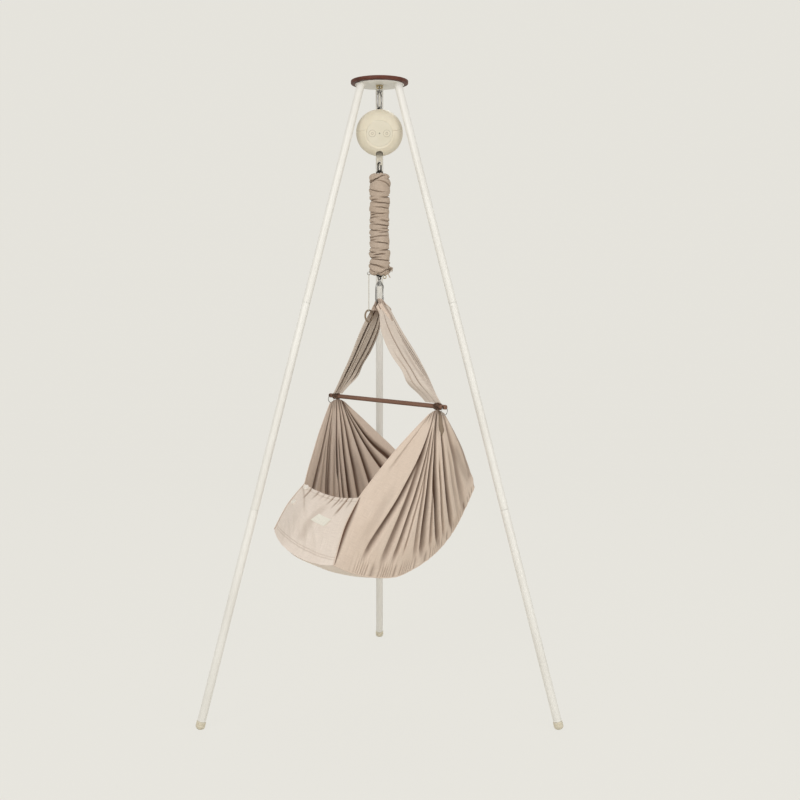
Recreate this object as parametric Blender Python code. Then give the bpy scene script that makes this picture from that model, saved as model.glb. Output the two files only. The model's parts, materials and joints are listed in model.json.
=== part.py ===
"""Baby hammock: a three-legged stand, a motor, a covered spring and a cloth cradle on a wooden bar.

Metres, +Z up, with the floor at Z = 0. Positions are counted from the plumb line of the hanger,
and the whole is then moved so that the middle of its outline is X = Y = 0. The rear leg stands
at +Y, so that the motor's control panel looks along -Y.
"""

import math

import bmesh
import bpy
from mathutils import Euler, Matrix, Vector

# Clearances
SEAT_GAP = 0.0003
LOOSE_GAP = 0.0004

# Stand
STAND_HEIGHT = 1.800
CAP_DIAMETER = 0.169
CAP_THICKNESS = 0.0108
CAP_EDGE_RADIUS = 0.0030
CAP_POCKET_DEPTH = 0.0082
PLATE_DIAMETER = 0.144
PLATE_THICKNESS = 0.0025
FOOT_CIRCLE_RADIUS = 0.559
LEG_CIRCLE_RADIUS = 0.0615
LEG_DIAMETER = 0.023
LEG_WALL = 0.0015
LEG_UPPER_SEAM = 1.146
LEG_LOWER_SEAM = 0.575
LEG_AZIMUTHS = {"front_right": -30.0, "rear": 90.0, "front_left": 210.0}
SPIGOT_LENGTH = 0.060
SPIGOT_WALL = 0.0015
PEG_LENGTH = 0.070
FOOT_CAP_DIAMETER = 0.0255
FOOT_CAP_HEIGHT = 0.020
FOOT_CAP_DOME = 0.010
FOOT_SINK = 0.0020
FOOT_PLUG_LENGTH = 0.025
PLUMB_LINE_Y = -0.1392

# Hanger under the plate
HANGER_FLANGE_DIAMETER = 0.022
HANGER_FLANGE_THICKNESS = 0.0025
HANGER_STUD_DIAMETER = 0.0080
HANGER_WIRE = 0.0040
HANGER_HALF_WIDTH = 0.0075
NUT_WIDTH = 0.0130
NUT_HEIGHT = 0.0065

# Top hook
BAIL_WIRE = 0.0035
BAIL_RADIUS = 0.0060
COLLAR_DIAMETER = 0.0170
COLLAR_THICKNESS = 0.0050
COLLAR_DROP = 0.0295
TOP_HOOK_WIRE = 0.0045
TOP_HOOK_HALF_WIDTH = 0.0105
TOP_HOOK_LENGTH = 0.0540
TOP_HOOK_NOSE_RISE = 0.0140
TOP_HOOK_SHOULDER_DROP = 0.0140
TOP_HOOK_TURN = 60.0
GATE_DIAMETER = 0.0040

# Motor
MOTOR_DROP = 0.0697
MOTOR_DIAMETER = 0.138
MOTOR_DEPTH = 0.116
MOTOR_WALL = 0.0025
MOTOR_TOP_HOLE_DIAMETER = 0.024
MOUTH_WIDTH = 0.0196
MOUTH_FRONT = 0.022
MOUTH_BACK = 0.001
PANEL_TILT = 11.0
PANEL_DISTANCE = 0.0475
PANEL_DIAMETER = 0.0756
PANEL_THICKNESS = 0.0030
PANEL_LEDGE = 0.0024
PANEL_WINDOW_DIAMETER = 0.0650
BUTTON_DIAMETER = 0.0190
BUTTON_FLANGE_DIAMETER = 0.0208
BUTTON_FLANGE_THICKNESS = 0.0010
BUTTON_PROUD = 0.0005
BUTTON_SPACING = 0.0420
LENS_DIAMETER = 0.0034
BOARD_DIAMETER = 0.070
BOARD_THICKNESS = 0.0016
SWITCH_SIZE = 0.0060
SWITCH_HEIGHT = 0.0005
LOOP_WIRE = 0.0050
LOOP_RADIUS = 0.0065
LOOP_LEG_DEPTH = 0.013
CHEEK_INSIDE = 0.0105
CHEEK_THICKNESS = 0.0020
BLOCK_TOP = 0.0592
BLOCK_HEIGHT = 0.0192
BLOCK_DEPTH = 0.0200
TIE_BAR_HEIGHT = -0.030
TIE_BAR_DISTANCE = 0.030
TIE_BAR_SIZE = 0.0080
SPOOL_RADIUS = 0.0135
SPOOL_FLANGE_RADIUS = 0.0185
SPOOL_FLANGE_THICKNESS = 0.0013
SHAFT_DIAMETER = 0.0060
SHAFT_REACH = 0.022
GEAR_MOTOR_DIAMETER = 0.034
GEAR_MOTOR_LENGTH = 0.031
BATTERY_SIZE = (0.031, 0.044, 0.052)
SOCKET_PLACE = (-0.022, -0.022)
SOCKET_SIZE = (0.0114, 0.0100, 0.0066)
SOCKET_SLOT = (0.0088, 0.0070, 0.0031)
SHELL_SCREW_PLACE = 0.0535
SHELL_SCREW_HEAD_DIAMETER = 0.0060
SHELL_SCREW_HEAD_HEIGHT = 0.0022
SHELL_SCREW_SHANK_DIAMETER = 0.0030
SHELL_SCREW_SEAT = -0.0275
SHELL_SCREW_REACH = 0.010
SHELL_BOSS_RADIUS = 0.0050

# Lift strap and link
STRAP_WIDTH = 0.0170
STRAP_THICKNESS = 0.0020
STRAP_REACH = 0.0953
STRAP_HOLE_DIAMETER = 0.0095
LINK_WIRE = 0.0045
LINK_HALF_WIDTH = 0.0085
LINK_RISE = 0.0075
LINK_LENGTH = 0.0300
LINK_TURN = 60.0
LINK_CLEARANCE = 0.0008

# Spring and cover
SPRING_WIRE = 0.0060
SPRING_RADIUS = 0.0140
SPRING_LOOP_RADIUS = 0.0110
SPRING_TURNS = 20
SPRING_LEAD_IN = 0.0060
COVER_RADIUS = 0.0285
COVER_WAIST = 0.0265
COVER_THICKNESS = 0.0020
COVER_DROP = 0.0035
COVER_LENGTH = 0.2971
COVER_SHOULDER = 0.013
COVER_RING_RADIUS = 0.0045
COVER_RING_WIRE = 0.0024
CORD_DIAMETER = 0.0025
CORD_HALF_WIDTH = 0.0085
CORD_CLEARANCE = 0.0010
CORD_RING_OFFSET = -0.0314
CORD_RING_RISE = 0.0046
CORD_RING_RADIUS = 0.0042
CORD_RING_WIRE = 0.0020

# Lower hook
EYE_RADIUS = 0.0075
EYE_WIRE = 0.0045
EYE_DROP = 0.0069
STEM_DIAMETER = 0.0070
BARREL_DIAMETER = 0.0130
BARREL_DROP = 0.0130
BARREL_HEIGHT = 0.0095
RIVET_DIAMETER = 0.0100
RIVET_HEIGHT = 0.0030
LOWER_HOOK_WIRE = 0.0055
LOWER_HOOK_HALF_WIDTH = 0.0130
LOWER_HOOK_LENGTH = 0.0630
LOWER_HOOK_NOSE_RISE = 0.0185
LOWER_HOOK_SHOULDER_DROP = 0.0155

# Sling straps and spreader bar
SLING_LOOP_RADIUS = 0.0055
SLING_LEG_DROP = 0.0175
SLING_FRONT_HALF_WIDTH = 0.038
SLING_BACK_HALF_WIDTH = 0.031
SLING_BOW = 0.012
SLING_NECK = 0.0060
SLING_HALF_THICKNESS = 0.0090
SIDE_LOOP_OFFSET = -0.0314
SIDE_LOOP_DROP = 0.0200
SIDE_LOOP_HALF_WIDTH = 0.0115
SIDE_LOOP_TURN = 23.0
SIDE_LOOP_HALF_HEIGHT = 0.0170
SIDE_LOOP_WIRE = 0.0040
BAR_HEIGHT = 0.858
BAR_OFFSET = 0.0145
BAR_LENGTH = 0.526
BAR_DIAMETER = 0.0130
BAR_AZIMUTH = -50.0
BAR_END_RADIUS = 0.0020
BAR_HOLE_DIAMETER = 0.0076
BAR_HOLE_INSET = 0.0060
CUFF_INSET = 0.033
CUFF_LENGTH = 0.026
CUFF_RADIUS = 0.0150
RING_RADIUS = 0.0110
RING_WIRE = 0.0022

# Cradle cloth, in the cradle's own axes: across, along and up
CRADLE_AZIMUTH = -55.0
CLOTH_THICKNESS = 0.0020
WALL_GATHER_WIDTH = 0.028
WALL_BULGE = 0.016
FRONT_SIDE = 0.137
BACK_SIDE = -0.150
FRONT_HEM = ((-0.165, 0.611), (-0.214, 0.535), (-0.249, 0.434))
FRONT_EDGE = (
    (-0.249, 0.434), (-0.190, 0.405), (-0.130, 0.385), (-0.062, 0.374), (-0.010, 0.378),
    (0.075, 0.408), (0.142, 0.453), (0.195, 0.514), (0.248, 0.600),
)
BACK_HEM = ((-0.166, 0.611), (-0.225, 0.555), (-0.2700, 0.488))
BACK_EDGE = (
    (-0.2700, 0.488), (-0.190, 0.436), (-0.130, 0.403), (-0.062, 0.380), (-0.010, 0.376),
    (0.080, 0.396), (0.153, 0.446), (0.2095, 0.511), (0.248, 0.612),
)
FRONT_HEM_SWELL = 0.012
BACK_HEM_SWELL = 0.006
HEM_REACH = 0.50
EDGE_FOOT = 0.010
EDGE_HEAD = 0.845
FLOOR_LIFT = 0.0040
FLOOR_SAG = 0.016
FOOT_SAG = 0.030
FOOT_REACH = 0.022
PANEL_BULGE = 0.014
PANEL_HEM_SAG = 0.016
PANEL_START = 0.0060
SEAM_GAP = 0.0014
LABEL_ACROSS = (0.54, 0.79)
LABEL_RISE = (0.50, 0.64)
LABEL_THICKNESS = 0.0010
MATTRESS_THICKNESS = 0.026
MATTRESS_INSET = 0.018
MATTRESS_GAP = 0.0022
MATTRESS_START = 0.09
MATTRESS_END = 0.86

# Numbers of faces round or along a piece
FINE = 32
ROUND = 20
SMALL = 12
ARC_STEPS = 6

X = Vector((1.0, 0.0, 0.0))
Y = Vector((0.0, 1.0, 0.0))
Z = Vector((0.0, 0.0, 1.0))

# Heights and angles worked out from the sizes above
PLATE_BOTTOM = STAND_HEIGHT - CAP_THICKNESS - SEAT_GAP - PLATE_THICKNESS
SPLAY = math.atan2(FOOT_CIRCLE_RADIUS - LEG_CIRCLE_RADIUS, PLATE_BOTTOM)
LEG_BORE_RADIUS = LEG_DIAMETER / 2 - LEG_WALL
HANGER_BOTTOM = PLATE_BOTTOM - SEAT_GAP - HANGER_FLANGE_THICKNESS
HANGER_WIRE_HEIGHT = HANGER_BOTTOM - BAIL_WIRE - 2 * LOOSE_GAP - HANGER_WIRE / 2
BAIL_HEIGHT = HANGER_WIRE_HEIGHT + HANGER_WIRE / 2 + LOOSE_GAP + BAIL_WIRE / 2
COLLAR_TOP = STAND_HEIGHT - COLLAR_DROP
TOP_HOOK_BOW_HEIGHT = COLLAR_TOP - TOP_HOOK_LENGTH
TOP_HOOK_NOSE_HEIGHT = TOP_HOOK_BOW_HEIGHT + TOP_HOOK_NOSE_RISE
TOP_HOOK_SHOULDER_HEIGHT = COLLAR_TOP - TOP_HOOK_SHOULDER_DROP
LOOP_HEIGHT = TOP_HOOK_BOW_HEIGHT + TOP_HOOK_WIRE / 2 + SEAT_GAP + LOOP_WIRE / 2
MOTOR_HEIGHT = TOP_HOOK_BOW_HEIGHT - MOTOR_DROP
STRAP_BOTTOM = MOTOR_HEIGHT - STRAP_REACH
LINK_TOP = STRAP_BOTTOM + LINK_RISE
LINK_BOTTOM = LINK_TOP - LINK_LENGTH
COVER_TOP = LINK_BOTTOM - COVER_DROP
COVER_BOTTOM = COVER_TOP - COVER_LENGTH
CORD_RING_CENTRE = (CORD_RING_OFFSET, 0.0, COVER_BOTTOM + CORD_RING_RISE)
EYE_HEIGHT = COVER_BOTTOM - EYE_DROP
BARREL_TOP = EYE_HEIGHT - BARREL_DROP
LOWER_HOOK_BOW_HEIGHT = BARREL_TOP - LOWER_HOOK_LENGTH
LOWER_HOOK_NOSE_HEIGHT = LOWER_HOOK_BOW_HEIGHT + LOWER_HOOK_NOSE_RISE
LOWER_HOOK_SHOULDER_HEIGHT = BARREL_TOP - LOWER_HOOK_SHOULDER_DROP
SLING_LEG_BOTTOM = LOWER_HOOK_BOW_HEIGHT - SLING_LEG_DROP
SIDE_LOOP_CENTRE = (SIDE_LOOP_OFFSET, 0.0, SLING_LEG_BOTTOM - SIDE_LOOP_DROP)
SPOOL_OFFSET = SPOOL_RADIUS + SEAT_GAP + STRAP_THICKNESS / 2
PANEL_FLOOR = PANEL_DISTANCE - PANEL_THICKNESS
LEDGE_FRONT = PANEL_FLOOR - SEAT_GAP
LEDGE_BACK = LEDGE_FRONT - PANEL_LEDGE
BOARD_FRONT = LEDGE_BACK - SEAT_GAP
SPRING_TOP = LINK_BOTTOM + LINK_WIRE / 2 + SEAT_GAP + SPRING_WIRE / 2
SPRING_BOTTOM = EYE_HEIGHT + EYE_RADIUS - EYE_WIRE / 2 - SEAT_GAP - SPRING_WIRE / 2
COVER_MOUTH = SPRING_LOOP_RADIUS + SPRING_WIRE / 2 + SEAT_GAP
SLING_ARCH_RADIUS = LOWER_HOOK_WIRE / 2 + SEAT_GAP + SLING_LOOP_RADIUS


def direction(degrees):
    """Give the level unit vector at an azimuth."""
    angle = math.radians(degrees)
    return Vector((math.cos(angle), math.sin(angle), 0.0))


TOP_HOOK_ACROSS = direction(TOP_HOOK_TURN)
LINK_ACROSS = direction(LINK_TURN)
LINK_NORMAL = direction(LINK_TURN + 90.0)
BAR_ALONG = direction(BAR_AZIMUTH)
BAR_NORMAL = direction(BAR_AZIMUTH + 90.0)
CRADLE_ACROSS = direction(CRADLE_AZIMUTH)
CRADLE_ALONG = direction(CRADLE_AZIMUTH + 90.0)
BAR_CENTRE = Vector((BAR_OFFSET, 0.0, BAR_HEIGHT))


def make_material(name, colour, roughness, metallic=0.0):
    """Make a Principled material of one colour."""
    material = bpy.data.materials.new(name)
    material.use_nodes = True
    shader = material.node_tree.nodes["Principled BSDF"]
    shader.inputs["Base Color"].default_value = (*colour, 1.0)
    shader.inputs["Roughness"].default_value = roughness
    shader.inputs["Metallic"].default_value = metallic
    return material


class Body:
    """A rigid group of pieces: an empty at its joint's origin, with the pieces as children."""

    def __init__(self, name, position, parent=None):
        self.position = Vector(position)
        self.empty = bpy.data.objects.new(name, None)
        bpy.context.collection.objects.link(self.empty)
        self.empty.location = self.position
        if parent:
            self.empty.parent = parent.empty
            self.empty.location = self.position - parent.position

    def add(self, name, mesh, material, at=(0.0, 0.0, 0.0), turn=(0.0, 0.0, 0.0)):
        """Add a piece whose mesh is drawn round the world point at, turned by Euler angles."""
        piece = bpy.data.objects.new(name, mesh)
        bpy.context.collection.objects.link(piece)
        piece.parent = self.empty
        piece.location = Vector(at) - self.position
        piece.rotation_euler = Euler(turn)
        if not piece.data.materials:
            piece.data.materials.append(MATERIALS[material])
        return piece


def finish_mesh(work, name, smooth=True):
    """Turn a bmesh into a mesh with its faces pointing out."""
    bmesh.ops.recalc_face_normals(work, faces=work.faces)
    mesh = bpy.data.meshes.new(name)
    work.to_mesh(mesh)
    work.free()
    if smooth:
        mesh.shade_smooth()
        mesh.set_sharp_from_angle(angle=math.radians(35.0))
    return mesh


def turned_work(profile, segments):
    """Spin a profile of (radius, height) points about Z. It is closed unless it ends on the axis."""
    work = bmesh.new()
    verts = [work.verts.new((radius, 0.0, height)) for radius, height in profile]
    edges = [work.edges.new(pair) for pair in zip(verts, verts[1:])]
    if profile[0][0] > 0.0:
        edges.append(work.edges.new((verts[-1], verts[0])))
    bmesh.ops.spin(
        work, geom=verts + edges, cent=(0, 0, 0), axis=(0, 0, 1), angle=2 * math.pi,
        steps=segments, use_merge=True,
    )
    bmesh.ops.remove_doubles(work, verts=work.verts, dist=1e-6)
    return work


def turned(name, profile, segments=ROUND):
    """Make a turned mesh."""
    return finish_mesh(turned_work(profile, segments), name)


def rod_profile(radius, bottom, top, edge=0.0):
    """Give the profile of a solid rod with rounded or square ends."""
    if not edge:
        return [(0.0, bottom), (radius, bottom), (radius, top), (0.0, top)]
    points = [(0.0, bottom)]
    for step in range(4):
        angle = math.radians(30.0 * step)
        points.append((radius - edge + edge * math.sin(angle), bottom + edge - edge * math.cos(angle)))
    for step in range(4):
        angle = math.radians(30.0 * step)
        points.append((radius - edge + edge * math.cos(angle), top - edge + edge * math.sin(angle)))
    points.append((0.0, top))
    return points


def tube_profile(inner, outer, bottom, top):
    """Give the closed profile of a tube."""
    return [(inner, bottom), (outer, bottom), (outer, top), (inner, top)]


def box_mesh(name, size, centre=(0.0, 0.0, 0.0), edge=0.0):
    """Make a box, with bevelled edges where an edge width is given."""
    work = bmesh.new()
    bmesh.ops.create_cube(work, size=1.0)
    bmesh.ops.scale(work, vec=size, verts=work.verts)
    bmesh.ops.translate(work, vec=centre, verts=work.verts)
    if edge:
        bmesh.ops.bevel(
            work, geom=work.edges[:], offset=edge, offset_type="OFFSET", segments=2, profile=0.5,
            affect="EDGES", material=-1,
        )
    return finish_mesh(work, name, smooth=False)


def arc(centre, radius, first, second, start, end, steps=ARC_STEPS):
    """Give points on an arc from start to end degrees in the plane of two unit vectors."""
    points = []
    for step in range(steps + 1):
        angle = math.radians(start + (end - start) * step / steps)
        points.append(centre + radius * (math.cos(angle) * first + math.sin(angle) * second))
    return points


def wire_mesh(name, points, diameter, closed=False, resolution=1):
    """Sweep a round wire along points."""
    curve = bpy.data.curves.new(name, "CURVE")
    curve.dimensions = "3D"
    curve.bevel_depth = diameter / 2
    curve.bevel_resolution = resolution
    curve.use_fill_caps = not closed
    spline = curve.splines.new("POLY")
    spline.points.add(len(points) - 1)
    for target, point in zip(spline.points, points):
        target.co = (*point, 1.0)
    spline.use_cyclic_u = closed
    holder = bpy.data.objects.new(name, curve)
    mesh = bpy.data.meshes.new_from_object(holder)
    bpy.data.objects.remove(holder)
    work = bmesh.new()
    work.from_mesh(mesh)
    bmesh.ops.remove_doubles(work, verts=work.verts, dist=1e-6)
    return finish_mesh(work, name)


def shape(mesh, at=(0.0, 0.0, 0.0), turn=(0.0, 0.0, 0.0)):
    """Place a helper shape for a Boolean."""
    helper = bpy.data.objects.new("helper", mesh)
    bpy.context.collection.objects.link(helper)
    helper.location = at
    helper.rotation_euler = Euler(turn)
    helper.hide_render = True
    helper.display_type = "WIRE"
    return helper


def combine(mesh, helpers, operation):
    """Join helper shapes to a mesh or cut them from it, and give the new mesh."""
    base = bpy.data.objects.new("base", mesh)
    bpy.context.collection.objects.link(base)
    for helper in helpers:
        modifier = base.modifiers.new("Boolean", "BOOLEAN")
        modifier.operation = operation
        modifier.solver = "EXACT"
        modifier.object = helper
    graph = bpy.context.evaluated_depsgraph_get()
    result = bpy.data.meshes.new_from_object(base.evaluated_get(graph))
    for item in [base, *helpers]:
        bpy.data.objects.remove(item)
    work = bmesh.new()
    work.from_mesh(result)
    bmesh.ops.remove_doubles(work, verts=work.verts, dist=1e-6)
    work.to_mesh(result)
    work.free()
    result.name = mesh.name
    result.materials.clear()
    return result


def unite(mesh, *helpers):
    """Join helper shapes to a mesh."""
    return combine(mesh, helpers, "UNION")


def cut(mesh, *helpers):
    """Cut helper shapes from a mesh."""
    return combine(mesh, helpers, "DIFFERENCE")


def slice_off(work, point, normal):
    """Remove what lies past a plane, on the side of its normal, and close the cut."""
    geometry = work.verts[:] + work.edges[:] + work.faces[:]
    bmesh.ops.bisect_plane(
        work, geom=geometry, dist=1e-7, plane_co=point, plane_no=normal, clear_outer=True,
    )
    open_edges = [edge for edge in work.edges if edge.is_boundary]
    bmesh.ops.holes_fill(work, edges=open_edges, sides=0)


def make_materials():
    """Make the materials of all the pieces."""
    return {
        "cream_paint": make_material("cream_paint", (0.80, 0.76, 0.69), 0.40),
        "walnut": make_material("walnut", (0.10, 0.035, 0.022), 0.42),
        "steel": make_material("steel", (0.56, 0.56, 0.55), 0.28, 1.0),
        "dark_steel": make_material("dark_steel", (0.20, 0.20, 0.20), 0.35, 1.0),
        "cream_plastic": make_material("cream_plastic", (0.76, 0.70, 0.55), 0.45),
        "panel_plastic": make_material("panel_plastic", (0.74, 0.69, 0.56), 0.50),
        "dark_plastic": make_material("dark_plastic", (0.04, 0.04, 0.045), 0.55),
        "green_board": make_material("green_board", (0.03, 0.16, 0.07), 0.45),
        "lens": make_material("lens", (0.85, 0.85, 0.80), 0.15),
        "webbing": make_material("webbing", (0.82, 0.81, 0.77), 0.60),
        "cloth": make_material("cloth", (0.56, 0.44, 0.35), 0.90),
        "cover_cloth": make_material("cover_cloth", (0.45, 0.36, 0.28), 0.90),
        "mattress_cloth": make_material("mattress_cloth", (0.80, 0.76, 0.69), 0.95),
    }


def leg_frame_height(height, inward=0.0):
    """Give the distance along a leg's axis of a world height, at a local X of inward."""
    return (height - inward * math.sin(SPLAY)) / math.cos(SPLAY)


def leg_section(name, bottom, top, spigot, mitre=None):
    """Make a leg tube in the leg's frame, with a spigot at its top or an end cut level."""
    outer = LEG_DIAMETER / 2
    inner = LEG_BORE_RADIUS
    profile = [(inner, bottom), (outer, bottom), (outer, top)]
    if spigot:
        fit = inner - SEAT_GAP
        bore = fit - SPIGOT_WALL
        profile += [
            (fit, top), (fit, top + SPIGOT_LENGTH), (bore, top + SPIGOT_LENGTH),
            (bore, top - SPIGOT_LENGTH), (inner, top - SPIGOT_LENGTH),
        ]
    else:
        profile.append((inner, top))
    work = turned_work(profile, ROUND)
    if mitre:
        for vert in work.verts:
            if vert.co.z > top - SEAT_GAP:
                vert.co.z = leg_frame_height(mitre, vert.co.x)
    return finish_mesh(work, name)


def foot_cap_mesh():
    """Make the plug-in foot cap in the leg's frame, cut flat at the floor."""
    radius = FOOT_CAP_DIAMETER / 2
    plug = LEG_BORE_RADIUS - SEAT_GAP
    profile = [(0.0, -FOOT_SINK)]
    for step in range(1, 7):
        angle = math.radians(15.0 * step)
        depth = FOOT_CAP_DOME * (1.0 - math.cos(angle))
        profile.append((radius * math.sin(angle), depth - FOOT_SINK))
    profile += [
        (radius, FOOT_CAP_HEIGHT), (plug, FOOT_CAP_HEIGHT),
        (plug, FOOT_CAP_HEIGHT + FOOT_PLUG_LENGTH), (0.0, FOOT_CAP_HEIGHT + FOOT_PLUG_LENGTH),
    ]
    work = turned_work(profile, ROUND)
    down = Vector((-math.sin(SPLAY), 0.0, -math.cos(SPLAY)))
    slice_off(work, (0.0, 0.0, 0.0), down)
    return finish_mesh(work, "foot_cap")


def leg_place(azimuth):
    """Give the place and turn of a leg's frame: its origin at the floor, its Z up the leg."""
    turn = (Matrix.Rotation(math.radians(azimuth), 4, "Z") @ Matrix.Rotation(-SPLAY, 4, "Y")).to_euler()
    return direction(azimuth) * FOOT_CIRCLE_RADIUS, turn


def build_legs(root):
    """Build three legs of three tubes each, with their foot caps."""
    lower_seam = leg_frame_height(LEG_LOWER_SEAM)
    upper_seam = leg_frame_height(LEG_UPPER_SEAM)
    top = leg_frame_height(PLATE_BOTTOM)
    lower = leg_section("leg_lower", FOOT_CAP_HEIGHT + SEAT_GAP, lower_seam, True)
    middle = leg_section("leg_middle", lower_seam + SEAT_GAP, upper_seam, True)
    upper = leg_section("leg_upper", upper_seam + SEAT_GAP, top, False, PLATE_BOTTOM - SEAT_GAP)
    cap = foot_cap_mesh()
    for side, azimuth in LEG_AZIMUTHS.items():
        place, turn = leg_place(azimuth)
        root.add(f"leg_lower_{side}", lower, "cream_paint", place, turn)
        root.add(f"leg_middle_{side}", middle, "cream_paint", place, turn)
        root.add(f"leg_upper_{side}", upper, "cream_paint", place, turn)
        root.add(f"foot_cap_{side}", cap, "cream_plastic", place, turn)


def peg_mesh(radius):
    """Make the peg that plugs a leg's upper tube, in the leg's frame, ending inside the plate."""
    level = PLATE_BOTTOM + PLATE_THICKNESS / 2
    top = leg_frame_height(level)
    work = turned_work(rod_profile(radius, top - PEG_LENGTH, top), ROUND)
    for vert in work.verts:
        if vert.co.z > top - SEAT_GAP:
            vert.co.z = leg_frame_height(level, vert.co.x)
    return finish_mesh(work, "peg")


def build_top(root):
    """Build the wooden cap, the plate with its three pegs, and what holds them together."""
    radius = PLATE_DIAMETER / 2
    plate_top = PLATE_BOTTOM + PLATE_THICKNESS
    peg_radius = LEG_BORE_RADIUS - SEAT_GAP
    plate = turned("top_plate", rod_profile(radius, PLATE_BOTTOM, plate_top), 2 * ROUND)
    pegs = []
    for azimuth in LEG_AZIMUTHS.values():
        place, turn = leg_place(azimuth)
        pegs.append(shape(peg_mesh(peg_radius), place, turn))
    plate = unite(plate, *pegs)
    stud_hole = rod_profile(HANGER_STUD_DIAMETER / 2 + SEAT_GAP, PLATE_BOTTOM - 0.01, plate_top + 0.01)
    root.add("top_plate", cut(plate, shape(turned("hole", stud_hole, SMALL))), "cream_paint")

    cap_bottom = STAND_HEIGHT - CAP_THICKNESS
    cap = turned(
        "top_cap", rod_profile(CAP_DIAMETER / 2, cap_bottom, STAND_HEIGHT, CAP_EDGE_RADIUS), 2 * ROUND,
    )
    corner = (NUT_WIDTH / 2 + SEAT_GAP) * 2 / math.sqrt(3)
    pocket = turned("pocket", rod_profile(corner, cap_bottom - 0.01, cap_bottom + CAP_POCKET_DEPTH), 6)
    root.add("top_cap", cut(cap, shape(pocket)), "walnut")


def build_hanger(root):
    """Build the hanger eye under the plate and its nut in the cap's pocket."""
    top = PLATE_BOTTOM - SEAT_GAP
    stud_top = PLATE_BOTTOM + PLATE_THICKNESS + SEAT_GAP + NUT_HEIGHT
    flange = HANGER_FLANGE_DIAMETER / 2
    stud = HANGER_STUD_DIAMETER / 2
    body = turned("hanger_eye", [
        (0.0, HANGER_BOTTOM), (flange, HANGER_BOTTOM), (flange, top), (stud, top),
        (stud, stud_top), (0.0, stud_top),
    ])
    corner = 0.003
    side = HANGER_HALF_WIDTH - corner
    low = Vector((0.0, 0.0, HANGER_WIRE_HEIGHT + corner))
    path = [Vector((-HANGER_HALF_WIDTH, 0.0, HANGER_BOTTOM + 0.001))]
    path += arc(low - side * X, corner, X, Z, 180.0, 270.0, 4)
    path += arc(low + side * X, corner, X, Z, 270.0, 360.0, 4)
    path.append(Vector((HANGER_HALF_WIDTH, 0.0, HANGER_BOTTOM + 0.001)))
    staple = wire_mesh("staple", path, HANGER_WIRE, resolution=2)
    root.add("hanger_eye", unite(body, shape(staple)), "steel")

    nut_bottom = PLATE_BOTTOM + PLATE_THICKNESS + SEAT_GAP
    corner_radius = NUT_WIDTH / math.sqrt(3)
    nut = turned("hanger_nut", rod_profile(corner_radius, nut_bottom, nut_bottom + NUT_HEIGHT), 6)
    bore = turned("bore", rod_profile(stud + SEAT_GAP, nut_bottom - 0.01, nut_bottom + 0.02), SMALL)
    root.add("hanger_nut", cut(nut, shape(bore)), "steel")


def gate_mesh(name, length):
    """Make a hook's gate: a rod with round ends, hanging from its pivot at the origin."""
    radius = GATE_DIAMETER / 2
    points = [(0.0, -length - radius)]
    for step in range(1, 4):
        angle = math.radians(30.0 * step)
        points.append((radius * math.sin(angle), -length - radius * math.cos(angle)))
    for step in range(3):
        angle = math.radians(30.0 * step)
        points.append((radius * math.cos(angle), radius * math.sin(angle)))
    points.append((0.0, radius))
    return turned(name, points, SMALL)


def build_top_hook(root):
    """Build the hook between the hanger and the motor, and its spring gate."""
    pivot = Vector((0.0, 0.0, HANGER_WIRE_HEIGHT))
    body = Body("top_hook_pivot", pivot, root)
    collar_bottom = COLLAR_TOP - COLLAR_THICKNESS
    collar = turned(
        "top_hook",
        [(r, z - pivot.z) for r, z in
         rod_profile(COLLAR_DIAMETER / 2, collar_bottom, COLLAR_TOP, 0.0012)],
    )
    middle = Vector((0.0, 0.0, BAIL_HEIGHT - BAIL_RADIUS - pivot.z))
    foot = COLLAR_TOP - 0.002 - pivot.z
    bail = [Vector((0.0, BAIL_RADIUS, foot))]
    bail += arc(middle, BAIL_RADIUS, Y, Z, 0.0, 180.0)
    bail.append(Vector((0.0, -BAIL_RADIUS, foot)))

    across = TOP_HOOK_ACROSS
    half = TOP_HOOK_HALF_WIDTH
    start = Z * (collar_bottom + 0.0015 - pivot.z)
    shoulder = Z * (collar_bottom - 0.004 - pivot.z)
    turn_in = Z * (collar_bottom - 0.0115 - pivot.z)
    bow = Z * (TOP_HOOK_BOW_HEIGHT + half - pivot.z)
    frame = [start - 0.004 * across, shoulder - 0.0072 * across, turn_in - half * across]
    frame += arc(bow, half, across, Z, 180.0, 360.0, 2 * ARC_STEPS)
    frame.append(Z * (TOP_HOOK_NOSE_HEIGHT - pivot.z) + half * across)
    arm = [
        start + 0.004 * across, shoulder + 0.0072 * across,
        Z * (TOP_HOOK_SHOULDER_HEIGHT + 0.0015 - pivot.z) + half * across,
        Z * (TOP_HOOK_SHOULDER_HEIGHT - pivot.z) + half * across,
    ]
    hook = unite(
        collar, shape(wire_mesh("bail", bail, BAIL_WIRE, resolution=2)),
        shape(wire_mesh("frame", frame, TOP_HOOK_WIRE, resolution=2)),
        shape(wire_mesh("arm", arm, TOP_HOOK_WIRE, resolution=2)),
    )
    body.add("top_hook", hook, "steel", pivot)

    radius = GATE_DIAMETER / 2
    gate_top = TOP_HOOK_SHOULDER_HEIGHT - SEAT_GAP - radius
    gate_bottom = TOP_HOOK_NOSE_HEIGHT + SEAT_GAP + radius
    gate_pivot = half * across + Z * gate_top
    gate_body = Body("top_gate_pivot", gate_pivot, body)
    gate_body.add("top_gate", gate_mesh("top_gate", gate_top - gate_bottom), "steel", gate_pivot)
    return body


def ellipsoid_work(inset):
    """Make the motor's ball, smaller by inset all round."""
    work = bmesh.new()
    bmesh.ops.create_uvsphere(work, u_segments=FINE, v_segments=FINE // 2, radius=1.0)
    round_half = MOTOR_DIAMETER / 2 - inset
    bmesh.ops.scale(work, vec=(round_half, MOTOR_DEPTH / 2 - inset, round_half), verts=work.verts)
    return work


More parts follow.
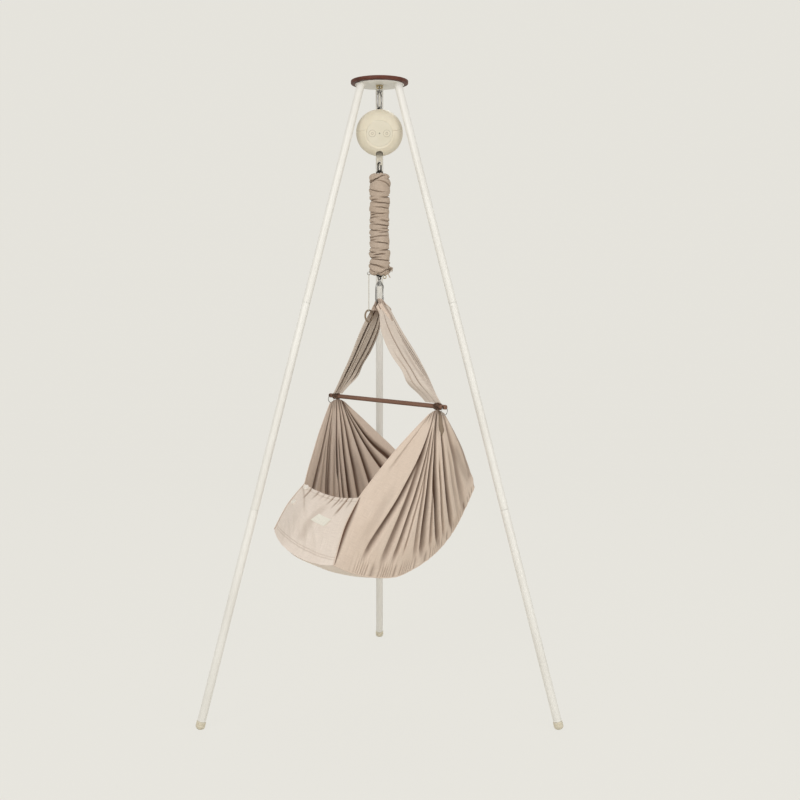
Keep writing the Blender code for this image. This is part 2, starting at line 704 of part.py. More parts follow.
def panel_turn():
    """Give the turn that looks along the control panel's inward normal, for a piece drawn along Z."""
    return (math.radians(90.0 + PANEL_TILT), 0.0, 0.0)


def panel_outward():
    """Give the control panel's outward normal."""
    tilt = math.radians(PANEL_TILT)
    return Vector((0.0, -math.cos(tilt), -math.sin(tilt)))


def mouth_mesh():
    """Make the cutter of the strap's mouth under the motor: an upright slot with round ends."""
    work = bmesh.new()
    bmesh.ops.create_circle(work, cap_ends=True, segments=ROUND, radius=MOUTH_WIDTH / 2)
    bmesh.ops.rotate(work, matrix=Matrix.Rotation(math.pi / ROUND, 3, "Z"), verts=work.verts)
    for vert in work.verts:
        vert.co.y += MOUTH_BACK if vert.co.y > 0.0 else -MOUTH_FRONT
    made = bmesh.ops.extrude_face_region(work, geom=work.faces[:])
    tops = [item for item in made["geom"] if isinstance(item, bmesh.types.BMVert)]
    bmesh.ops.translate(work, vec=(0.0, 0.0, -0.06), verts=tops)
    bmesh.ops.translate(work, vec=(0.0, 0.0, -0.03), verts=work.verts)
    return finish_mesh(work, "mouth")


def motor_cavity():
    """Make the hollow of the motor: the inner ball, flat behind the panel, less the screw bosses."""
    work = ellipsoid_work(MOTOR_WALL)
    outward = panel_outward()
    slice_off(work, outward * LEDGE_BACK, outward)
    cavity = finish_mesh(work, "cavity")
    boss = turned("boss", rod_profile(SHELL_BOSS_RADIUS, -0.06, 0.06), SMALL)
    places = [(-SHELL_SCREW_PLACE, 0.0, 0.0), (SHELL_SCREW_PLACE, 0.0, 0.0)]
    return cut(cavity, *[shape(boss, place) for place in places])


def motor_shell(name, side):
    """Make one half of the motor's case. side is 1 for the upper half and -1 for the lower."""
    outward = panel_outward()
    work = ellipsoid_work(0.0)
    slice_off(work, outward * PANEL_DISTANCE, outward)
    shell = finish_mesh(work, name)
    recess = turned("recess", rod_profile(PANEL_DIAMETER / 2 + SEAT_GAP, LEDGE_FRONT, 0.07), 2 * ROUND)
    window = turned("window", rod_profile(PANEL_WINDOW_DIAMETER / 2, 0.03, 0.07), 2 * ROUND)
    cutters = [shape(motor_cavity()), shape(recess, turn=panel_turn()), shape(window, turn=panel_turn())]
    shank = SHELL_SCREW_SHANK_DIAMETER / 2 + SEAT_GAP
    if side > 0:
        hole = turned("hole", rod_profile(MOTOR_TOP_HOLE_DIAMETER / 2, 0.04, 0.09))
        cutters.append(shape(hole))
        blind = rod_profile(shank, -0.01, SHELL_SCREW_REACH + LOOSE_GAP)
    else:
        cutters.append(shape(mouth_mesh()))
        size = [length + 2 * SEAT_GAP for length in SOCKET_SIZE]
        size[1] = 0.05
        across, up = SOCKET_PLACE
        cutters.append(shape(box_mesh("socket", size, (across, 0.055, up))))
        bore = SHELL_SCREW_HEAD_DIAMETER / 2 + SEAT_GAP
        blind = [
            (0.0, -0.07), (bore, -0.07), (bore, SHELL_SCREW_SEAT), (shank, SHELL_SCREW_SEAT),
            (shank, 0.01), (0.0, 0.01),
        ]
    hole = turned("blind", blind, SMALL)
    cutters += [shape(hole, (end * SHELL_SCREW_PLACE, 0.0, 0.0)) for end in (-1, 1)]
    other_half = box_mesh("other_half", (0.2, 0.2, 0.1), (0.0, 0.0, side * (SEAT_GAP / 2 - 0.05)))
    cutters.append(shape(other_half))
    return cut(shell, *cutters)


def loop_path(depth):
    """Give the motor loop's path round the motor's centre, with legs that reach down by depth."""
    across = direction(TOP_HOOK_TURN + 90.0)
    middle = Z * (LOOP_HEIGHT - LOOP_RADIUS - MOTOR_HEIGHT)
    foot = Z * (BLOCK_TOP - depth)
    path = [foot + LOOP_RADIUS * across]
    path += arc(middle, LOOP_RADIUS, across, Z, 0.0, 180.0)
    path.append(foot - LOOP_RADIUS * across)
    return path


def chassis_mesh():
    """Make the motor's steel frame: two cheeks, a top block for the loop and a tie bar."""
    outside = CHEEK_INSIDE + CHEEK_THICKNESS
    outward = panel_outward()
    front = BOARD_FRONT - BOARD_THICKNESS - 3 * SEAT_GAP
    cheeks = []
    for side in (-1, 1):
        work = ellipsoid_work(MOTOR_WALL + SEAT_GAP)
        slice_off(work, (side * outside, 0.0, 0.0), (side, 0.0, 0.0))
        slice_off(work, (side * CHEEK_INSIDE, 0.0, 0.0), (-side, 0.0, 0.0))
        slice_off(work, outward * front, outward)
        cheeks.append(shape(finish_mesh(work, "cheek")))
    block = box_mesh(
        "motor_chassis", (2 * outside - 0.0002, BLOCK_DEPTH, BLOCK_HEIGHT),
        (0.0, 0.0, BLOCK_TOP - BLOCK_HEIGHT / 2),
    )
    tie = box_mesh(
        "tie", (2 * outside - 0.0002, TIE_BAR_SIZE, TIE_BAR_SIZE), (0.0, TIE_BAR_DISTANCE, TIE_BAR_HEIGHT),
    )
    frame = unite(block, *cheeks, shape(tie))
    holes = []
    path = loop_path(LOOP_LEG_DEPTH + SEAT_GAP)
    for foot in (path[0], path[-1]):
        hole = rod_profile(LOOP_WIRE / 2 + SEAT_GAP, foot.z, 0.08)
        holes.append(shape(turned("hole", hole, SMALL), (foot.x, foot.y, 0.0)))
    shaft = rod_profile(SHAFT_DIAMETER / 2 + SEAT_GAP, -0.03, 0.03)
    holes.append(shape(
        turned("shaft_hole", shaft, SMALL), (0.0, SPOOL_OFFSET, 0.0), (0.0, math.radians(90.0), 0.0),
    ))
    return cut(frame, *holes)


def build_motor_inside(motor, centre):
    """Build what the motor's case holds."""
    motor.add("motor_chassis", chassis_mesh(), "dark_steel", centre)
    loop = wire_mesh("motor_loop", loop_path(LOOP_LEG_DEPTH), LOOP_WIRE, resolution=2)
    motor.add("motor_loop", loop, "steel", centre)

    outside = CHEEK_INSIDE + CHEEK_THICKNESS + SEAT_GAP
    axis_turn = (0.0, math.radians(90.0), 0.0)
    axle = centre + Y * SPOOL_OFFSET
    motor_body = turned(
        "gear_motor", rod_profile(GEAR_MOTOR_DIAMETER / 2, outside, outside + GEAR_MOTOR_LENGTH, 0.0015),
    )
    bore = rod_profile(SHAFT_DIAMETER / 2 + SEAT_GAP, 0.0, SHAFT_REACH + SEAT_GAP)
    gear_motor = cut(motor_body, shape(turned("bore", bore, SMALL)))
    motor.add("gear_motor", gear_motor, "dark_plastic", axle, axis_turn)

    across = -outside - BATTERY_SIZE[0] / 2
    battery = box_mesh("battery_pack", BATTERY_SIZE, edge=0.003)
    motor.add("battery_pack", battery, "dark_plastic", centre + X * across)

    board = turned(
        "circuit_board", rod_profile(BOARD_DIAMETER / 2, BOARD_FRONT - BOARD_THICKNESS, BOARD_FRONT),
        2 * ROUND,
    )
    depth = BOARD_FRONT + SWITCH_HEIGHT / 2 - 0.0001
    pads = []
    for side in (-1, 1):
        size = (SWITCH_SIZE, SWITCH_SIZE, SWITCH_HEIGHT + 0.0002)
        pads.append(shape(box_mesh("pad", size, (side * BUTTON_SPACING / 2, 0.0, depth))))
    motor.add("circuit_board", unite(board, *pads), "green_board", centre, panel_turn())


def build_controls(motor, centre):
    """Build the control panel, its two push buttons and the indicator lens."""
    outward = panel_outward()
    button_hole = BUTTON_DIAMETER / 2 + LOOSE_GAP
    panel = turned(
        "control_panel", rod_profile(PANEL_DIAMETER / 2, PANEL_FLOOR, PANEL_DISTANCE, 0.0005), 2 * ROUND,
    )
    cutters = []
    for side in (-1, 1):
        hole = turned("hole", rod_profile(button_hole, 0.03, 0.07))
        cutters.append(shape(hole, (side * BUTTON_SPACING / 2, 0.0, 0.0)))
    lens_hole = rod_profile(LENS_DIAMETER / 2 + SEAT_GAP, 0.03, 0.07)
    cutters.append(shape(turned("lens_hole", lens_hole, SMALL)))
    motor.add("control_panel", cut(panel, *cutters), "panel_plastic", centre, panel_turn())
    lens = turned(
        "indicator_lens", rod_profile(LENS_DIAMETER / 2, PANEL_FLOOR, PANEL_DISTANCE, 0.0004), SMALL,
    )
    motor.add("indicator_lens", lens, "lens", centre, panel_turn())

    flange_front = PANEL_FLOOR - SEAT_GAP - PANEL_DISTANCE
    flange_back = flange_front - BUTTON_FLANGE_THICKNESS
    cap = BUTTON_DIAMETER / 2
    flange = BUTTON_FLANGE_DIAMETER / 2
    button = turned("button", [
        (0.0, flange_back), (flange, flange_back), (flange, flange_front), (cap, flange_front),
        (cap, BUTTON_PROUD - 0.0003), (cap - 0.0003, BUTTON_PROUD), (0.0, BUTTON_PROUD),
    ])
    for side, name in ((-1, "button_left"), (1, "button_right")):
        face = centre + outward * PANEL_DISTANCE + X * (side * BUTTON_SPACING / 2)
        body = Body(f"{name}_slide", face, motor)
        body.add(name, button, "panel_plastic", face, panel_turn())


def build_motor(top_hook):
    """Build the motor: its case, controls and works, hanging on the top hook's bow."""
    pivot = Z * TOP_HOOK_BOW_HEIGHT
    centre = Z * MOTOR_HEIGHT
    motor = Body("motor_pivot", pivot, top_hook)
    motor.add("motor_shell_upper", motor_shell("motor_shell_upper", 1), "cream_plastic", centre)
    motor.add("motor_shell_lower", motor_shell("motor_shell_lower", -1), "cream_plastic", centre)
    build_motor_inside(motor, centre)
    build_controls(motor, centre)

    across, up = SOCKET_PLACE
    half = MOTOR_DIAMETER / 2
    share = math.sqrt(1.0 - (across / half) ** 2 - (up / half) ** 2)
    back = MOTOR_DEPTH / 2 * share - 0.0008
    socket = box_mesh("charge_socket", SOCKET_SIZE, edge=0.0006)
    slot = box_mesh("slot", SOCKET_SLOT, (0.0, SOCKET_SIZE[1] / 2 - SOCKET_SLOT[1] / 2 + 0.001, 0.0), 0.001)
    place = centre + Vector((across, back - SOCKET_SIZE[1] / 2, up))
    motor.add("charge_socket", cut(socket, shape(slot)), "dark_plastic", place)

    head = SHELL_SCREW_HEAD_DIAMETER / 2
    shank = SHELL_SCREW_SHANK_DIAMETER / 2
    seat = SHELL_SCREW_SEAT - SEAT_GAP
    screw = turned("shell_screw", [
        (0.0, seat - SHELL_SCREW_HEAD_HEIGHT), (head, seat - SHELL_SCREW_HEAD_HEIGHT), (head, seat),
        (shank, seat), (shank, SHELL_SCREW_REACH), (0.0, SHELL_SCREW_REACH),
    ], SMALL)
    for side, name in ((-1, "shell_screw_left"), (1, "shell_screw_right")):
        motor.add(name, screw, "steel", centre + X * (side * SHELL_SCREW_PLACE))

    axle = centre + Y * SPOOL_OFFSET
    axis_turn = (0.0, math.radians(90.0), 0.0)
    spool_body = Body("spool_axle", axle, motor)
    inside = CHEEK_INSIDE - SEAT_GAP
    rim = inside - SPOOL_FLANGE_THICKNESS
    bore = SHAFT_DIAMETER / 2 + SEAT_GAP
    spool = turned("spool", [
        (bore, -inside), (SPOOL_FLANGE_RADIUS, -inside), (SPOOL_FLANGE_RADIUS, -rim), (SPOOL_RADIUS, -rim),
        (SPOOL_RADIUS, rim), (SPOOL_FLANGE_RADIUS, rim), (SPOOL_FLANGE_RADIUS, inside), (bore, inside),
    ])
    spool_body.add("spool", spool, "webbing", axle, axis_turn)
    left = -CHEEK_INSIDE - CHEEK_THICKNESS + SEAT_GAP
    shaft = turned("spool_shaft", rod_profile(SHAFT_DIAMETER / 2, left, SHAFT_REACH), SMALL)
    spool_body.add("spool_shaft", shaft, "steel", axle, axis_turn)
    return motor


def build_lift(motor):
    """Build the lift: the flat strap out of the motor's mouth and the oval link in its hole."""
    pivot = Z * STRAP_BOTTOM
    lift = Body("lift_slide", pivot, motor)
    strap_top = MOTOR_HEIGHT - STRAP_THICKNESS
    height = strap_top - STRAP_BOTTOM
    strap = box_mesh("lift_strap", (STRAP_WIDTH, STRAP_THICKNESS, height), (0.0, 0.0, height / 2))
    hole_centre = LINK_TOP - LINK_WIRE / 2 - LINK_CLEARANCE + STRAP_HOLE_DIAMETER / 2 - STRAP_BOTTOM
    hole = turned("hole", rod_profile(STRAP_HOLE_DIAMETER / 2, -0.01, 0.01), ROUND)
    quarter = (math.radians(90.0), 0.0, 0.0)
    lift.add("lift_strap", cut(strap, shape(hole, (0.0, 0.0, hole_centre), quarter)), "webbing", pivot)

    half = LINK_HALF_WIDTH
    upper = Z * (LINK_TOP - half - STRAP_BOTTOM)
    lower = Z * (LINK_BOTTOM + half - STRAP_BOTTOM)
    path = arc(upper, half, LINK_ACROSS, Z, 0.0, 180.0)
    path += arc(lower, half, LINK_ACROSS, Z, 180.0, 360.0)
    lift.add("lift_link", wire_mesh("lift_link", path, LINK_WIRE, closed=True, resolution=2), "steel", pivot)
    return lift


def spring_half():
    """Give the upper half of the spring's path, from its hook down to its middle turn."""
    loop_centre = Z * (SPRING_TOP - SPRING_LOOP_RADIUS)
    path = arc(loop_centre, SPRING_LOOP_RADIUS, LINK_NORMAL, Z, 10.0, 262.0, 12)
    centre_height = SPRING_TOP - 2 * SPRING_LOOP_RADIUS
    steps = 8
    for step in range(1, steps):
        share = step / steps
        angle = math.radians(90.0 + 270.0 * share)
        radius = SPRING_RADIUS * math.sin(0.5 * math.pi * share)
        level = radius * (math.cos(angle) * LINK_ACROSS + math.sin(angle) * LINK_NORMAL)
        path.append(level + Z * (centre_height - SPRING_LEAD_IN * share))
    coil_top = centre_height - SPRING_LEAD_IN
    middle = (SPRING_TOP + SPRING_BOTTOM) / 2
    turns = SPRING_TURNS // 2
    per_turn = 8
    for step in range(turns * per_turn + 1):
        share = step / (turns * per_turn)
        angle = 2 * math.pi * turns * share
        level = SPRING_RADIUS * (math.cos(angle) * LINK_ACROSS + math.sin(angle) * LINK_NORMAL)
        path.append(level + Z * (coil_top + (middle - coil_top) * share))
    return path


def spring_path():
    """Give the whole spring's path: its lower half is its upper half turned over."""
    upper = spring_half()
    middle = Z * (SPRING_TOP + SPRING_BOTTOM) / 2
    lower = []
    for point in reversed(upper[:-1]):
        offset = point - middle
        along = offset.dot(LINK_ACROSS)
        lower.append(middle + 2 * along * LINK_ACROSS - offset)
    return upper + lower


def cover_profile():
    """Give the spring cover's closed profile: round shoulders, a slight waist and open mouths."""
    middle = (COVER_TOP + COVER_BOTTOM) / 2
    half = (COVER_TOP - COVER_BOTTOM) / 2
    outer = []
    steps = 12
    for step in range(steps + 1):
        share = -math.cos(math.pi * step / steps)
        height = half * share
        waist = COVER_RADIUS - (COVER_RADIUS - COVER_WAIST) * math.cos(0.5 * math.pi * share) ** 2
        depth = min(1.0, (half - abs(height)) / COVER_SHOULDER)
        mouth = COVER_MOUTH + COVER_THICKNESS
        radius = mouth + (waist - mouth) * math.sqrt(1.0 - (1.0 - depth) ** 2)
        outer.append((radius, middle + height))
    inner = [(radius - COVER_THICKNESS, height) for radius, height in reversed(outer)]
    return outer + inner


def build_spring(lift):
    """Build the spring, its cloth cover, and the swivel eye on the spring's lower hook."""
    coil = wire_mesh("tension_spring", [point - lift.position for point in spring_path()], SPRING_WIRE)
    lift.add("tension_spring", coil, "steel", lift.position)
    profile = [(radius, height - lift.position.z) for radius, height in cover_profile()]
    lift.add("spring_cover", turned("spring_cover", profile), "cover_cloth", lift.position)

    pivot = Z * EYE_HEIGHT
    end = Body("spring_end_slide", pivot, lift)
    eye = wire_mesh(
        "swivel_eye", arc(Vector(), EYE_RADIUS, LINK_ACROSS, Z, 0.0, 337.5, 15), EYE_WIRE,
        closed=True, resolution=2,
    )
    barrel_bottom = BARREL_TOP - BARREL_HEIGHT - EYE_HEIGHT
    stem_top = -EYE_RADIUS
    stem = STEM_DIAMETER / 2
    rivet = RIVET_DIAMETER / 2
    rivet_top = barrel_bottom - SEAT_GAP
    post = turned("post", [
        (0.0, rivet_top - RIVET_HEIGHT), (rivet, rivet_top - RIVET_HEIGHT), (rivet, rivet_top),
        (stem, rivet_top), (stem, stem_top), (0.0, stem_top),
    ], SMALL)
    end.add("swivel_eye", unite(eye, shape(post)), "steel", pivot)

    ring_place = Vector((
        COVER_MOUTH + COVER_THICKNESS / 2, 0.0,
        COVER_BOTTOM - SEAT_GAP - COVER_RING_WIRE / 2 - COVER_RING_RADIUS,
    ))
    ring = wire_mesh(
        "cover_ring", arc(Vector(), COVER_RING_RADIUS, X, Z, 0.0, 337.5, 15), COVER_RING_WIRE, closed=True,
    )
    end.add("cover_ring", ring, "steel", ring_place)
    build_safety_cord(end)
    return end


def build_safety_cord(end):
    """Build the small ring beside the cover and the cord loop between it and the side loop."""
    centre = Vector(CORD_RING_CENTRE)
    path = arc(Vector(), CORD_RING_RADIUS, X, Z, 0.0, 337.5, 15)
    end.add("cord_ring", wire_mesh("cord_ring", path, CORD_RING_WIRE, closed=True), "steel", centre)
    radius = CORD_DIAMETER / 2
    top = centre.z - CORD_RING_RADIUS + CORD_RING_WIRE / 2 + SEAT_GAP + radius
    side_top = SIDE_LOOP_CENTRE[2] + SIDE_LOOP_HALF_HEIGHT
    bottom = side_top - SIDE_LOOP_WIRE / 2 - CORD_CLEARANCE - radius
    half = CORD_HALF_WIDTH
    upper = Z * (top - half - centre.z)
    lower = Z * (bottom + half - centre.z)
    path = arc(upper, half, Y, Z, 0.0, 180.0) + arc(lower, half, Y, Z, 180.0, 360.0)
    cord = wire_mesh("safety_cord", path, CORD_DIAMETER, closed=True)
    end.add("safety_cord", cord, "webbing", centre)


def build_lower_hook(end):
    """Build the swivel hook that carries the cradle, and its spring gate."""
    pivot = Z * BARREL_TOP
    cradle = Body("cradle_swivel", pivot, end)
    bore = STEM_DIAMETER / 2 + SEAT_GAP
    barrel = turned("lower_hook", tube_profile(bore, BARREL_DIAMETER / 2, -BARREL_HEIGHT, 0.0))
    across = BAR_NORMAL
    half = LOWER_HOOK_HALF_WIDTH
    start = Z * -0.0045
    bend = Z * -0.0090
    straight = Z * -0.0190
    bow = Z * (LOWER_HOOK_BOW_HEIGHT + half - BARREL_TOP)
    frame = [start - 0.0065 * across, bend - 0.0100 * across, straight - (half - 0.0005) * across]
    frame += arc(bow, half, across, Z, 180.0, 360.0, 2 * ARC_STEPS)
    frame.append(Z * (LOWER_HOOK_NOSE_HEIGHT - BARREL_TOP) + half * across)
    shoulder = LOWER_HOOK_SHOULDER_HEIGHT - BARREL_TOP
    arm = [
        start + 0.0065 * across, bend + 0.0105 * across, Z * (shoulder + 0.0020) + half * across,
        Z * shoulder + half * across,
    ]
    hook = unite(
        barrel, shape(wire_mesh("frame", frame, LOWER_HOOK_WIRE, resolution=2)),
        shape(wire_mesh("arm", arm, LOWER_HOOK_WIRE, resolution=2)),
    )
    well = rod_profile(bore, -BARREL_HEIGHT - 0.001, 0.001)
    cradle.add("lower_hook", cut(hook, shape(turned("well", well, SMALL))), "steel", pivot)

    radius = GATE_DIAMETER / 2
    gate_top = LOWER_HOOK_SHOULDER_HEIGHT - SEAT_GAP - radius
    gate_bottom = LOWER_HOOK_NOSE_HEIGHT + SEAT_GAP + radius
    gate_pivot = half * across + Z * gate_top
    gate = Body("lower_gate_pivot", gate_pivot, cradle)
    gate.add("lower_gate", gate_mesh("lower_gate", gate_top - gate_bottom), "steel", gate_pivot)
    return cradle


def cuff_centre(side):
    """Give the middle of a cuff on the bar: side is 1 at the bar's front end and -1 at its back end."""
    return BAR_CENTRE + side * (BAR_LENGTH / 2 - CUFF_INSET) * BAR_ALONG


def sling_strap(name, side, pivot):
    """Loft one sling strap from the loop's leg down to its cuff, in level sections."""
    top = side * SLING_ARCH_RADIUS * BAR_ALONG + Z * (SLING_LEG_BOTTOM - SEAT_GAP)
    bottom = cuff_centre(side) + Z * (CUFF_RADIUS + SEAT_GAP)
    stations = 10
    sides = 12
    work = bmesh.new()
    half_width = SLING_FRONT_HALF_WIDTH if side > 0 else SLING_BACK_HALF_WIDTH
    rings = []
    for station in range(stations + 1):
        share = station / stations
        swell = math.sin(math.pi * share) ** 0.6
        width = SLING_NECK + (half_width - SLING_NECK) * swell
        thickness = SLING_NECK + (SLING_HALF_THICKNESS - SLING_NECK) * swell
        bow = SLING_BOW * math.sin(math.pi * share ** 1.5)
        centre = top.lerp(bottom, share) - side * bow * BAR_ALONG - pivot
        ring = []
        for corner in range(sides):
            angle = 2 * math.pi * corner / sides
            offset = width * math.cos(angle) * BAR_NORMAL + thickness * math.sin(angle) * BAR_ALONG
            ring.append(work.verts.new(centre + offset))
        rings.append(ring)
    for upper, lower in zip(rings, rings[1:]):
        for corner in range(sides):
            following = (corner + 1) % sides
            work.faces.new((upper[corner], upper[following], lower[following], lower[corner]))
    work.faces.new(rings[0])
    work.faces.new(rings[-1])
    return finish_mesh(work, name)


def build_sling(cradle):
    """Build the cloth loop over the hook, the side loop, the two straps and their cuffs."""
    pivot = cradle.position
    bow = Z * (LOWER_HOOK_BOW_HEIGHT - pivot.z)
    leg = Z * (SLING_LEG_BOTTOM - pivot.z)
    path = [leg + SLING_ARCH_RADIUS * BAR_ALONG]
    path += arc(bow, SLING_ARCH_RADIUS, BAR_ALONG, Z, 0.0, 180.0)
    path.append(leg - SLING_ARCH_RADIUS * BAR_ALONG)
    loop = wire_mesh("sling_loop", path, 2 * SLING_LOOP_RADIUS, resolution=2)
    cradle.add("sling_loop", loop, "cloth", pivot)

    centre = Vector(SIDE_LOOP_CENTRE)
    path = []
    for step in range(20):
        angle = 2 * math.pi * step / 20
        path.append(Vector((
            SIDE_LOOP_HALF_WIDTH * math.cos(angle), 0.0, SIDE_LOOP_HALF_HEIGHT * math.sin(angle),
        )))
    side_loop = wire_mesh("side_loop", path, SIDE_LOOP_WIRE, closed=True)
    cradle.add("side_loop", side_loop, "cloth", centre, (0.0, 0.0, math.radians(SIDE_LOOP_TURN)))

    cuff = turned("cuff", [
        (BAR_DIAMETER / 2 + SEAT_GAP, -CUFF_LENGTH / 2), (0.8 * CUFF_RADIUS, -CUFF_LENGTH / 2),
        (CUFF_RADIUS, -0.3 * CUFF_LENGTH), (CUFF_RADIUS, 0.3 * CUFF_LENGTH),
        (0.8 * CUFF_RADIUS, CUFF_LENGTH / 2), (BAR_DIAMETER / 2 + SEAT_GAP, CUFF_LENGTH / 2),
    ])
    for side, name in ((-1, "back"), (1, "front")):
        cradle.add(f"sling_strap_{name}", sling_strap(f"sling_strap_{name}", side, pivot), "cloth", pivot)
        cradle.add(f"bar_cuff_{name}", cuff, "cloth", cuff_centre(side), bar_turn())


def bar_turn():
    """Give the turn that lays a piece drawn along Z along the bar."""
    return (0.0, math.radians(90.0), math.radians(BAR_AZIMUTH))


def build_bar(cradle):
    """Build the spreader bar and the loose ring through each of its end holes."""
    half = BAR_LENGTH / 2
    bar = turned("spreader_bar", rod_profile(BAR_DIAMETER / 2, -half, half, BAR_END_RADIUS), ROUND)
    hole = turned("hole", rod_profile(BAR_HOLE_DIAMETER / 2, -0.02, 0.02), SMALL)
    quarter = (math.radians(90.0), 0.0, 0.0)
    cutters = [shape(hole, (0.0, 0.0, end * (half - BAR_HOLE_INSET)), quarter) for end in (-1, 1)]
    cradle.add("spreader_bar", cut(bar, *cutters), "walnut", BAR_CENTRE, bar_turn())

    for side, name in ((-1, "ring_back"), (1, "ring_front")):
        top = BAR_CENTRE + side * (half - BAR_HOLE_INSET) * BAR_ALONG
        path = arc(-Z * RING_RADIUS, RING_RADIUS, BAR_NORMAL, Z, 0.0, 345.0, 23)
        body = Body(f"{name}_pivot", top, cradle)
        body.add(name, wire_mesh(name, path, RING_WIRE, closed=True), "steel", top)


def curve_point(points, share):
    """Read a smooth curve through evenly counted points, at a share from 0 to 1."""
    last = len(points) - 1
    position = min(max(share, 0.0), 1.0) * last
    index = min(int(position), last - 1)
    part = position - index
    before = points[max(index - 1, 0)]
    start, end = points[index], points[index + 1]
    after = points[min(index + 2, last)]
    result = []
    for p0, p1, p2, p3 in zip(before, start, end, after):
        result.append(0.5 * (
            2 * p1 + (p2 - p0) * part + (2 * p0 - 5 * p1 + 4 * p2 - p3) * part ** 2
            + (3 * p1 - p0 - 3 * p2 + p3) * part ** 3
        ))
    return result


def cradle_point(across, along, height):
    """Give the world point of a place in the cradle's own axes."""
    return across * CRADLE_ACROSS + along * CRADLE_ALONG + Z * height


def wall_rim(side, share):
    """Give a point on a wall's lower edge, from the foot to the head."""
    across = FRONT_SIDE if side > 0 else BACK_SIDE
    along, height = curve_point(FRONT_EDGE if side > 0 else BACK_EDGE, share)
    return cradle_point(across, along, height)


def hem_point(side, gather, depth):
    """Give a point on a wall's foot hem: from its gather to the panel's top, then down to the floor."""
    across = FRONT_SIDE if side > 0 else BACK_SIDE
    hem = FRONT_HEM if side > 0 else BACK_HEM
    swell = FRONT_HEM_SWELL if side > 0 else BACK_HEM_SWELL
    corner = cradle_point(across, *hem[0])
    turn = hem_corner(side, gather)
    if depth < turn:
        share = depth / turn
        return gather.lerp(corner, share) - swell * math.sin(math.pi * share) * CRADLE_ALONG
    along, height = curve_point(hem, (depth - turn) / (1.0 - turn))
    return cradle_point(across, along, height)


def hem_corner(side, gather):
    """Give the depth at which a wall's foot hem meets the top of the foot panel."""
    across = FRONT_SIDE if side > 0 else BACK_SIDE
    hem = FRONT_HEM if side > 0 else BACK_HEM
    corner = cradle_point(across, *hem[0])
    upper = (corner - gather).length
    lower = (cradle_point(across, *hem[-1]) - corner).length
    return upper / (upper + lower)


def wall_gather(side, share):
    """Give a point on the top of a wall, where its cloth gathers under the cuff."""
    under = cuff_centre(side) - Z * (CUFF_RADIUS + 3 * SEAT_GAP)
    return under + (share - 0.5) * WALL_GATHER_WIDTH * CRADLE_ALONG


def wall_point(side, share, depth):
    """Give a point on a wall: depth is 0 at the gather under the cuff and 1 at the lower edge."""
    point = wall_gather(side, share).lerp(wall_rim(side, share), depth)
    gather = wall_gather(side, 0.0)
    hem = hem_point(side, gather, depth) - gather.lerp(wall_rim(side, 0.0), depth)
    weight = max(0.0, 1.0 - share / HEM_REACH) ** 2
    bulge = WALL_BULGE * math.sin(math.pi * depth) * math.sin(math.pi * share)
    return point + weight * hem + side * bulge * CRADLE_ACROSS


def sheet(name, columns, rows, point, thickness=CLOTH_THICKNESS):
    """Make a cloth panel: a grid laid on a surface, with its thickness left to a modifier."""
    work = bmesh.new()
    bmesh.ops.create_grid(work, x_segments=columns, y_segments=rows, size=0.5)
    for vert in work.verts:
        vert.co = point(vert.co.x + 0.5, vert.co.y + 0.5)
    return finish_mesh(work, name), thickness


def add_sheet(body, made):
    """Add a cloth panel to a body, with its Solidify modifier."""
    mesh, thickness = made
    kinds = {"mattress": "mattress_cloth", "label_patch": "webbing"}
    piece = body.add(mesh.name, mesh, kinds.get(mesh.name, "cloth"), body.position)
    solidify = piece.modifiers.new("Solidify", "SOLIDIFY")
    solidify.thickness = thickness
    solidify.offset = 0.0
    return piece


def inner_point(side, share, depth):
    """Give a point just inside a wall."""
    clear = CLOTH_THICKNESS / 2 + SEAM_GAP
    return wall_point(side, share, depth) - side * clear * CRADLE_ACROSS


def inner_edge(side, share):
    """Give a point just inside a wall near its lower edge."""
    depth = 1.0 - FLOOR_LIFT / (wall_gather(side, share).z - wall_rim(side, share).z)
    return inner_point(side, share, depth)


def floor_share(share):
    """Give the share along a wall's lower edge of a share along the floor, from foot to head."""
    return EDGE_FOOT + (EDGE_HEAD - EDGE_FOOT) * share


def foot_swell(across, share):
    """Give how far the foot end of the cloth hangs down and out, fading with a share from it."""
    middle = math.sin(math.pi * across)
    fade = max(0.0, 1.0 - share)
    return -Z * (FOOT_SAG * middle * fade ** 2) - CRADLE_ALONG * (FOOT_REACH * middle * fade ** 4)


def floor_point(share, across, inset=0.0):
    """Give a point on the floor: share runs from foot to head, across from back to front."""
    back = inner_edge(-1, floor_share(share))
    front = inner_edge(1, floor_share(share))
    margin = inset / (front - back).length
    place = margin + (1.0 - 2.0 * margin) * across
    sag = FLOOR_SAG * math.sin(math.pi * place) * math.sin(math.pi * min(max(share, 0.0), 1.0)) ** 0.5
    return back.lerp(front, place) - Z * sag + foot_swell(place, share)


def mattress_point(share, across):
    """Give a point on the mattress's middle surface, square to the floor below it."""
    share = MATTRESS_START + (MATTRESS_END - MATTRESS_START) * share
    point = floor_point(share, across, MATTRESS_INSET)
    lengthways = floor_point(share + 0.01, across, MATTRESS_INSET) - point
    sideways = floor_point(share, across + 0.01, MATTRESS_INSET) - point
    normal = lengthways.cross(sideways).normalized()
    if normal.z < 0.0:
        normal = -normal
    return point + normal * (CLOTH_THICKNESS / 2 + MATTRESS_THICKNESS / 2 + MATTRESS_GAP)


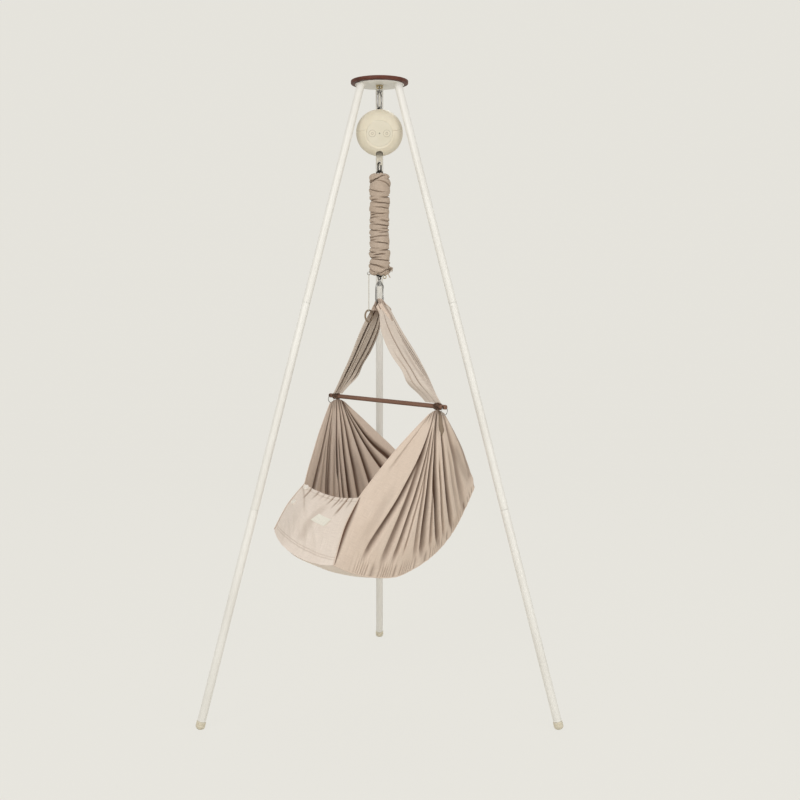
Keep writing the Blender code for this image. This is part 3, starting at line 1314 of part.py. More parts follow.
def panel_point(end, across, up):
    """Give a point on an end panel: end is -1 at the foot and 1 at the head, up is 1 at its hem."""
    sides = []
    for side in (-1, 1):
        if end < 0:
            low = 1.0 - PANEL_START
            high = hem_corner(side, wall_gather(side, 0.0)) + PANEL_START
            sides.append(inner_point(side, EDGE_FOOT / 2, low + (high - low) * up))
        else:
            low = floor_share(1.0) + PANEL_START
            sides.append(inner_edge(side, low + (0.985 - low) * up))
    bulge = PANEL_BULGE * math.sin(math.pi * up) ** 2 * math.sin(math.pi * across)
    dip = PANEL_HEM_SAG * up * math.sin(math.pi * across)
    point = sides[0].lerp(sides[1], across) + end * bulge * CRADLE_ALONG - Z * dip
    if end < 0:
        point += foot_swell(across, up)
    return point


def label_point(across, up):
    """Give a point on the blank label sewn on the outside of the foot panel."""
    across = LABEL_ACROSS[0] + (LABEL_ACROSS[1] - LABEL_ACROSS[0]) * across
    up = LABEL_RISE[0] + (LABEL_RISE[1] - LABEL_RISE[0]) * up
    point = panel_point(-1, across, up)
    sideways = panel_point(-1, across + 0.01, up) - point
    upwards = panel_point(-1, across, up + 0.01) - point
    normal = sideways.cross(upwards).normalized()
    if normal.dot(CRADLE_ALONG) > 0.0:
        normal = -normal
    return point + normal * (CLOTH_THICKNESS / 2 + LABEL_THICKNESS / 2 + LOOSE_GAP)


def build_cradle(cradle):
    """Build the cradle's two walls, floor, end panels, label and mattress."""
    pivot = cradle.position
    for side, name in ((-1, "wall_back"), (1, "wall_front")):
        add_sheet(cradle, sheet(name, 20, 6, lambda s, t, side=side: wall_point(side, s, t) - pivot))
    add_sheet(cradle, sheet("floor_panel", 14, 6, lambda s, t: floor_point(s, t) - pivot))
    for end, name in ((-1, "foot_panel"), (1, "head_panel")):
        add_sheet(cradle, sheet(name, 10, 5, lambda s, t, end=end: panel_point(end, s, t) - pivot))
    padded = sheet(
        "mattress", 14, 6, lambda s, t: mattress_point(s, t) - pivot, MATTRESS_THICKNESS,
    )
    add_sheet(cradle, padded)
    label = sheet("label_patch", 4, 2, lambda s, t: label_point(s, t) - pivot, LABEL_THICKNESS)
    add_sheet(cradle, label)


for leftover in list(bpy.data.objects):
    bpy.data.objects.remove(leftover)

MATERIALS = make_materials()
ROOT = Body("stand", (0.0, 0.0, 0.0))
ROOT.empty.location.y = PLUMB_LINE_Y
build_legs(ROOT)
build_top(ROOT)
build_hanger(ROOT)
TOP_HOOK = build_top_hook(ROOT)
MOTOR = build_motor(TOP_HOOK)
LIFT = build_lift(MOTOR)
SPRING_END = build_spring(LIFT)
CRADLE = build_lower_hook(SPRING_END)
build_sling(CRADLE)
build_bar(CRADLE)
build_cradle(CRADLE)
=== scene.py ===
"""A baby hammock under a tripod stand, in cloth, paint, wood, plastic and steel."""
import json
import logging
import math
from dataclasses import dataclass
from enum import Enum
from typing import Callable, Sequence

import bmesh
import bpy
from mathutils import Matrix, Vector, noise

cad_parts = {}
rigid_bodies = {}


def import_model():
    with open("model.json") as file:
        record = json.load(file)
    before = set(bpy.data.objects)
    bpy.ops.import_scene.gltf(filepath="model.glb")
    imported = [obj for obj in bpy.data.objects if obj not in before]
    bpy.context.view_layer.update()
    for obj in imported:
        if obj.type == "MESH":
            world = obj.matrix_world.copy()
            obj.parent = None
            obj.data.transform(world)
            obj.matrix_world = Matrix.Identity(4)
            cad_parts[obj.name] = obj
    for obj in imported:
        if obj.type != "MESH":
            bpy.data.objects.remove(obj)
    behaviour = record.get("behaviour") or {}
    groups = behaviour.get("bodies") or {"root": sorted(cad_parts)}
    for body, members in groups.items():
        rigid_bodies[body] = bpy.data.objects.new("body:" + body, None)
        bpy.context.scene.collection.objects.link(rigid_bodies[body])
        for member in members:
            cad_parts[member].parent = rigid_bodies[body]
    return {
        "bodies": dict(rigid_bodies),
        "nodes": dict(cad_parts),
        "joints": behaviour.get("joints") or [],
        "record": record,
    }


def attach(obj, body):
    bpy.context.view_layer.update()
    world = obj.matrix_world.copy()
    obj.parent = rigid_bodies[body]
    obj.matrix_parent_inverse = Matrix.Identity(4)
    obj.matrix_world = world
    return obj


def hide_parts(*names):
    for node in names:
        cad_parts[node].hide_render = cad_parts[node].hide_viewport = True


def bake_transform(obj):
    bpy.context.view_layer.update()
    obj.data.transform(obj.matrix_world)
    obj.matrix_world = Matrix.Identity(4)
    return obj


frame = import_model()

LOG = logging.getLogger("hammock")
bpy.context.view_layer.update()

X = Vector((1.0, 0.0, 0.0))
Y = Vector((0.0, 1.0, 0.0))
Z = Vector((0.0, 0.0, 1.0))
ORIGIN = Vector((0.0, 0.0, 0.0))
PLUMB_LINE = Vector((0.0, -0.1392, 0.0))
CLOTH_CREASE = 80.0
CASE_CREASE = 24.0

Profile = Sequence[tuple[float, float]]
Place = Callable[[float, float], Vector]
Amount = Callable[[float, float], float]


class Carrier(Enum):
    """The moving bodies of the hammock that pieces ride on."""

    STAND = "stand"
    TOP_HOOK = "top_hook"
    TOP_GATE = "top_gate"
    MOTOR = "motor"
    BUTTON_LEFT = "button_left"
    BUTTON_RIGHT = "button_right"
    SPOOL = "spool"
    LIFT = "lift"
    SPRING_END = "spring_end"
    CRADLE = "cradle"
    LOWER_GATE = "lower_gate"
    RING_FRONT = "ring_front"
    RING_BACK = "ring_back"


# ---------------------------------------------------------------- shapes


def direction(degrees: float) -> Vector:
    """Give a level direction."""
    return Vector((math.cos(math.radians(degrees)), math.sin(math.radians(degrees)), 0.0))


def eased(value: float, low: float, high: float) -> float:
    """Rise smoothly from 0 to 1 between two values."""
    share = min(max((value - low) / (high - low), 0.0), 1.0)
    return share * share * (3.0 - 2.0 * share)


def spin(degrees: float, axis: str) -> Matrix:
    """Give a turn about an axis."""
    return Matrix.Rotation(math.radians(degrees), 4, axis)


def arc(centre: Vector, radius: float, first: Vector, second: Vector, start: float, end: float,
        steps: int = 16) -> list[Vector]:
    """Give points on an arc.

    Args:
        centre: the arc's middle.
        radius: its radius.
        first: the direction of 0 degrees.
        second: the direction of 90 degrees.
        start: the first angle in degrees.
        end: the last angle in degrees.
        steps: the number of pieces.

    Returns:
        steps + 1 points.
    """
    points = []
    for step in range(steps + 1):
        angle = math.radians(start + (end - start) * step / steps)
        points.append(centre + radius * (math.cos(angle) * first + math.sin(angle) * second))
    return points


def curve_at(points: Sequence[Sequence[float]], share: float) -> list[float]:
    """Read a smooth curve through evenly counted points.

    Args:
        points: the points it passes.
        share: the place on it, from 0 to 1.

    Returns:
        The coordinates of that place.
    """
    last = len(points) - 1
    position = min(max(share, 0.0), 1.0) * last
    index = min(int(position), last - 1)
    part = position - index
    before = points[max(index - 1, 0)]
    start, end = points[index], points[index + 1]
    after = points[min(index + 2, last)]
    return [
        0.5 * (2 * b + (c - a) * part + (2 * a - 5 * b + 4 * c - d) * part ** 2
               + (3 * b - a - 3 * c + d) * part ** 3)
        for a, b, c, d in zip(before, start, end, after)
    ]


def smooth_path(points: Sequence[Vector], steps: int) -> list[Vector]:
    """Give a finer path through a few points."""
    return [Vector(curve_at(points, step / steps)) for step in range(steps + 1)]


def rod(radius: float, low: float, high: float) -> list[tuple[float, float]]:
    """Give the profile of a plain rod along Z."""
    return [(0.0, low), (radius, low), (radius, high), (0.0, high)]


def softened(profile: Profile, size: float, steps: int = 4) -> list[tuple[float, float]]:
    """Round the corners inside a profile.

    Args:
        profile: the points of (radius, height).
        size: how far from each corner the rounding starts.
        steps: the pieces of each rounding.

    Returns:
        The rounded profile.
    """
    result = [tuple(profile[0])]
    for before, corner, after in zip(profile, profile[1:], profile[2:]):
        middle = Vector(corner)
        back, ahead = Vector(before) - middle, Vector(after) - middle
        start = middle + back.normalized() * min(size, 0.45 * back.length)
        end = middle + ahead.normalized() * min(size, 0.45 * ahead.length)
        for step in range(steps + 1):
            share = step / steps
            point = start.lerp(middle, share).lerp(middle.lerp(end, share), share)
            result.append((point.x, point.y))
    result.append(tuple(profile[-1]))
    return result


def lathe(profile: Profile, steps: int = 64) -> bmesh.types.BMesh:
    """Spin a profile round Z.

    Args:
        profile: the points of (radius, height), from one end to the other.
        steps: the number of faces round.

    Returns:
        The closed shape.
    """
    work = bmesh.new()
    line = [work.verts.new((radius, 0.0, height)) for radius, height in profile]
    edges = [work.edges.new(pair) for pair in zip(line, line[1:])]
    if profile[0][0] > 0.0 and profile[0] != profile[-1]:
        edges.append(work.edges.new((line[-1], line[0])))
    bmesh.ops.spin(
        work, geom=line + edges, axis=Z, cent=(0.0, 0.0, 0.0), steps=steps, angle=2 * math.pi,
        use_merge=True,
    )
    bmesh.ops.remove_doubles(work, verts=work.verts, dist=1e-7)
    bmesh.ops.recalc_face_normals(work, faces=work.faces)
    return work


def sweep(path: Sequence[Vector], radius: float, sides: int = 20, closed: bool = False,
          flat: float = 1.0, swell: Callable[[float], float] | None = None) -> bmesh.types.BMesh:
    """Draw a round rod along a path by extruding a circle from point to point.

    Args:
        path: the points it follows.
        radius: the rod's radius.
        sides: the number of faces round.
        closed: whether the path is a ring.
        flat: the rod's thickness as a share of its width.
        swell: the radius's factor along the path, from 0 to 1.

    Returns:
        The closed shape.
    """
    work = bmesh.new()
    count = len(path)
    places = []
    across = None
    for index, point in enumerate(path):
        if closed:
            along = (path[(index + 1) % count] - path[index - 1]).normalized()
        else:
            along = (path[min(index + 1, count - 1)] - path[max(index - 1, 0)]).normalized()
        if across is None:
            across = along.orthogonal().normalized()
            if abs(along.dot(Z)) < 0.9:
                across = along.cross(Z).normalized()
        across = (across - across.dot(along) * along).normalized()
        other = along.cross(across)
        size = radius * (swell(index / (count - 1)) if swell else 1.0)
        turn = Matrix((across * size, other * size * flat, along * size)).transposed().to_4x4()
        places.append(Matrix.Translation(point) @ turn)
    made = bmesh.ops.create_circle(work, cap_ends=False, segments=sides, radius=1.0)
    first = list(work.edges)
    bmesh.ops.transform(work, matrix=places[0], verts=made["verts"])
    edges = first
    for before, after in zip(places, places[1:]):
        made = bmesh.ops.extrude_edge_only(work, edges=edges)
        verts = [item for item in made["geom"] if isinstance(item, bmesh.types.BMVert)]
        known = set(verts)
        edges = [
            item for item in made["geom"]
            if isinstance(item, bmesh.types.BMEdge) and known.issuperset(item.verts)
        ]
        bmesh.ops.transform(work, matrix=after @ before.inverted(), verts=verts)
    if closed:
        bmesh.ops.bridge_loops(work, edges=first + edges)
    else:
        bmesh.ops.holes_fill(work, edges=first + edges, sides=0)
    bmesh.ops.recalc_face_normals(work, faces=work.faces)
    return work


def wire_ring(radius: float, wire: float, sides: int, centre: Vector = ORIGIN,
              first: Vector = X, second: Vector = Z) -> bmesh.types.BMesh:
    """Make a ring of wire of a radius, in the plane of two directions."""
    return sweep(arc(centre, radius, first, second, 0.0, 352.5, 47), wire, sides, True)


def cloth_grid(columns: int, rows: int, point: Place, flat: tuple[float, float],
               fold: Amount | None = None, wrapped: bool = False) -> bmesh.types.BMesh:
    """Lay a grid on a surface, with a UV map in metres of cloth and a fold attribute that the cloth
    finishes paint as shade.

    Args:
        columns: the faces across.
        rows: the faces down.
        point: gives the place of (across, down), each from 0 to 1.
        flat: the cloth's width and length before it was gathered.
        fold: gives how deep in a fold a point lies, from 0 to 1, stored as the amount of painted
            shade.
        wrapped: whether the two sides meet in a tube.

    Returns:
        The sheet, without thickness.
    """
    work = bmesh.new()
    bmesh.ops.create_grid(work, x_segments=columns, y_segments=rows, size=0.5)
    chart = work.loops.layers.uv.new("cloth")
    depth = work.verts.layers.float.new("fold")
    for face in work.faces:
        for loop in face.loops:
            place = loop.vert.co
            loop[chart].uv = ((place.x + 0.5) * flat[0], (place.y + 0.5) * flat[1])
    for vert in work.verts:
        across, down = vert.co.x + 0.5, vert.co.y + 0.5
        vert[depth] = fold(across, down) if fold else 0.0
        vert.co = point(across, down)
    if wrapped:
        bmesh.ops.remove_doubles(work, verts=work.verts, dist=2e-6)
    bmesh.ops.recalc_face_normals(work, faces=work.faces)
    return work


def linked(name: str, data: bpy.types.ID) -> bpy.types.Object:
    """Put new data in the scene as an object.

    Args:
        name: the object's name.
        data: its mesh, camera or lamp.

    Returns:
        The object.
    """
    made = bpy.data.objects.new(name, data)
    bpy.context.scene.collection.objects.link(made)
    return made


def solid(name: str, work: bmesh.types.BMesh) -> bpy.types.Object:
    """Put a shape in the scene as an object.

    Args:
        name: the object's name.
        work: the shape, which is used up.

    Returns:
        The object.
    """
    mesh = bpy.data.meshes.new(name)
    work.to_mesh(mesh)
    work.free()
    return linked(name, mesh)


def evaluated(piece: bpy.types.Object) -> bpy.types.Mesh:
    """Give a copy of a piece's mesh with its modifiers applied."""
    graph = bpy.context.evaluated_depsgraph_get()
    return bpy.data.meshes.new_from_object(piece.evaluated_get(graph))


def sliced(work: bmesh.types.BMesh, place: Vector, outward: Vector) -> bmesh.types.BMesh:
    """Cut a closed shape off flat and close the cut.

    Args:
        work: the shape.
        place: a point of the cut.
        outward: the direction in which all is taken away.

    Returns:
        The same shape.
    """
    cut = bmesh.ops.bisect_plane(
        work, geom=work.verts[:] + work.edges[:] + work.faces[:], plane_co=place,
        plane_no=outward, clear_outer=True,
    )
    edges = [item for item in cut["geom_cut"] if isinstance(item, bmesh.types.BMEdge)]
    bmesh.ops.holes_fill(work, edges=edges, sides=0)
    return work


def joined(*works: bmesh.types.BMesh) -> bmesh.types.BMesh:
    """Put several closed shapes in one piece.

    Args:
        works: the shapes, which are used up.

    Returns:
        One bmesh with them all.
    """
    first = works[0]
    for other in works[1:]:
        mesh = bpy.data.meshes.new("joined")
        other.to_mesh(mesh)
        other.free()
        first.from_mesh(mesh)
        bpy.data.meshes.remove(mesh)
    return first


def carved(work: bmesh.types.BMesh, *cutters: bmesh.types.BMesh) -> bmesh.types.BMesh:
    """Take cutters away from a closed shape.

    Args:
        work: the shape, which is used up.
        cutters: the shapes to take away, which are used up.

    Returns:
        What is left.
    """
    made = [solid("carving", shape) for shape in (work, *cutters)]
    for cutter in made[1:]:
        boolean = made[0].modifiers.new("Cut", "BOOLEAN")
        boolean.operation = "DIFFERENCE"
        boolean.solver = "EXACT"
        boolean.object = cutter
    mesh = evaluated(made[0])
    result = bmesh.new()
    result.from_mesh(mesh)
    bpy.data.meshes.remove(mesh)
    for helper in made:
        old = helper.data
        bpy.data.objects.remove(helper)
        bpy.data.meshes.remove(old)
    return result


def turned(work: bmesh.types.BMesh, matrix: Matrix) -> bmesh.types.BMesh:
    """Move a shape by a matrix."""
    bmesh.ops.transform(work, matrix=matrix, verts=work.verts)
    return work


def shifted(work: bmesh.types.BMesh, place: Vector) -> bmesh.types.BMesh:
    """Move a shape by a vector."""
    bmesh.ops.translate(work, vec=place, verts=work.verts)
    return work


def measure_wear(work: bmesh.types.BMesh) -> None:
    """Store on each point how sharply the surface turns outwards there.

    Args:
        work: the shape.
    """
    layer = work.verts.layers.float.new("worn")
    work.normal_update()
    for vert in work.verts:
        most = 0.0
        for edge in vert.link_edges:
            other = edge.other_vert(vert)
            gap = other.co - vert.co
            length = gap.length_squared
            if length > 1e-14:
                most = max(most, (other.normal - vert.normal).dot(gap) / length)
        vert[layer] = eased(most, 180.0, 1200.0)


def place_piece(work: bmesh.types.BMesh, name: str, finish: "Finish", carrier: Carrier | None,
                stands_for: Sequence[str] = (), crease: float = 35.0) -> bpy.types.Object:
    """Make a shape into a piece of the hammock.

    Args:
        work: the shape round the plumb line, which is used up.
        name: the piece's name.
        finish: its finish.
        carrier: the body it rides on, or None to leave it on no body.
        stands_for: the CAD nodes it replaces.
        crease: the angle in degrees past which an edge stays sharp.

    Returns:
        The piece.
    """
    for edge in work.edges:
        edge.smooth = edge.is_manifold and edge.calc_face_angle(0.0) < math.radians(crease)
    for face in work.faces:
        face.smooth = True
    measure_wear(work)
    bmesh.ops.translate(work, vec=PLUMB_LINE, verts=work.verts)
    piece = solid(name, work)
    mesh = piece.data
    mesh.materials.append(finish.material())
    if carrier:
        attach(piece, carrier.value)
    if stands_for:
        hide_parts(*stands_for)
    area = sum(face.area for face in mesh.polygons)
    LOG.info("%s: %d faces, %.4f square metres", name, len(mesh.polygons), area)
    return piece


def thicken(piece: bpy.types.Object, thickness: float, offset: float = 0.0) -> None:
    """Give a sheet its thickness.

    Args:
        piece: the sheet.
        thickness: the cloth's thickness.
        offset: -1 grows it behind the surface, 1 in front.
    """
    solidify = piece.modifiers.new("Thickness", "SOLIDIFY")
    solidify.thickness = thickness
    solidify.offset = offset


def place_cloth(work: bmesh.types.BMesh, name: str, finish: "Finish", thickness: float,
                stands_for: Sequence[str] = (), offset: float = 0.0,
                carrier: Carrier | None = Carrier.CRADLE) -> bpy.types.Object:
    """Make a sheet into a piece of cloth.

    Args:
        work: the sheet, which is used up.
        name: the piece's name.
        finish: its finish.
        thickness: the cloth's thickness.
        stands_for: the CAD nodes it replaces.
        offset: where the thickness grows, as in thicken.
        carrier: the body it rides on, or None to leave it on no body.

    Returns:
        The piece.
    """
    piece = place_piece(work, name, finish, carrier, stands_for, CLOTH_CREASE)
    thicken(piece, thickness, offset)
    return piece


@dataclass(frozen=True)
class Crease:
    """A valley between two pleats, running from where cloth is gathered to where it ends."""

    top: float
    bottom: float
    depth: float = 1.0
    width: float = 0.014
    start: float = -0.2
    end: float = 1.2

    def at(self, across: float, down: float, finer: float = 1.0) -> float:
        """Give how far into this valley a point lies.

        Args:
            across: the place across the cloth.
            down: the place down it.
            finer: a factor on the valley's width.

        Returns:
            0 outside it and its depth in the middle.
        """
        off = (across - self.top - (self.bottom - self.top) * down) / (self.width * finer)
        reach = eased(down, self.start - 0.08, self.start + 0.08)
        fade = 1.0 - eased(down, self.end - 0.12, self.end)
        return self.depth * math.exp(-abs(off) ** 3) * reach * fade


def creased(creases: Sequence[Crease], across: float, down: float, finer: float = 1.0) -> float:
    """Give how deep a point lies in all the valleys of a cloth."""
    return sum(crease.at(across, down, finer) for crease in creases)


# ---------------------------------------------------------------- finishes


def tint(red: float, green: float, blue: float) -> tuple[float, float, float, float]:
    """Give a colour written from 0 to 255 as light amounts.

    Args:
        red: the red part.
        green: the green part.
        blue: the blue part.

    Returns:
        The linear colour with alpha 1.
    """
    parts = []
    for part in (red, green, blue):
        share = part / 255.0
        parts.append(share / 12.92 if share <= 0.04045 else ((share + 0.055) / 1.055) ** 2.4)
    return (parts[0], parts[1], parts[2], 1.0)


class Recipe:
    """A material being put together from nodes."""

    def __init__(self, name: str) -> None:
        """Start a material.

        Args:
            name: its name.
        """
        self.material = bpy.data.materials.new(name)
        self.material.use_nodes = True
        self.tree = self.material.node_tree
        self.shader = self.tree.nodes["Principled BSDF"]
        source = self.tree.nodes.new("ShaderNodeTexCoord")
        self.place = source.outputs["Object"]
        self.chart = source.outputs["UV"]

    def node(self, kind: str, values: dict, **settings: object) -> bpy.types.Node:
        """Add a node.

        Args:
            kind: the node's type.
            values: numbers or sockets for its inputs.
            settings: its properties.

        Returns:
            The node.
        """
        made = self.tree.nodes.new(kind)
        for key, value in settings.items():
            setattr(made, key, value)
        for key, value in values.items():
            if isinstance(value, bpy.types.NodeSocket):
                self.tree.links.new(value, made.inputs[key])
            else:
                made.inputs[key].default_value = value
        return made

    def maths(self, operation: str, first: object, second: object = 0.0) -> bpy.types.NodeSocket:
        """Add a sum of two values."""
        return self.node("ShaderNodeMath", {0: first, 1: second}, operation=operation).outputs[0]

    def scaled(self, scale: tuple[float, float, float], turn: float = 0.0,
               where: bpy.types.NodeSocket | None = None) -> bpy.types.NodeSocket:
        """Stretch the coordinates.

        Args:
            scale: how many times finer the pattern is along each axis.
            turn: the pattern's turn about Z in degrees.
            where: the coordinates, or None for the piece's own.

        Returns:
            The new coordinates' socket.
        """
        turned_first = self.node("ShaderNodeMapping", {
            "Vector": self.place if where is None else where,
            "Rotation": (0.0, 0.0, math.radians(turn)),
        })
        return self.node("ShaderNodeMapping", {
            "Vector": turned_first.outputs[0], "Scale": scale,
        }).outputs[0]

    def noise(self, scale: float, detail: float = 3.0, where: bpy.types.NodeSocket | None = None,
              roughness: float = 0.5) -> bpy.types.NodeSocket:
        """Add a cloudy pattern.

        Args:
            scale: clouds to the metre.
            detail: how many finer layers it has.
            where: its coordinates, or None for the piece's own.
            roughness: the weight of the finer layers.

        Returns:
            A value from 0 to 1.
        """
        return self.node("ShaderNodeTexNoise", {
            "Vector": self.place if where is None else where, "Scale": scale, "Detail": detail,
            "Roughness": roughness,
        }).outputs[0]

    def between(self, value: object, low: float, high: float, first: float = 0.0,
                last: float = 1.0) -> bpy.types.NodeSocket:
        """Map a range of values onto another."""
        values = {0: value, 1: low, 2: high, 3: first, 4: last}
        return self.node("ShaderNodeMapRange", values).outputs[0]

    def blend(self, share: object, first: object, second: object) -> bpy.types.NodeSocket:
        """Mix two colours."""
        values = {0: share, 6: first, 7: second}
        return self.node("ShaderNodeMix", values, data_type="RGBA").outputs[2]

    def attribute(self, name: str) -> bpy.types.NodeSocket:
        """Read a value stored on the mesh."""
        return self.node("ShaderNodeAttribute", {}, attribute_name=name).outputs["Fac"]

    def bump(self, height: object, distance: float, strength: float = 1.0,
             under: bpy.types.NodeSocket | None = None) -> bpy.types.NodeSocket:
        """Raise the surface by a pattern.

        Args:
            height: the pattern.
            distance: its height in metres.
            strength: how much of it shows.
            under: the bump it lies on.

        Returns:
            The normal's socket.
        """
        values = {"Height": height, "Distance": distance, "Strength": strength}
        if under is not None:
            values["Normal"] = under
        return self.node("ShaderNodeBump", values).outputs[0]

    def finish(self, **sockets: object) -> None:
        """Set the shader's inputs.

        Args:
            sockets: numbers or sockets, by input name with _ for a space.
        """
        for key, value in sockets.items():
            socket = self.shader.inputs[key.replace("_", " ")]
            if isinstance(value, bpy.types.NodeSocket):
                self.tree.links.new(value, socket)
            else:
                socket.default_value = value


@dataclass(frozen=True)
class Finish:
    """What a piece is made of."""

    name: str
    slot: str
    colour: tuple[float, float, float]

    def toned(self, red: float, green: float, blue: float,
              most: float = 255.0) -> tuple[float, float, float, float]:
        """Give this finish's colour with its parts moved by some steps, up to a limit."""
        moved = zip(self.colour, (red, green, blue))
        return tint(*(min(part + step, most) for part, step in moved))

    def material(self) -> bpy.types.Material:
        """Give this finish's material, and make it the first time."""
        known = bpy.data.materials.get(self.name)
        if known:
            return known
        recipe = Recipe(self.name)
        self.mix(recipe)
        return recipe.material

    def mix(self, recipe: Recipe) -> None:
        """Fill in the recipe."""
        recipe.finish(Base_Color=tint(*self.colour))


@dataclass(frozen=True)
class Paint(Finish):
    """Powder paint on steel: a fine orange peel, faint dust and brighter worn edges."""

    roughness: float = 0.42

    def mix(self, recipe: Recipe) -> None:
        """Fill in the recipe.

        Args:
            recipe: the material being made.
        """
        cloud = recipe.noise(7.0, 4.0)
        colour = recipe.blend(
            recipe.between(cloud, 0.3, 0.7), self.toned(-5, -6, -8), self.toned(3, 3, 2),
        )
        colour = recipe.blend(
            recipe.maths("MULTIPLY", recipe.attribute("worn"), 0.35), colour, self.toned(8, 8, 7),
        )
        specks = recipe.between(recipe.noise(900.0, 1.0), 0.68, 0.74)
        specks = recipe.maths("MULTIPLY", specks, 0.06)
        colour = recipe.blend(specks, colour, self.toned(-35, -38, -42))
        peel = recipe.bump(recipe.noise(1400.0, 2.0), 0.00002, 0.5)
        recipe.finish(
            Base_Color=colour, Normal=peel, Coat_Weight=0.12, Coat_Roughness=0.25,
            Roughness=recipe.between(cloud, 0.2, 0.8, self.roughness - 0.05, self.roughness + 0.07),
        )


@dataclass(frozen=True)
class Plastic(Finish):
    """Moulded plastic with a fine spark texture and softly polished edges."""

    roughness: float = 0.45
    grain: float = 2200.0

    def mix(self, recipe: Recipe) -> None:
        """Fill in the recipe.

        Args:
            recipe: the material being made.
        """
        cloud = recipe.noise(16.0, 3.0)
        colour = recipe.blend(
            recipe.between(cloud, 0.35, 0.65), self.toned(-4, -4, -6), self.toned(2, 2, 2),
        )
        worn = recipe.attribute("worn")
        colour = recipe.blend(
            recipe.maths("MULTIPLY", worn, 0.4), colour, self.toned(8, 8, 8),
        )
        rough = recipe.between(cloud, 0.2, 0.8, self.roughness - 0.05, self.roughness + 0.06)
        rough = recipe.maths("SUBTRACT", rough, recipe.maths("MULTIPLY", worn, 0.12))
        spark = recipe.bump(recipe.noise(self.grain, 2.0), 0.00005, 0.55)
        recipe.finish(
            Base_Color=colour, Roughness=rough, Normal=spark, Specular_IOR_Level=0.45,
            Subsurface_Weight=0.04, Subsurface_Radius=(0.004, 0.003, 0.002),
        )


@dataclass(frozen=True)
class Wood(Finish):
    """Oiled walnut: long grain, darker streaks, open pores and paler worn edges."""

    dark: tuple[float, float, float] = (52.0, 30.0, 22.0)
    turn: float = 0.0
    worn_colour: tuple[float, float, float] = (150.0, 96.0, 74.0)

    def mix(self, recipe: Recipe) -> None:
        """Fill in the recipe.

        Args:
            recipe: the material being made.
        """
        lengthways = recipe.scaled((3.0, 40.0, 40.0), self.turn)
        bend = recipe.noise(1.0, 4.0, lengthways, 0.6)
        fibres = recipe.noise(1.0, 5.0, recipe.scaled((14.0, 420.0, 420.0), self.turn), 0.65)
        pores = recipe.between(
            recipe.noise(1.0, 2.0, recipe.scaled((60.0, 1500.0, 1500.0), self.turn)), 0.60, 0.70,
        )
        colour = recipe.blend(
            recipe.between(bend, 0.36, 0.62), tint(*self.dark), tint(*self.colour),
        )
        colour = recipe.blend(
            recipe.between(fibres, 0.3, 0.75, 0.0, 0.6), colour, self.toned(34, 22, 16),
        )
        colour = recipe.blend(
            recipe.maths("MULTIPLY", pores, 0.55), colour,
            tint(*(0.45 * part for part in self.dark)),
        )
        worn = recipe.maths("MULTIPLY", recipe.attribute("worn"), 0.55)
        colour = recipe.blend(worn, colour, tint(*self.worn_colour))
        grain = recipe.bump(fibres, 0.00012, 0.6)
        grain = recipe.bump(recipe.maths("SUBTRACT", 1.0, pores), 0.00015, 0.6, grain)
        recipe.finish(
            Base_Color=colour, Normal=grain, Coat_Weight=0.03, Coat_Roughness=0.35,
            Specular_IOR_Level=0.2, Roughness=recipe.between(fibres, 0.2, 0.8, 0.42, 0.60),
        )


@dataclass(frozen=True)
class Metal(Finish):
    """Plated steel: drawn lines, faint smears and bright worn edges."""

    roughness: float = 0.2
    lines: float = 900.0

    def mix(self, recipe: Recipe) -> None:
        """Fill in the recipe.

        Args:
            recipe: the material being made.
        """
        smear = recipe.noise(70.0, 4.0)
        colour = recipe.blend(
            recipe.between(smear, 0.35, 0.7), self.toned(-26, -28, -30), tint(*self.colour),
        )
        colour = recipe.blend(
            recipe.maths("MULTIPLY", recipe.attribute("worn"), 0.5), colour,
            self.toned(22, 22, 22, 250.0),
        )
        drawn = recipe.noise(1.0, 2.0, recipe.scaled((self.lines, self.lines, 0.25 * self.lines)))
        recipe.finish(
            Base_Color=colour, Metallic=1.0, Normal=recipe.bump(drawn, 0.00003, 0.35),
            Roughness=recipe.between(smear, 0.25, 0.75, self.roughness - 0.05,
                                     self.roughness + 0.10),
        )


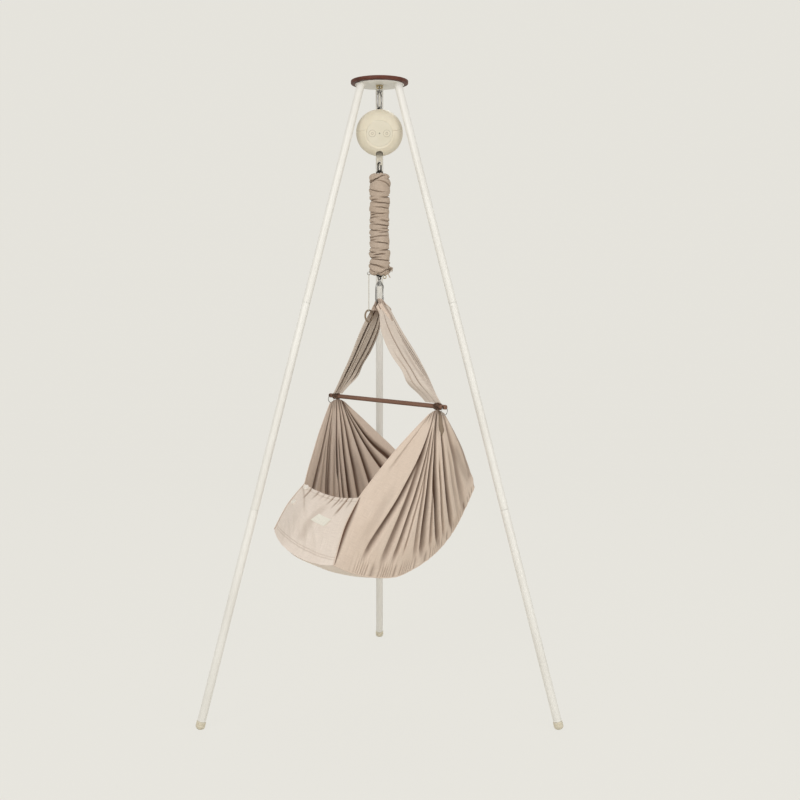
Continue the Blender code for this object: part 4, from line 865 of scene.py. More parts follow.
@dataclass(frozen=True)
class Cloth(Finish):
    """Woven cotton: crossed threads with slubs, a soft nap, crumples and painted shade in folds."""

    shade: tuple[float, float, float] = (140.0, 108.0, 86.0)
    pitch: float = 0.0011
    crumple: float = 0.0009
    sheen: float = 0.22

    def mix(self, recipe: Recipe) -> None:
        """Fill in the recipe.

        Args:
            recipe: the material being made.
        """
        split = recipe.node("ShaderNodeSeparateXYZ", {0: recipe.chart})
        waves = []
        for axis in (0, 1):
            angle = recipe.maths("MULTIPLY", split.outputs[axis], math.pi / self.pitch)
            waves.append(recipe.maths("SINE", angle))
        threads = recipe.maths("ABSOLUTE", recipe.maths("MULTIPLY", waves[0], waves[1]))
        warp = recipe.noise(1.0, 3.0, recipe.scaled((700.0, 28.0, 1.0), 0.0, recipe.chart), 0.6)
        weft = recipe.noise(1.0, 3.0, recipe.scaled((28.0, 700.0, 1.0), 0.0, recipe.chart), 0.6)
        slubs = recipe.maths("MULTIPLY", recipe.maths("ADD", warp, weft), 0.5)
        cloud = recipe.noise(9.0, 4.0)
        colour = recipe.blend(
            recipe.between(slubs, 0.36, 0.64), self.toned(-13, -13, -13),
            self.toned(8, 8, 8, 252.0),
        )
        colour = recipe.blend(
            recipe.between(cloud, 0.3, 0.7, 0.0, 0.35), colour, self.toned(-8, -12, -16),
        )
        # Painted shade: the fold attribute darkens the colour towards the shade colour in folds,
        # creases and recesses.
        fold = recipe.between(recipe.attribute("fold"), 0.0, 1.0, 0.0, 0.95)
        colour = recipe.blend(fold, colour, tint(*self.shade))
        lay = recipe.bump(recipe.noise(34.0, 5.0, None, 0.55), self.crumple, 0.55)
        lay = recipe.bump(threads, 0.00014, 0.55, lay)
        lay = recipe.bump(slubs, 0.00020, 0.4, lay)
        recipe.finish(
            Base_Color=colour, Normal=lay, Sheen_Weight=self.sheen, Sheen_Roughness=0.55,
            Sheen_Tint=self.toned(20, 18, 16),
            Roughness=recipe.between(threads, 0.0, 1.0, 0.92, 0.80), Specular_IOR_Level=0.25,
        )


@dataclass(frozen=True)
class Webbing(Finish):
    """Woven tape: ribs across it, a dense weave and slightly furred edges."""

    rib: float = 0.0012

    def mix(self, recipe: Recipe) -> None:
        """Fill in the recipe.

        Args:
            recipe: the material being made.
        """
        split = recipe.node("ShaderNodeSeparateXYZ", {0: recipe.place})
        ribs = recipe.maths("ABSOLUTE", recipe.maths("SINE", recipe.maths(
            "MULTIPLY", split.outputs[2], math.pi / self.rib)))
        cords = recipe.maths("ABSOLUTE", recipe.maths("SINE", recipe.maths(
            "MULTIPLY", split.outputs[0], math.pi / (0.8 * self.rib))))
        weave = recipe.maths("MULTIPLY", ribs, cords)
        fuzz = recipe.noise(1800.0, 3.0)
        colour = recipe.blend(
            recipe.between(weave, 0.0, 0.8), self.toned(-30, -32, -36), tint(*self.colour),
        )
        colour = recipe.blend(
            recipe.between(fuzz, 0.4, 0.7, 0.0, 0.3), colour, self.toned(-18, -20, -24),
        )
        recipe.finish(
            Base_Color=colour, Roughness=0.85, Normal=recipe.bump(weave, 0.00025, 0.7),
            Sheen_Weight=0.15, Sheen_Roughness=0.5,
        )


@dataclass(frozen=True)
class Lens(Finish):
    """A small clear lamp lens over a pale diffuser."""

    def mix(self, recipe: Recipe) -> None:
        """Fill in the recipe.

        Args:
            recipe: the material being made.
        """
        rings = recipe.noise(1200.0, 1.0)
        recipe.finish(
            Base_Color=recipe.blend(rings, tint(*self.colour), tint(120, 118, 108)),
            Roughness=0.12, Coat_Weight=0.6, Coat_Roughness=0.06,
            Normal=recipe.bump(rings, 0.00004, 0.3),
        )


@dataclass(frozen=True)
class Board(Finish):
    """Green circuit board: solder mask over copper tracks and small pads."""

    def mix(self, recipe: Recipe) -> None:
        """Fill in the recipe.

        Args:
            recipe: the material being made.
        """
        cells = recipe.node("ShaderNodeTexVoronoi", {"Vector": recipe.place, "Scale": 260.0},
                            distance="MANHATTAN").outputs[0]
        tracks = recipe.between(cells, 0.30, 0.34)
        pads = recipe.between(cells, 0.09, 0.07)
        colour = recipe.blend(tracks, tint(*self.colour), self.toned(18, 34, 14))
        colour = recipe.blend(pads, colour, tint(206, 196, 150))
        recipe.finish(
            Base_Color=colour, Roughness=0.35, Metallic=recipe.maths("MULTIPLY", pads, 0.8),
            Normal=recipe.bump(tracks, 0.00005, 0.5),
        )


PAINT = Paint("ivory powder paint", "cream_paint", (231, 229, 224))
CAP_WOOD = Wood("walnut of the cap", "walnut", (94, 52, 40), (46, 20, 14), 0.0, (140, 92, 78))
BAR_WOOD = Wood("walnut of the bar", "walnut", (128, 98, 82), (88, 62, 50), 50.0, (150, 120, 102))
BRIGHT = Metal("bright plated steel", "steel", (150, 149, 147), 0.2)
BRASSY = Metal("warm plated steel", "steel", (190, 174, 136), 0.24)
DARK = Metal("dark plated steel", "steel", (78, 76, 72), 0.28)
PLAIN_STEEL = Metal("plain steel", "dark_steel", (150, 148, 144), 0.34)
CASE = Plastic("cream case plastic", "cream_plastic", (228, 219, 199), 0.42)
FACE = Plastic("pale face plastic", "panel_plastic", (219, 212, 194), 0.5, 3000.0)
BUTTON = Plastic("button plastic", "panel_plastic", (222, 214, 196), 0.46, 3000.0)
SNAP = Plastic("pale snap plastic", "panel_plastic", (240, 234, 226), 0.3, 3000.0)
# A grey plastic for rings of painted shade in the gap round each button and in the groove on it.
GROOVE_SHADE_PLASTIC = Plastic("grey seal plastic", "panel_plastic", (142, 133, 112), 0.6, 3000.0)
CAP_PLASTIC = Plastic("foot cap plastic", "cream_plastic", (214, 206, 186), 0.55, 1400.0)
BLACK = Plastic("black plastic", "dark_plastic", (34, 34, 36), 0.5, 1600.0)
LENS = Lens("lamp lens", "lens", (176, 172, 158))
BOARD = Board("circuit board", "green_board", (38, 92, 58))
TAPE = Webbing("pale woven tape", "webbing", (226, 220, 206))
CORD = Webbing("pale cord", "webbing", (222, 218, 208), 0.0006)
# The second colour of each cloth is the painted shade that its fold attribute darkens towards.
COTTON = Cloth("sand cotton", "cloth", (222, 205, 190), (84, 54, 36))
STRAP_COTTON = Cloth("sand strap cotton", "cloth", (214, 202, 190), (112, 84, 65))
# A darker copy of the sand cotton, painted shade on the tail under the front cuff and on the side
# loop.
PAINTED_SHADE_COTTON = Cloth("cotton darkened as painted shade", "cloth", (146, 130, 113), (74, 56, 44))
# A darker brown copy of the sand cotton, painted shade on the cuffs wound round the bar.
KNOT_PAINTED_SHADE_COTTON = Cloth("cotton darkened as painted shade at the knots", "cloth", (126, 101, 84), (48, 33, 25))
PALE_COTTON = Cloth("pale sand cotton", "cloth", (235, 223, 212), (136, 108, 84))
COVER_COTTON = Cloth("taupe cotton", "cover_cloth", (188, 171, 155), (78, 56, 41), 0.0009, 0.0010)
TICKING = Cloth("ivory quilted cotton", "mattress_cloth", (236, 231, 220), (190, 180, 164), 0.0008)
LABEL = Cloth("ivory label tape", "webbing", (240, 236, 224), (210, 204, 190), 0.0006, 0.0002, 0.1)


# ---------------------------------------------------------------- stand


@dataclass
class Stand:
    """The tripod: a wooden cap on a painted plate, and three legs of three tubes each."""

    height: float = 1.8
    cap_radius: float = 0.0845
    cap_thickness: float = 0.0108
    cap_edge: float = 0.0030
    plate_radius: float = 0.072
    plate_thickness: float = 0.0025
    seat: float = 0.0003
    foot_circle: float = 0.559
    leg_circle: float = 0.0615
    leg_radius: float = 0.0115
    leg_wall: float = 0.0015
    seams: tuple[float, float] = (0.575, 1.146)
    foot_height: float = 0.020
    foot_radius: float = 0.01275
    foot_dome: float = 0.010
    foot_sink: float = 0.0020
    foot_grooves: tuple[float, float] = (0.0125, 0.0155)
    foot_plug: float = 0.025
    snap_radius: float = 0.0026
    snap_rise: float = 0.0014
    snap_root: float = 0.004
    snap_drop: float = 0.010
    azimuths: tuple[tuple[str, float], ...] = (
        ("front_right", -30.0), ("rear", 90.0), ("front_left", 210.0),
    )

    @property
    def plate_bottom(self) -> float:
        """The height of the plate's underside."""
        return self.height - self.cap_thickness - self.seat - self.plate_thickness

    @property
    def splay(self) -> float:
        """The lean of a leg in radians."""
        return math.atan2(self.foot_circle - self.leg_circle, self.plate_bottom)

    def along(self, height: float, inward: float = 0.0) -> float:
        """Give the distance up a leg's axis of a height above the floor."""
        return (height - inward * math.sin(self.splay)) / math.cos(self.splay)

    def leg_frame(self, azimuth: float) -> Matrix:
        """Give the place of a leg: its origin at the floor and its Z up the leg."""
        turn = spin(azimuth, "Z") @ Matrix.Rotation(-self.splay, 4, "Y")
        return Matrix.Translation(direction(azimuth) * self.foot_circle) @ turn

    def tube(self, bottom: float, top: float, mitre: float | None = None) -> bmesh.types.BMesh:
        """Make a leg tube with eased ends.

        Args:
            bottom: its lower end along the leg.
            top: its upper end along the leg.
            mitre: the height at which its top is cut level, if it is.

        Returns:
            The tube in the leg's frame.
        """
        outer, inner = self.leg_radius, self.leg_radius - self.leg_wall
        middle = (bottom + top) / 2
        profile = softened([
            (outer, middle), (outer, top), (inner, top), (inner, bottom), (outer, bottom),
            (outer, middle - 0.001),
        ], 0.0005, 3)
        work = lathe(profile, 48)
        if mitre:
            for vert in work.verts:
                if vert.co.z > top - 0.002:
                    vert.co.z += self.along(mitre, vert.co.x) - top
        return work

    def snap_button(self, height: float) -> bmesh.types.BMesh:
        """Make the domed button that locks two tubes, on the camera's side of a leg.

        Args:
            height: its height above the floor.

        Returns:
            The button in the leg's frame.
        """
        radius, rise = self.snap_radius, self.snap_rise
        profile = [(0.0, rise)]
        for step in range(1, 7):
            angle = math.radians(15.0 * step)
            profile.append((radius * math.sin(angle), rise * math.cos(angle) ** 0.8))
        profile += [(radius, -self.snap_root), (0.0, -self.snap_root)]
        place = Matrix.Translation((0.0, -self.leg_radius, self.along(height)))
        return turned(lathe(profile, 24), place @ spin(90.0, "X"))

    def foot(self) -> bmesh.types.BMesh:
        """Make a foot cap with two shallow grooves, cut flat at the floor."""
        radius = self.foot_radius
        profile = [(0.0, -self.foot_sink)]
        for step in range(1, 19):
            angle = math.radians(5.0 * step)
            depth = self.foot_dome * (1.0 - math.cos(angle))
            profile.append((radius * math.sin(angle), depth - self.foot_sink))
        for groove in self.foot_grooves:
            profile += [
                (radius, groove - 0.0006), (radius - 0.0005, groove - 0.0003),
                (radius - 0.0005, groove + 0.0003), (radius, groove + 0.0006),
            ]
        top, plug = self.foot_height, self.leg_radius - self.leg_wall - self.seat
        profile += [
            (radius, top - 0.0008), (radius - 0.0003, top - 0.0002), (radius - 0.0008, top),
            (plug, top), (plug, top + self.foot_plug), (0.0, top + self.foot_plug),
        ]
        down = Vector((-math.sin(self.splay), 0.0, -math.cos(self.splay)))
        return sliced(lathe(profile, 48), ORIGIN, down)

    def build_top(self) -> None:
        """Build the wooden cap and the plate."""
        bottom = self.height - self.cap_thickness
        cap = softened(rod(self.cap_radius, bottom, self.height), self.cap_edge, 7)
        inner = [(0.3 * self.cap_radius, bottom), (0.6 * self.cap_radius, bottom)]
        work = lathe([cap[0], *inner, *cap[1:]], 128)
        place_piece(work, "cap", CAP_WOOD, Carrier.STAND, ["top_cap"])
        low, high = self.plate_bottom, self.plate_bottom + self.plate_thickness
        plate = softened(rod(self.plate_radius, low, high), 0.0007, 4)
        shapes = [lathe([plate[0], (0.05, low), *plate[1:]], 128)]
        for _, azimuth in self.azimuths:
            weld = lathe(softened([
                (self.leg_radius + 0.0001, -0.0012), (self.leg_radius + 0.0012, -0.0001),
                (self.leg_radius + 0.0001, 0.0004),
            ], 0.0002, 2), 48)
            lean = Matrix.Diagonal((1.0 / math.cos(self.splay), 1.0, 1.0, 1.0))
            spot = direction(azimuth) * self.leg_circle + Z * (low - 0.0002)
            shapes.append(turned(weld, Matrix.Translation(spot) @ spin(azimuth, "Z") @ lean))
        place_piece(joined(*shapes), "plate", PAINT, Carrier.STAND, ["top_plate"])

    def build_legs(self) -> None:
        """Build the nine tubes, their snap buttons and the foot caps."""
        low, high = (self.along(seam) for seam in self.seams)
        top = self.along(self.plate_bottom)
        for side, azimuth in self.azimuths:
            place = self.leg_frame(azimuth)
            tubes = {
                "lower": self.tube(self.foot_height + self.seat, low),
                "middle": self.tube(low + self.seat, high),
                "upper": self.tube(high + self.seat, top, self.plate_bottom - self.seat),
            }
            for part, work in tubes.items():
                place_piece(turned(work, place), f"tube_{part}_{side}", PAINT, Carrier.STAND,
                            [f"leg_{part}_{side}"])
            for part, seam in zip(("lower", "upper"), self.seams):
                button = turned(self.snap_button(seam - self.snap_drop), place)
                place_piece(button, f"snap_{part}_{side}", PAINT, Carrier.STAND)
            foot = turned(self.foot(), place)
            place_piece(foot, f"foot_{side}", CAP_PLASTIC, Carrier.STAND, [f"foot_cap_{side}"])

    def build(self) -> None:
        """Build the whole stand."""
        self.build_top()
        self.build_legs()


# ---------------------------------------------------------------- hanger and top hook


@dataclass(frozen=True)
class SnapHook:
    """A hook bent from round wire, with a spring gate between its arm and its nose."""

    turn: float
    half: float
    wire: float
    bow: float
    nose: float
    shoulder: float
    pin_radius: float
    pin_half: float
    pin_drop: float = 0.0023
    gate: float = 0.0040
    seat: float = 0.0003

    @property
    def across(self) -> Vector:
        """The level direction in the hook's plane, towards its gate."""
        return direction(self.turn)

    def frame(self, back: Profile, front: Profile,
              steps: tuple[int, int, int]) -> list[bmesh.types.BMesh]:
        """Make the bent body, the arm and the gate's pin.

        Args:
            back: points of (distance out, height) from the collar down to the bow.
            front: points of (distance out, height) from the collar to the gate.
            steps: the pieces of the back, the bow and the front.

        Returns:
            The three shapes.
        """
        across = self.across
        curve = arc(Z * (self.bow + self.half), self.half, across, Z, 180.0, 360.0, steps[1])
        upper = [Z * height - out * across for out, height in back]
        body = smooth_path([*upper, curve[0]], steps[0])[:-1] + curve
        body.append(Z * self.nose + self.half * across)
        arm = smooth_path([Z * height + out * across for out, height in front], steps[2])
        pin = lathe(softened(rod(self.pin_radius, -self.pin_half, self.pin_half), 0.0003), 20)
        turned(pin, spin(self.turn, "Z") @ spin(90.0, "X"))
        shifted(pin, self.half * across + Z * (self.shoulder - self.pin_drop))
        return [sweep(body, self.wire / 2, 24), sweep(arm, self.wire / 2, 24), pin]

    def gate_rod(self) -> bmesh.types.BMesh:
        """Make the gate: a rod with a narrowed middle and round ends."""
        radius = self.gate / 2
        high = self.shoulder - self.seat
        low = self.nose + self.seat
        profile = [(0.0, low)]
        for step in range(1, 7):
            angle = math.radians(15.0 * step)
            profile.append((radius * math.sin(angle), low + radius * (1.0 - math.cos(angle))))
        profile += [
            (radius, low + 0.0045), (0.8 * radius, low + 0.0055), (0.8 * radius, high - 0.0060),
            (radius, high - 0.0050),
        ]
        for step in range(7):
            angle = math.radians(15.0 * step)
            profile.append((radius * math.cos(angle), high - radius * (1.0 - math.sin(angle))))
        return shifted(lathe(profile, 28), self.half * self.across)


@dataclass
class Hanger:
    """The eye under the plate and the snap hook that carries the motor."""

    plate_bottom: float
    seat: float = 0.0003
    loose: float = 0.0004
    flange_radius: float = 0.011
    flange_thickness: float = 0.0025
    wire: float = 0.0040
    half_width: float = 0.0075
    bail_wire: float = 0.0035
    bail_radius: float = 0.0060
    collar_radius: float = 0.0085
    collar_thickness: float = 0.0050
    collar_top: float = 1.7705
    hook: SnapHook = SnapHook(60.0, 0.0105, 0.0045, 1.7165, 1.7305, 1.7565, 0.0009, 0.0030)

    @property
    def flange_bottom(self) -> float:
        """The height of the eye's flange."""
        return self.plate_bottom - self.seat - self.flange_thickness

    @property
    def wire_height(self) -> float:
        """The height of the staple's wire."""
        return self.flange_bottom - self.bail_wire - 2 * self.loose - self.wire / 2

    def build_eye(self) -> None:
        """Build the flange with its staple."""
        low, high = self.flange_bottom, self.plate_bottom - self.seat
        flange = lathe(softened(rod(self.flange_radius, low, high), 0.0008), 64)
        corner = 0.003
        side = self.half_width - corner
        level = Z * (self.wire_height + corner)
        path = [-X * self.half_width + Z * (low + 0.001)]
        path += arc(level - side * X, corner, X, Z, 180.0, 270.0, 8)
        path += arc(level + side * X, corner, X, Z, 270.0, 360.0, 8)
        path.append(X * self.half_width + Z * (low + 0.001))
        shapes = [flange, sweep(path, self.wire / 2, 20)]
        for end in (-1, 1):
            bead = lathe(softened([
                (0.0, -0.0012), (self.wire / 2 + 0.0008, 0.0), (0.0, 0.0004),
            ], 0.0006), 24)
            shapes.append(shifted(bead, end * self.half_width * X + Z * low))
        place_piece(joined(*shapes), "eye", BRASSY, Carrier.STAND, ["hanger_eye"])

    def build_hook(self) -> None:
        """Build the hook: its bail, collar, bent frame and gate."""
        low = self.collar_top - self.collar_thickness
        radius = self.collar_radius
        collar = lathe(softened([
            (0.0, low), (radius - 0.0012, low), (radius, low + 0.0012), (radius, low + 0.0019),
            (radius - 0.0006, low + 0.0022), (radius - 0.0006, low + 0.0028),
            (radius, low + 0.0031), (radius, self.collar_top - 0.0012),
            (radius - 0.0012, self.collar_top), (0.0, self.collar_top),
        ], 0.0004, 3), 64)
        bail_height = self.wire_height + self.wire / 2 + self.loose + self.bail_wire / 2
        middle = Z * (bail_height - self.bail_radius)
        foot = Z * (self.collar_top - 0.002)
        bail = [foot + Y * self.bail_radius]
        bail += arc(middle, self.bail_radius, Y, Z, 0.0, 180.0, 20)
        bail.append(foot - Y * self.bail_radius)
        hook = self.hook
        start, bend = low + 0.0015, low - 0.004
        frame = hook.frame(
            [(0.004, start), (0.0072, bend), (hook.half, low - 0.0115)],
            [(0.004, start), (0.0072, bend), (hook.half, hook.shoulder + 0.0015),
             (hook.half, hook.shoulder)],
            (18, 24, 14),
        )
        made = joined(collar, sweep(bail, self.bail_wire / 2, 20), *frame)
        place_piece(made, "hook", BRIGHT, Carrier.TOP_HOOK, ["top_hook"])
        place_piece(hook.gate_rod(), "gate", BRIGHT, Carrier.TOP_GATE, ["top_gate"])

    def build(self) -> None:
        """Build the eye and the hook."""
        self.build_eye()
        self.build_hook()


# ---------------------------------------------------------------- motor


@dataclass
class Motor:
    """The motor: a flattened ball in two halves, its control panel, buttons, lamp and loop."""

    centre: float = 1.6468
    radius: float = 0.069
    half_depth: float = 0.058
    wall: float = 0.0025
    seat: float = 0.0003
    top_hole: float = 0.012
    mouth_width: float = 0.0196
    mouth_front: float = 0.022
    mouth_back: float = 0.001
    tilt: float = 11.0
    panel_distance: float = 0.0475
    panel_radius: float = 0.0378
    panel_thickness: float = 0.0030
    window_radius: float = 0.0325
    button_radius: float = 0.0095
    flange_radius: float = 0.0104
    button_proud: float = 0.0005
    button_spacing: float = 0.0420
    lens_radius: float = 0.0017
    loop_wire: float = 0.0050
    loop_radius: float = 0.0065
    loop_height: float = 1.72155
    block_top: float = 0.0592
    hook_turn: float = 60.0
    socket: tuple[float, float] = (-0.022, -0.022)
    port: tuple[float, float, float] = (0.0120, 0.05, 0.0072)
    ledge: float = 0.0024
    groove_wire: float = 0.0009
    well_radius: float = 0.0033
    well_top: float = -0.0278
    well_place: float = 0.0535
    mark_radius: float = 0.0032
    mark_wire: float = 0.00035

    def ball(self, inset: float, faces: int) -> bmesh.types.BMesh:
        """Make the ball round the origin.

        Args:
            inset: how much smaller it is all round.
            faces: the number of faces round.

        Returns:
            The ball.
        """
        work = bmesh.new()
        bmesh.ops.create_uvsphere(work, u_segments=faces, v_segments=faces // 2, radius=1.0)
        wide = self.radius - inset
        bmesh.ops.scale(work, vec=(wide, self.half_depth - inset, wide), verts=work.verts)
        return work

    def inward_turn(self) -> Matrix:
        """Give the turn that lays a piece drawn along Z on the panel's outward normal."""
        return spin(90.0 + self.tilt, "X")

    def outward(self) -> Vector:
        """Give the panel's outward normal."""
        return self.inward_turn() @ Z

    def mouth(self) -> bmesh.types.BMesh:
        """Make the cutter of the strap's slot, an upright prism with round ends."""
        work = bmesh.new()
        bmesh.ops.create_circle(work, cap_ends=True, segments=48, radius=self.mouth_width / 2)
        bmesh.ops.rotate(work, matrix=Matrix.Rotation(math.pi / 48, 3, "Z"), verts=work.verts)
        for vert in work.verts:
            vert.co.y += self.mouth_back if vert.co.y > 0.0 else -self.mouth_front
        made = bmesh.ops.extrude_face_region(work, geom=work.faces[:])
        lower = [item for item in made["geom"] if isinstance(item, bmesh.types.BMVert)]
        bmesh.ops.translate(work, vec=(0.0, 0.0, -0.06), verts=lower)
        bmesh.ops.translate(work, vec=(0.0, 0.0, -0.03), verts=work.verts)
        bmesh.ops.recalc_face_normals(work, faces=work.faces)
        return work

    def cutters(self, side: int) -> list[bmesh.types.BMesh]:
        """Make what is cut from one half of the case.

        Args:
            side: 1 for the upper half and -1 for the lower.

        Returns:
            The cutters.
        """
        turn = self.inward_turn()
        floor = self.panel_distance - self.panel_thickness - self.seat
        outward = self.outward()
        cavity = sliced(self.ball(self.wall, 72), outward * (floor - self.ledge), outward)
        wide = self.panel_radius + self.seat
        recess = lathe([
            (0.0, floor), (wide, floor), (wide, self.panel_distance - 0.0005),
            (wide + 0.0007, self.panel_distance + 0.0004), (wide + 0.0007, 0.07), (0.0, 0.07),
        ], 128)
        window = lathe(rod(self.window_radius, 0.03, 0.07), 96)
        result = [cavity, turned(recess, turn), turned(window, turn)]
        ring = []
        for step in range(128):
            angle = 2 * math.pi * step / 128
            ring.append(Vector((
                (self.radius + 0.0002) * math.cos(angle),
                (self.half_depth + 0.0002) * math.sin(angle), 0.0,
            )))
        result.append(sweep(ring, self.groove_wire, 12, True))
        if side > 0:
            result.append(lathe(rod(self.top_hole, 0.04, 0.09), 64))
        else:
            result.append(self.mouth())
            for end in (-1, 1):
                well = lathe(rod(self.well_radius, -0.07, self.well_top), 32)
                result.append(shifted(well, end * self.well_place * X))
            port = bmesh.new()
            bmesh.ops.create_cube(port, size=1.0)
            bmesh.ops.scale(port, vec=self.port, verts=port.verts)
            upright = [
                edge for edge in port.edges
                if abs((edge.verts[0].co - edge.verts[1].co).normalized().dot(Y)) > 0.9
            ]
            bmesh.ops.bevel(
                port, geom=upright, offset=0.0012, affect="EDGES", segments=5, profile=0.5,
                material=-1,
            )
            result.append(shifted(port, Vector((self.socket[0], 0.055, self.socket[1]))))
        other = bmesh.new()
        bmesh.ops.create_cube(other, size=0.2)
        result.append(shifted(other, Z * side * (self.seat / 2 - 0.1)))
        return result

    def build_case(self) -> None:
        """Build the two halves of the case."""
        outward = self.outward()
        for side, name in ((1, "upper"), (-1, "lower")):
            work = sliced(self.ball(0.0, 128), outward * self.panel_distance, outward)
            shell = shifted(carved(work, *self.cutters(side)), Z * self.centre)
            place_piece(shell, f"case_{name}", CASE, Carrier.MOTOR, [f"motor_shell_{name}"],
                        CASE_CREASE)

    def ring_mark(self, radius: float, width: float, depth: float,
                  level: float) -> bmesh.types.BMesh:
        """Make the cutter of a shallow round groove.

        Args:
            radius: the groove's middle radius.
            width: its width.
            depth: its depth.
            level: the height of the surface it is cut in.

        Returns:
            The cutter.
        """
        return lathe([
            (radius - width / 2, level + 0.001), (radius - 0.35 * width, level - depth),
            (radius + 0.35 * width, level - depth), (radius + width / 2, level + 0.001),
            (radius - width / 2, level + 0.001),
        ], 64)

    def build_panel(self) -> None:
        """Build the panel, its two buttons with their plain ring marks, grey rings of painted shade
        in the gaps and grooves, and the lamp.
        """
        turn = self.inward_turn()
        front, back = self.panel_distance, self.panel_distance - self.panel_thickness
        disc = lathe(softened(rod(self.panel_radius, back, front), 0.0006), 128)
        holes = []
        wide = self.button_radius + 0.0004
        for side in (-1, 1):
            hole = lathe([
                (0.0, 0.03), (wide, 0.03), (wide, front - 0.0004),
                (self.button_radius + 0.0009, front + 0.001), (0.0, front + 0.001),
            ], 64)
            holes.append(shifted(hole, X * side * self.button_spacing / 2))
        holes.append(lathe(rod(self.lens_radius + self.seat, 0.03, 0.06), 32))
        disc = carved(disc, *holes)
        place = Matrix.Translation(Z * self.centre) @ turn
        place_piece(turned(disc, place), "panel", FACE, Carrier.MOTOR, ["control_panel"],
                    CASE_CREASE)
        lens = lathe(softened([
            (0.0, back), (self.lens_radius, back), (self.lens_radius, front - 0.0003),
            (0.0010, front + 0.0001), (0.0, front + 0.0002),
        ], 0.0003), 32)
        place_piece(turned(lens, place), "lamp", LENS, Carrier.MOTOR, ["indicator_lens"])
        proud = front + self.button_proud
        for side, name, carrier in (
            (-1, "button_left", Carrier.BUTTON_LEFT), (1, "button_right", Carrier.BUTTON_RIGHT),
        ):
            cap = lathe(softened([
                (0.0, back - 0.0013), (self.flange_radius, back - 0.0013),
                (self.flange_radius, back - self.seat), (self.button_radius, back - self.seat),
                (self.button_radius, proud), (0.0, proud - 0.0003),
            ], 0.0005), 96)
            cap = carved(cap, self.ring_mark(self.mark_radius, 0.0012, 0.0003, proud))
            shifted(cap, X * side * self.button_spacing / 2)
            place_piece(turned(cap, place), f"press_{name}", BUTTON, carrier, [name], CASE_CREASE)
            # Grey rings of painted shade sit in the gap round the button and in its ring mark's
            # groove.
            for kind, radius, level, rider in (
                ("seal", self.button_radius + 0.0003, front, Carrier.MOTOR),
                ("mark", self.mark_radius, proud - 0.0002, carrier),
            ):
                ring = wire_ring(radius, self.mark_wire, 10, second=Y)
                shifted(ring, X * side * self.button_spacing / 2 + Z * level)
                place_piece(turned(ring, place), f"{kind}_{name}", GROOVE_SHADE_PLASTIC, rider)

    def build_loop(self) -> None:
        """Build the loop that hangs in the top hook."""
        across = direction(self.hook_turn + 90.0)
        middle = Z * (self.loop_height - self.loop_radius)
        foot = Z * (self.centre + self.block_top - 0.013)
        path = [foot + self.loop_radius * across]
        path += arc(middle, self.loop_radius, across, Z, 0.0, 180.0, 24)
        path.append(foot - self.loop_radius * across)
        place_piece(
            sweep(path, self.loop_wire / 2, 24), "loop", BRIGHT, Carrier.MOTOR, ["motor_loop"],
        )

    def build(self) -> None:
        """Build the case, panel and loop, and finish the works inside."""
        self.build_case()
        self.build_panel()
        self.build_loop()
        works = {
            "motor_chassis": PLAIN_STEEL, "gear_motor": DARK, "battery_pack": BLACK,
            "charge_socket": BLACK, "shell_screw_left": DARK, "shell_screw_right": DARK,
            "spool": TAPE, "spool_shaft": BRIGHT, "circuit_board": BOARD, "hanger_nut": BRIGHT,
        }
        for node, finish in works.items():
            dress_node(node, finish)


def dress_node(node: str, finish: Finish) -> None:
    """Give a CAD node that keeps its shape a better material.

    Args:
        node: its name.
        finish: its finish.
    """
    found = bpy.data.objects[node]
    for slot in found.material_slots:
        slot.material = finish.material()
    if not found.material_slots:
        found.data.materials.append(finish.material())
    LOG.info("%s: kept, new finish", node)


# ---------------------------------------------------------------- lift, spring and cover


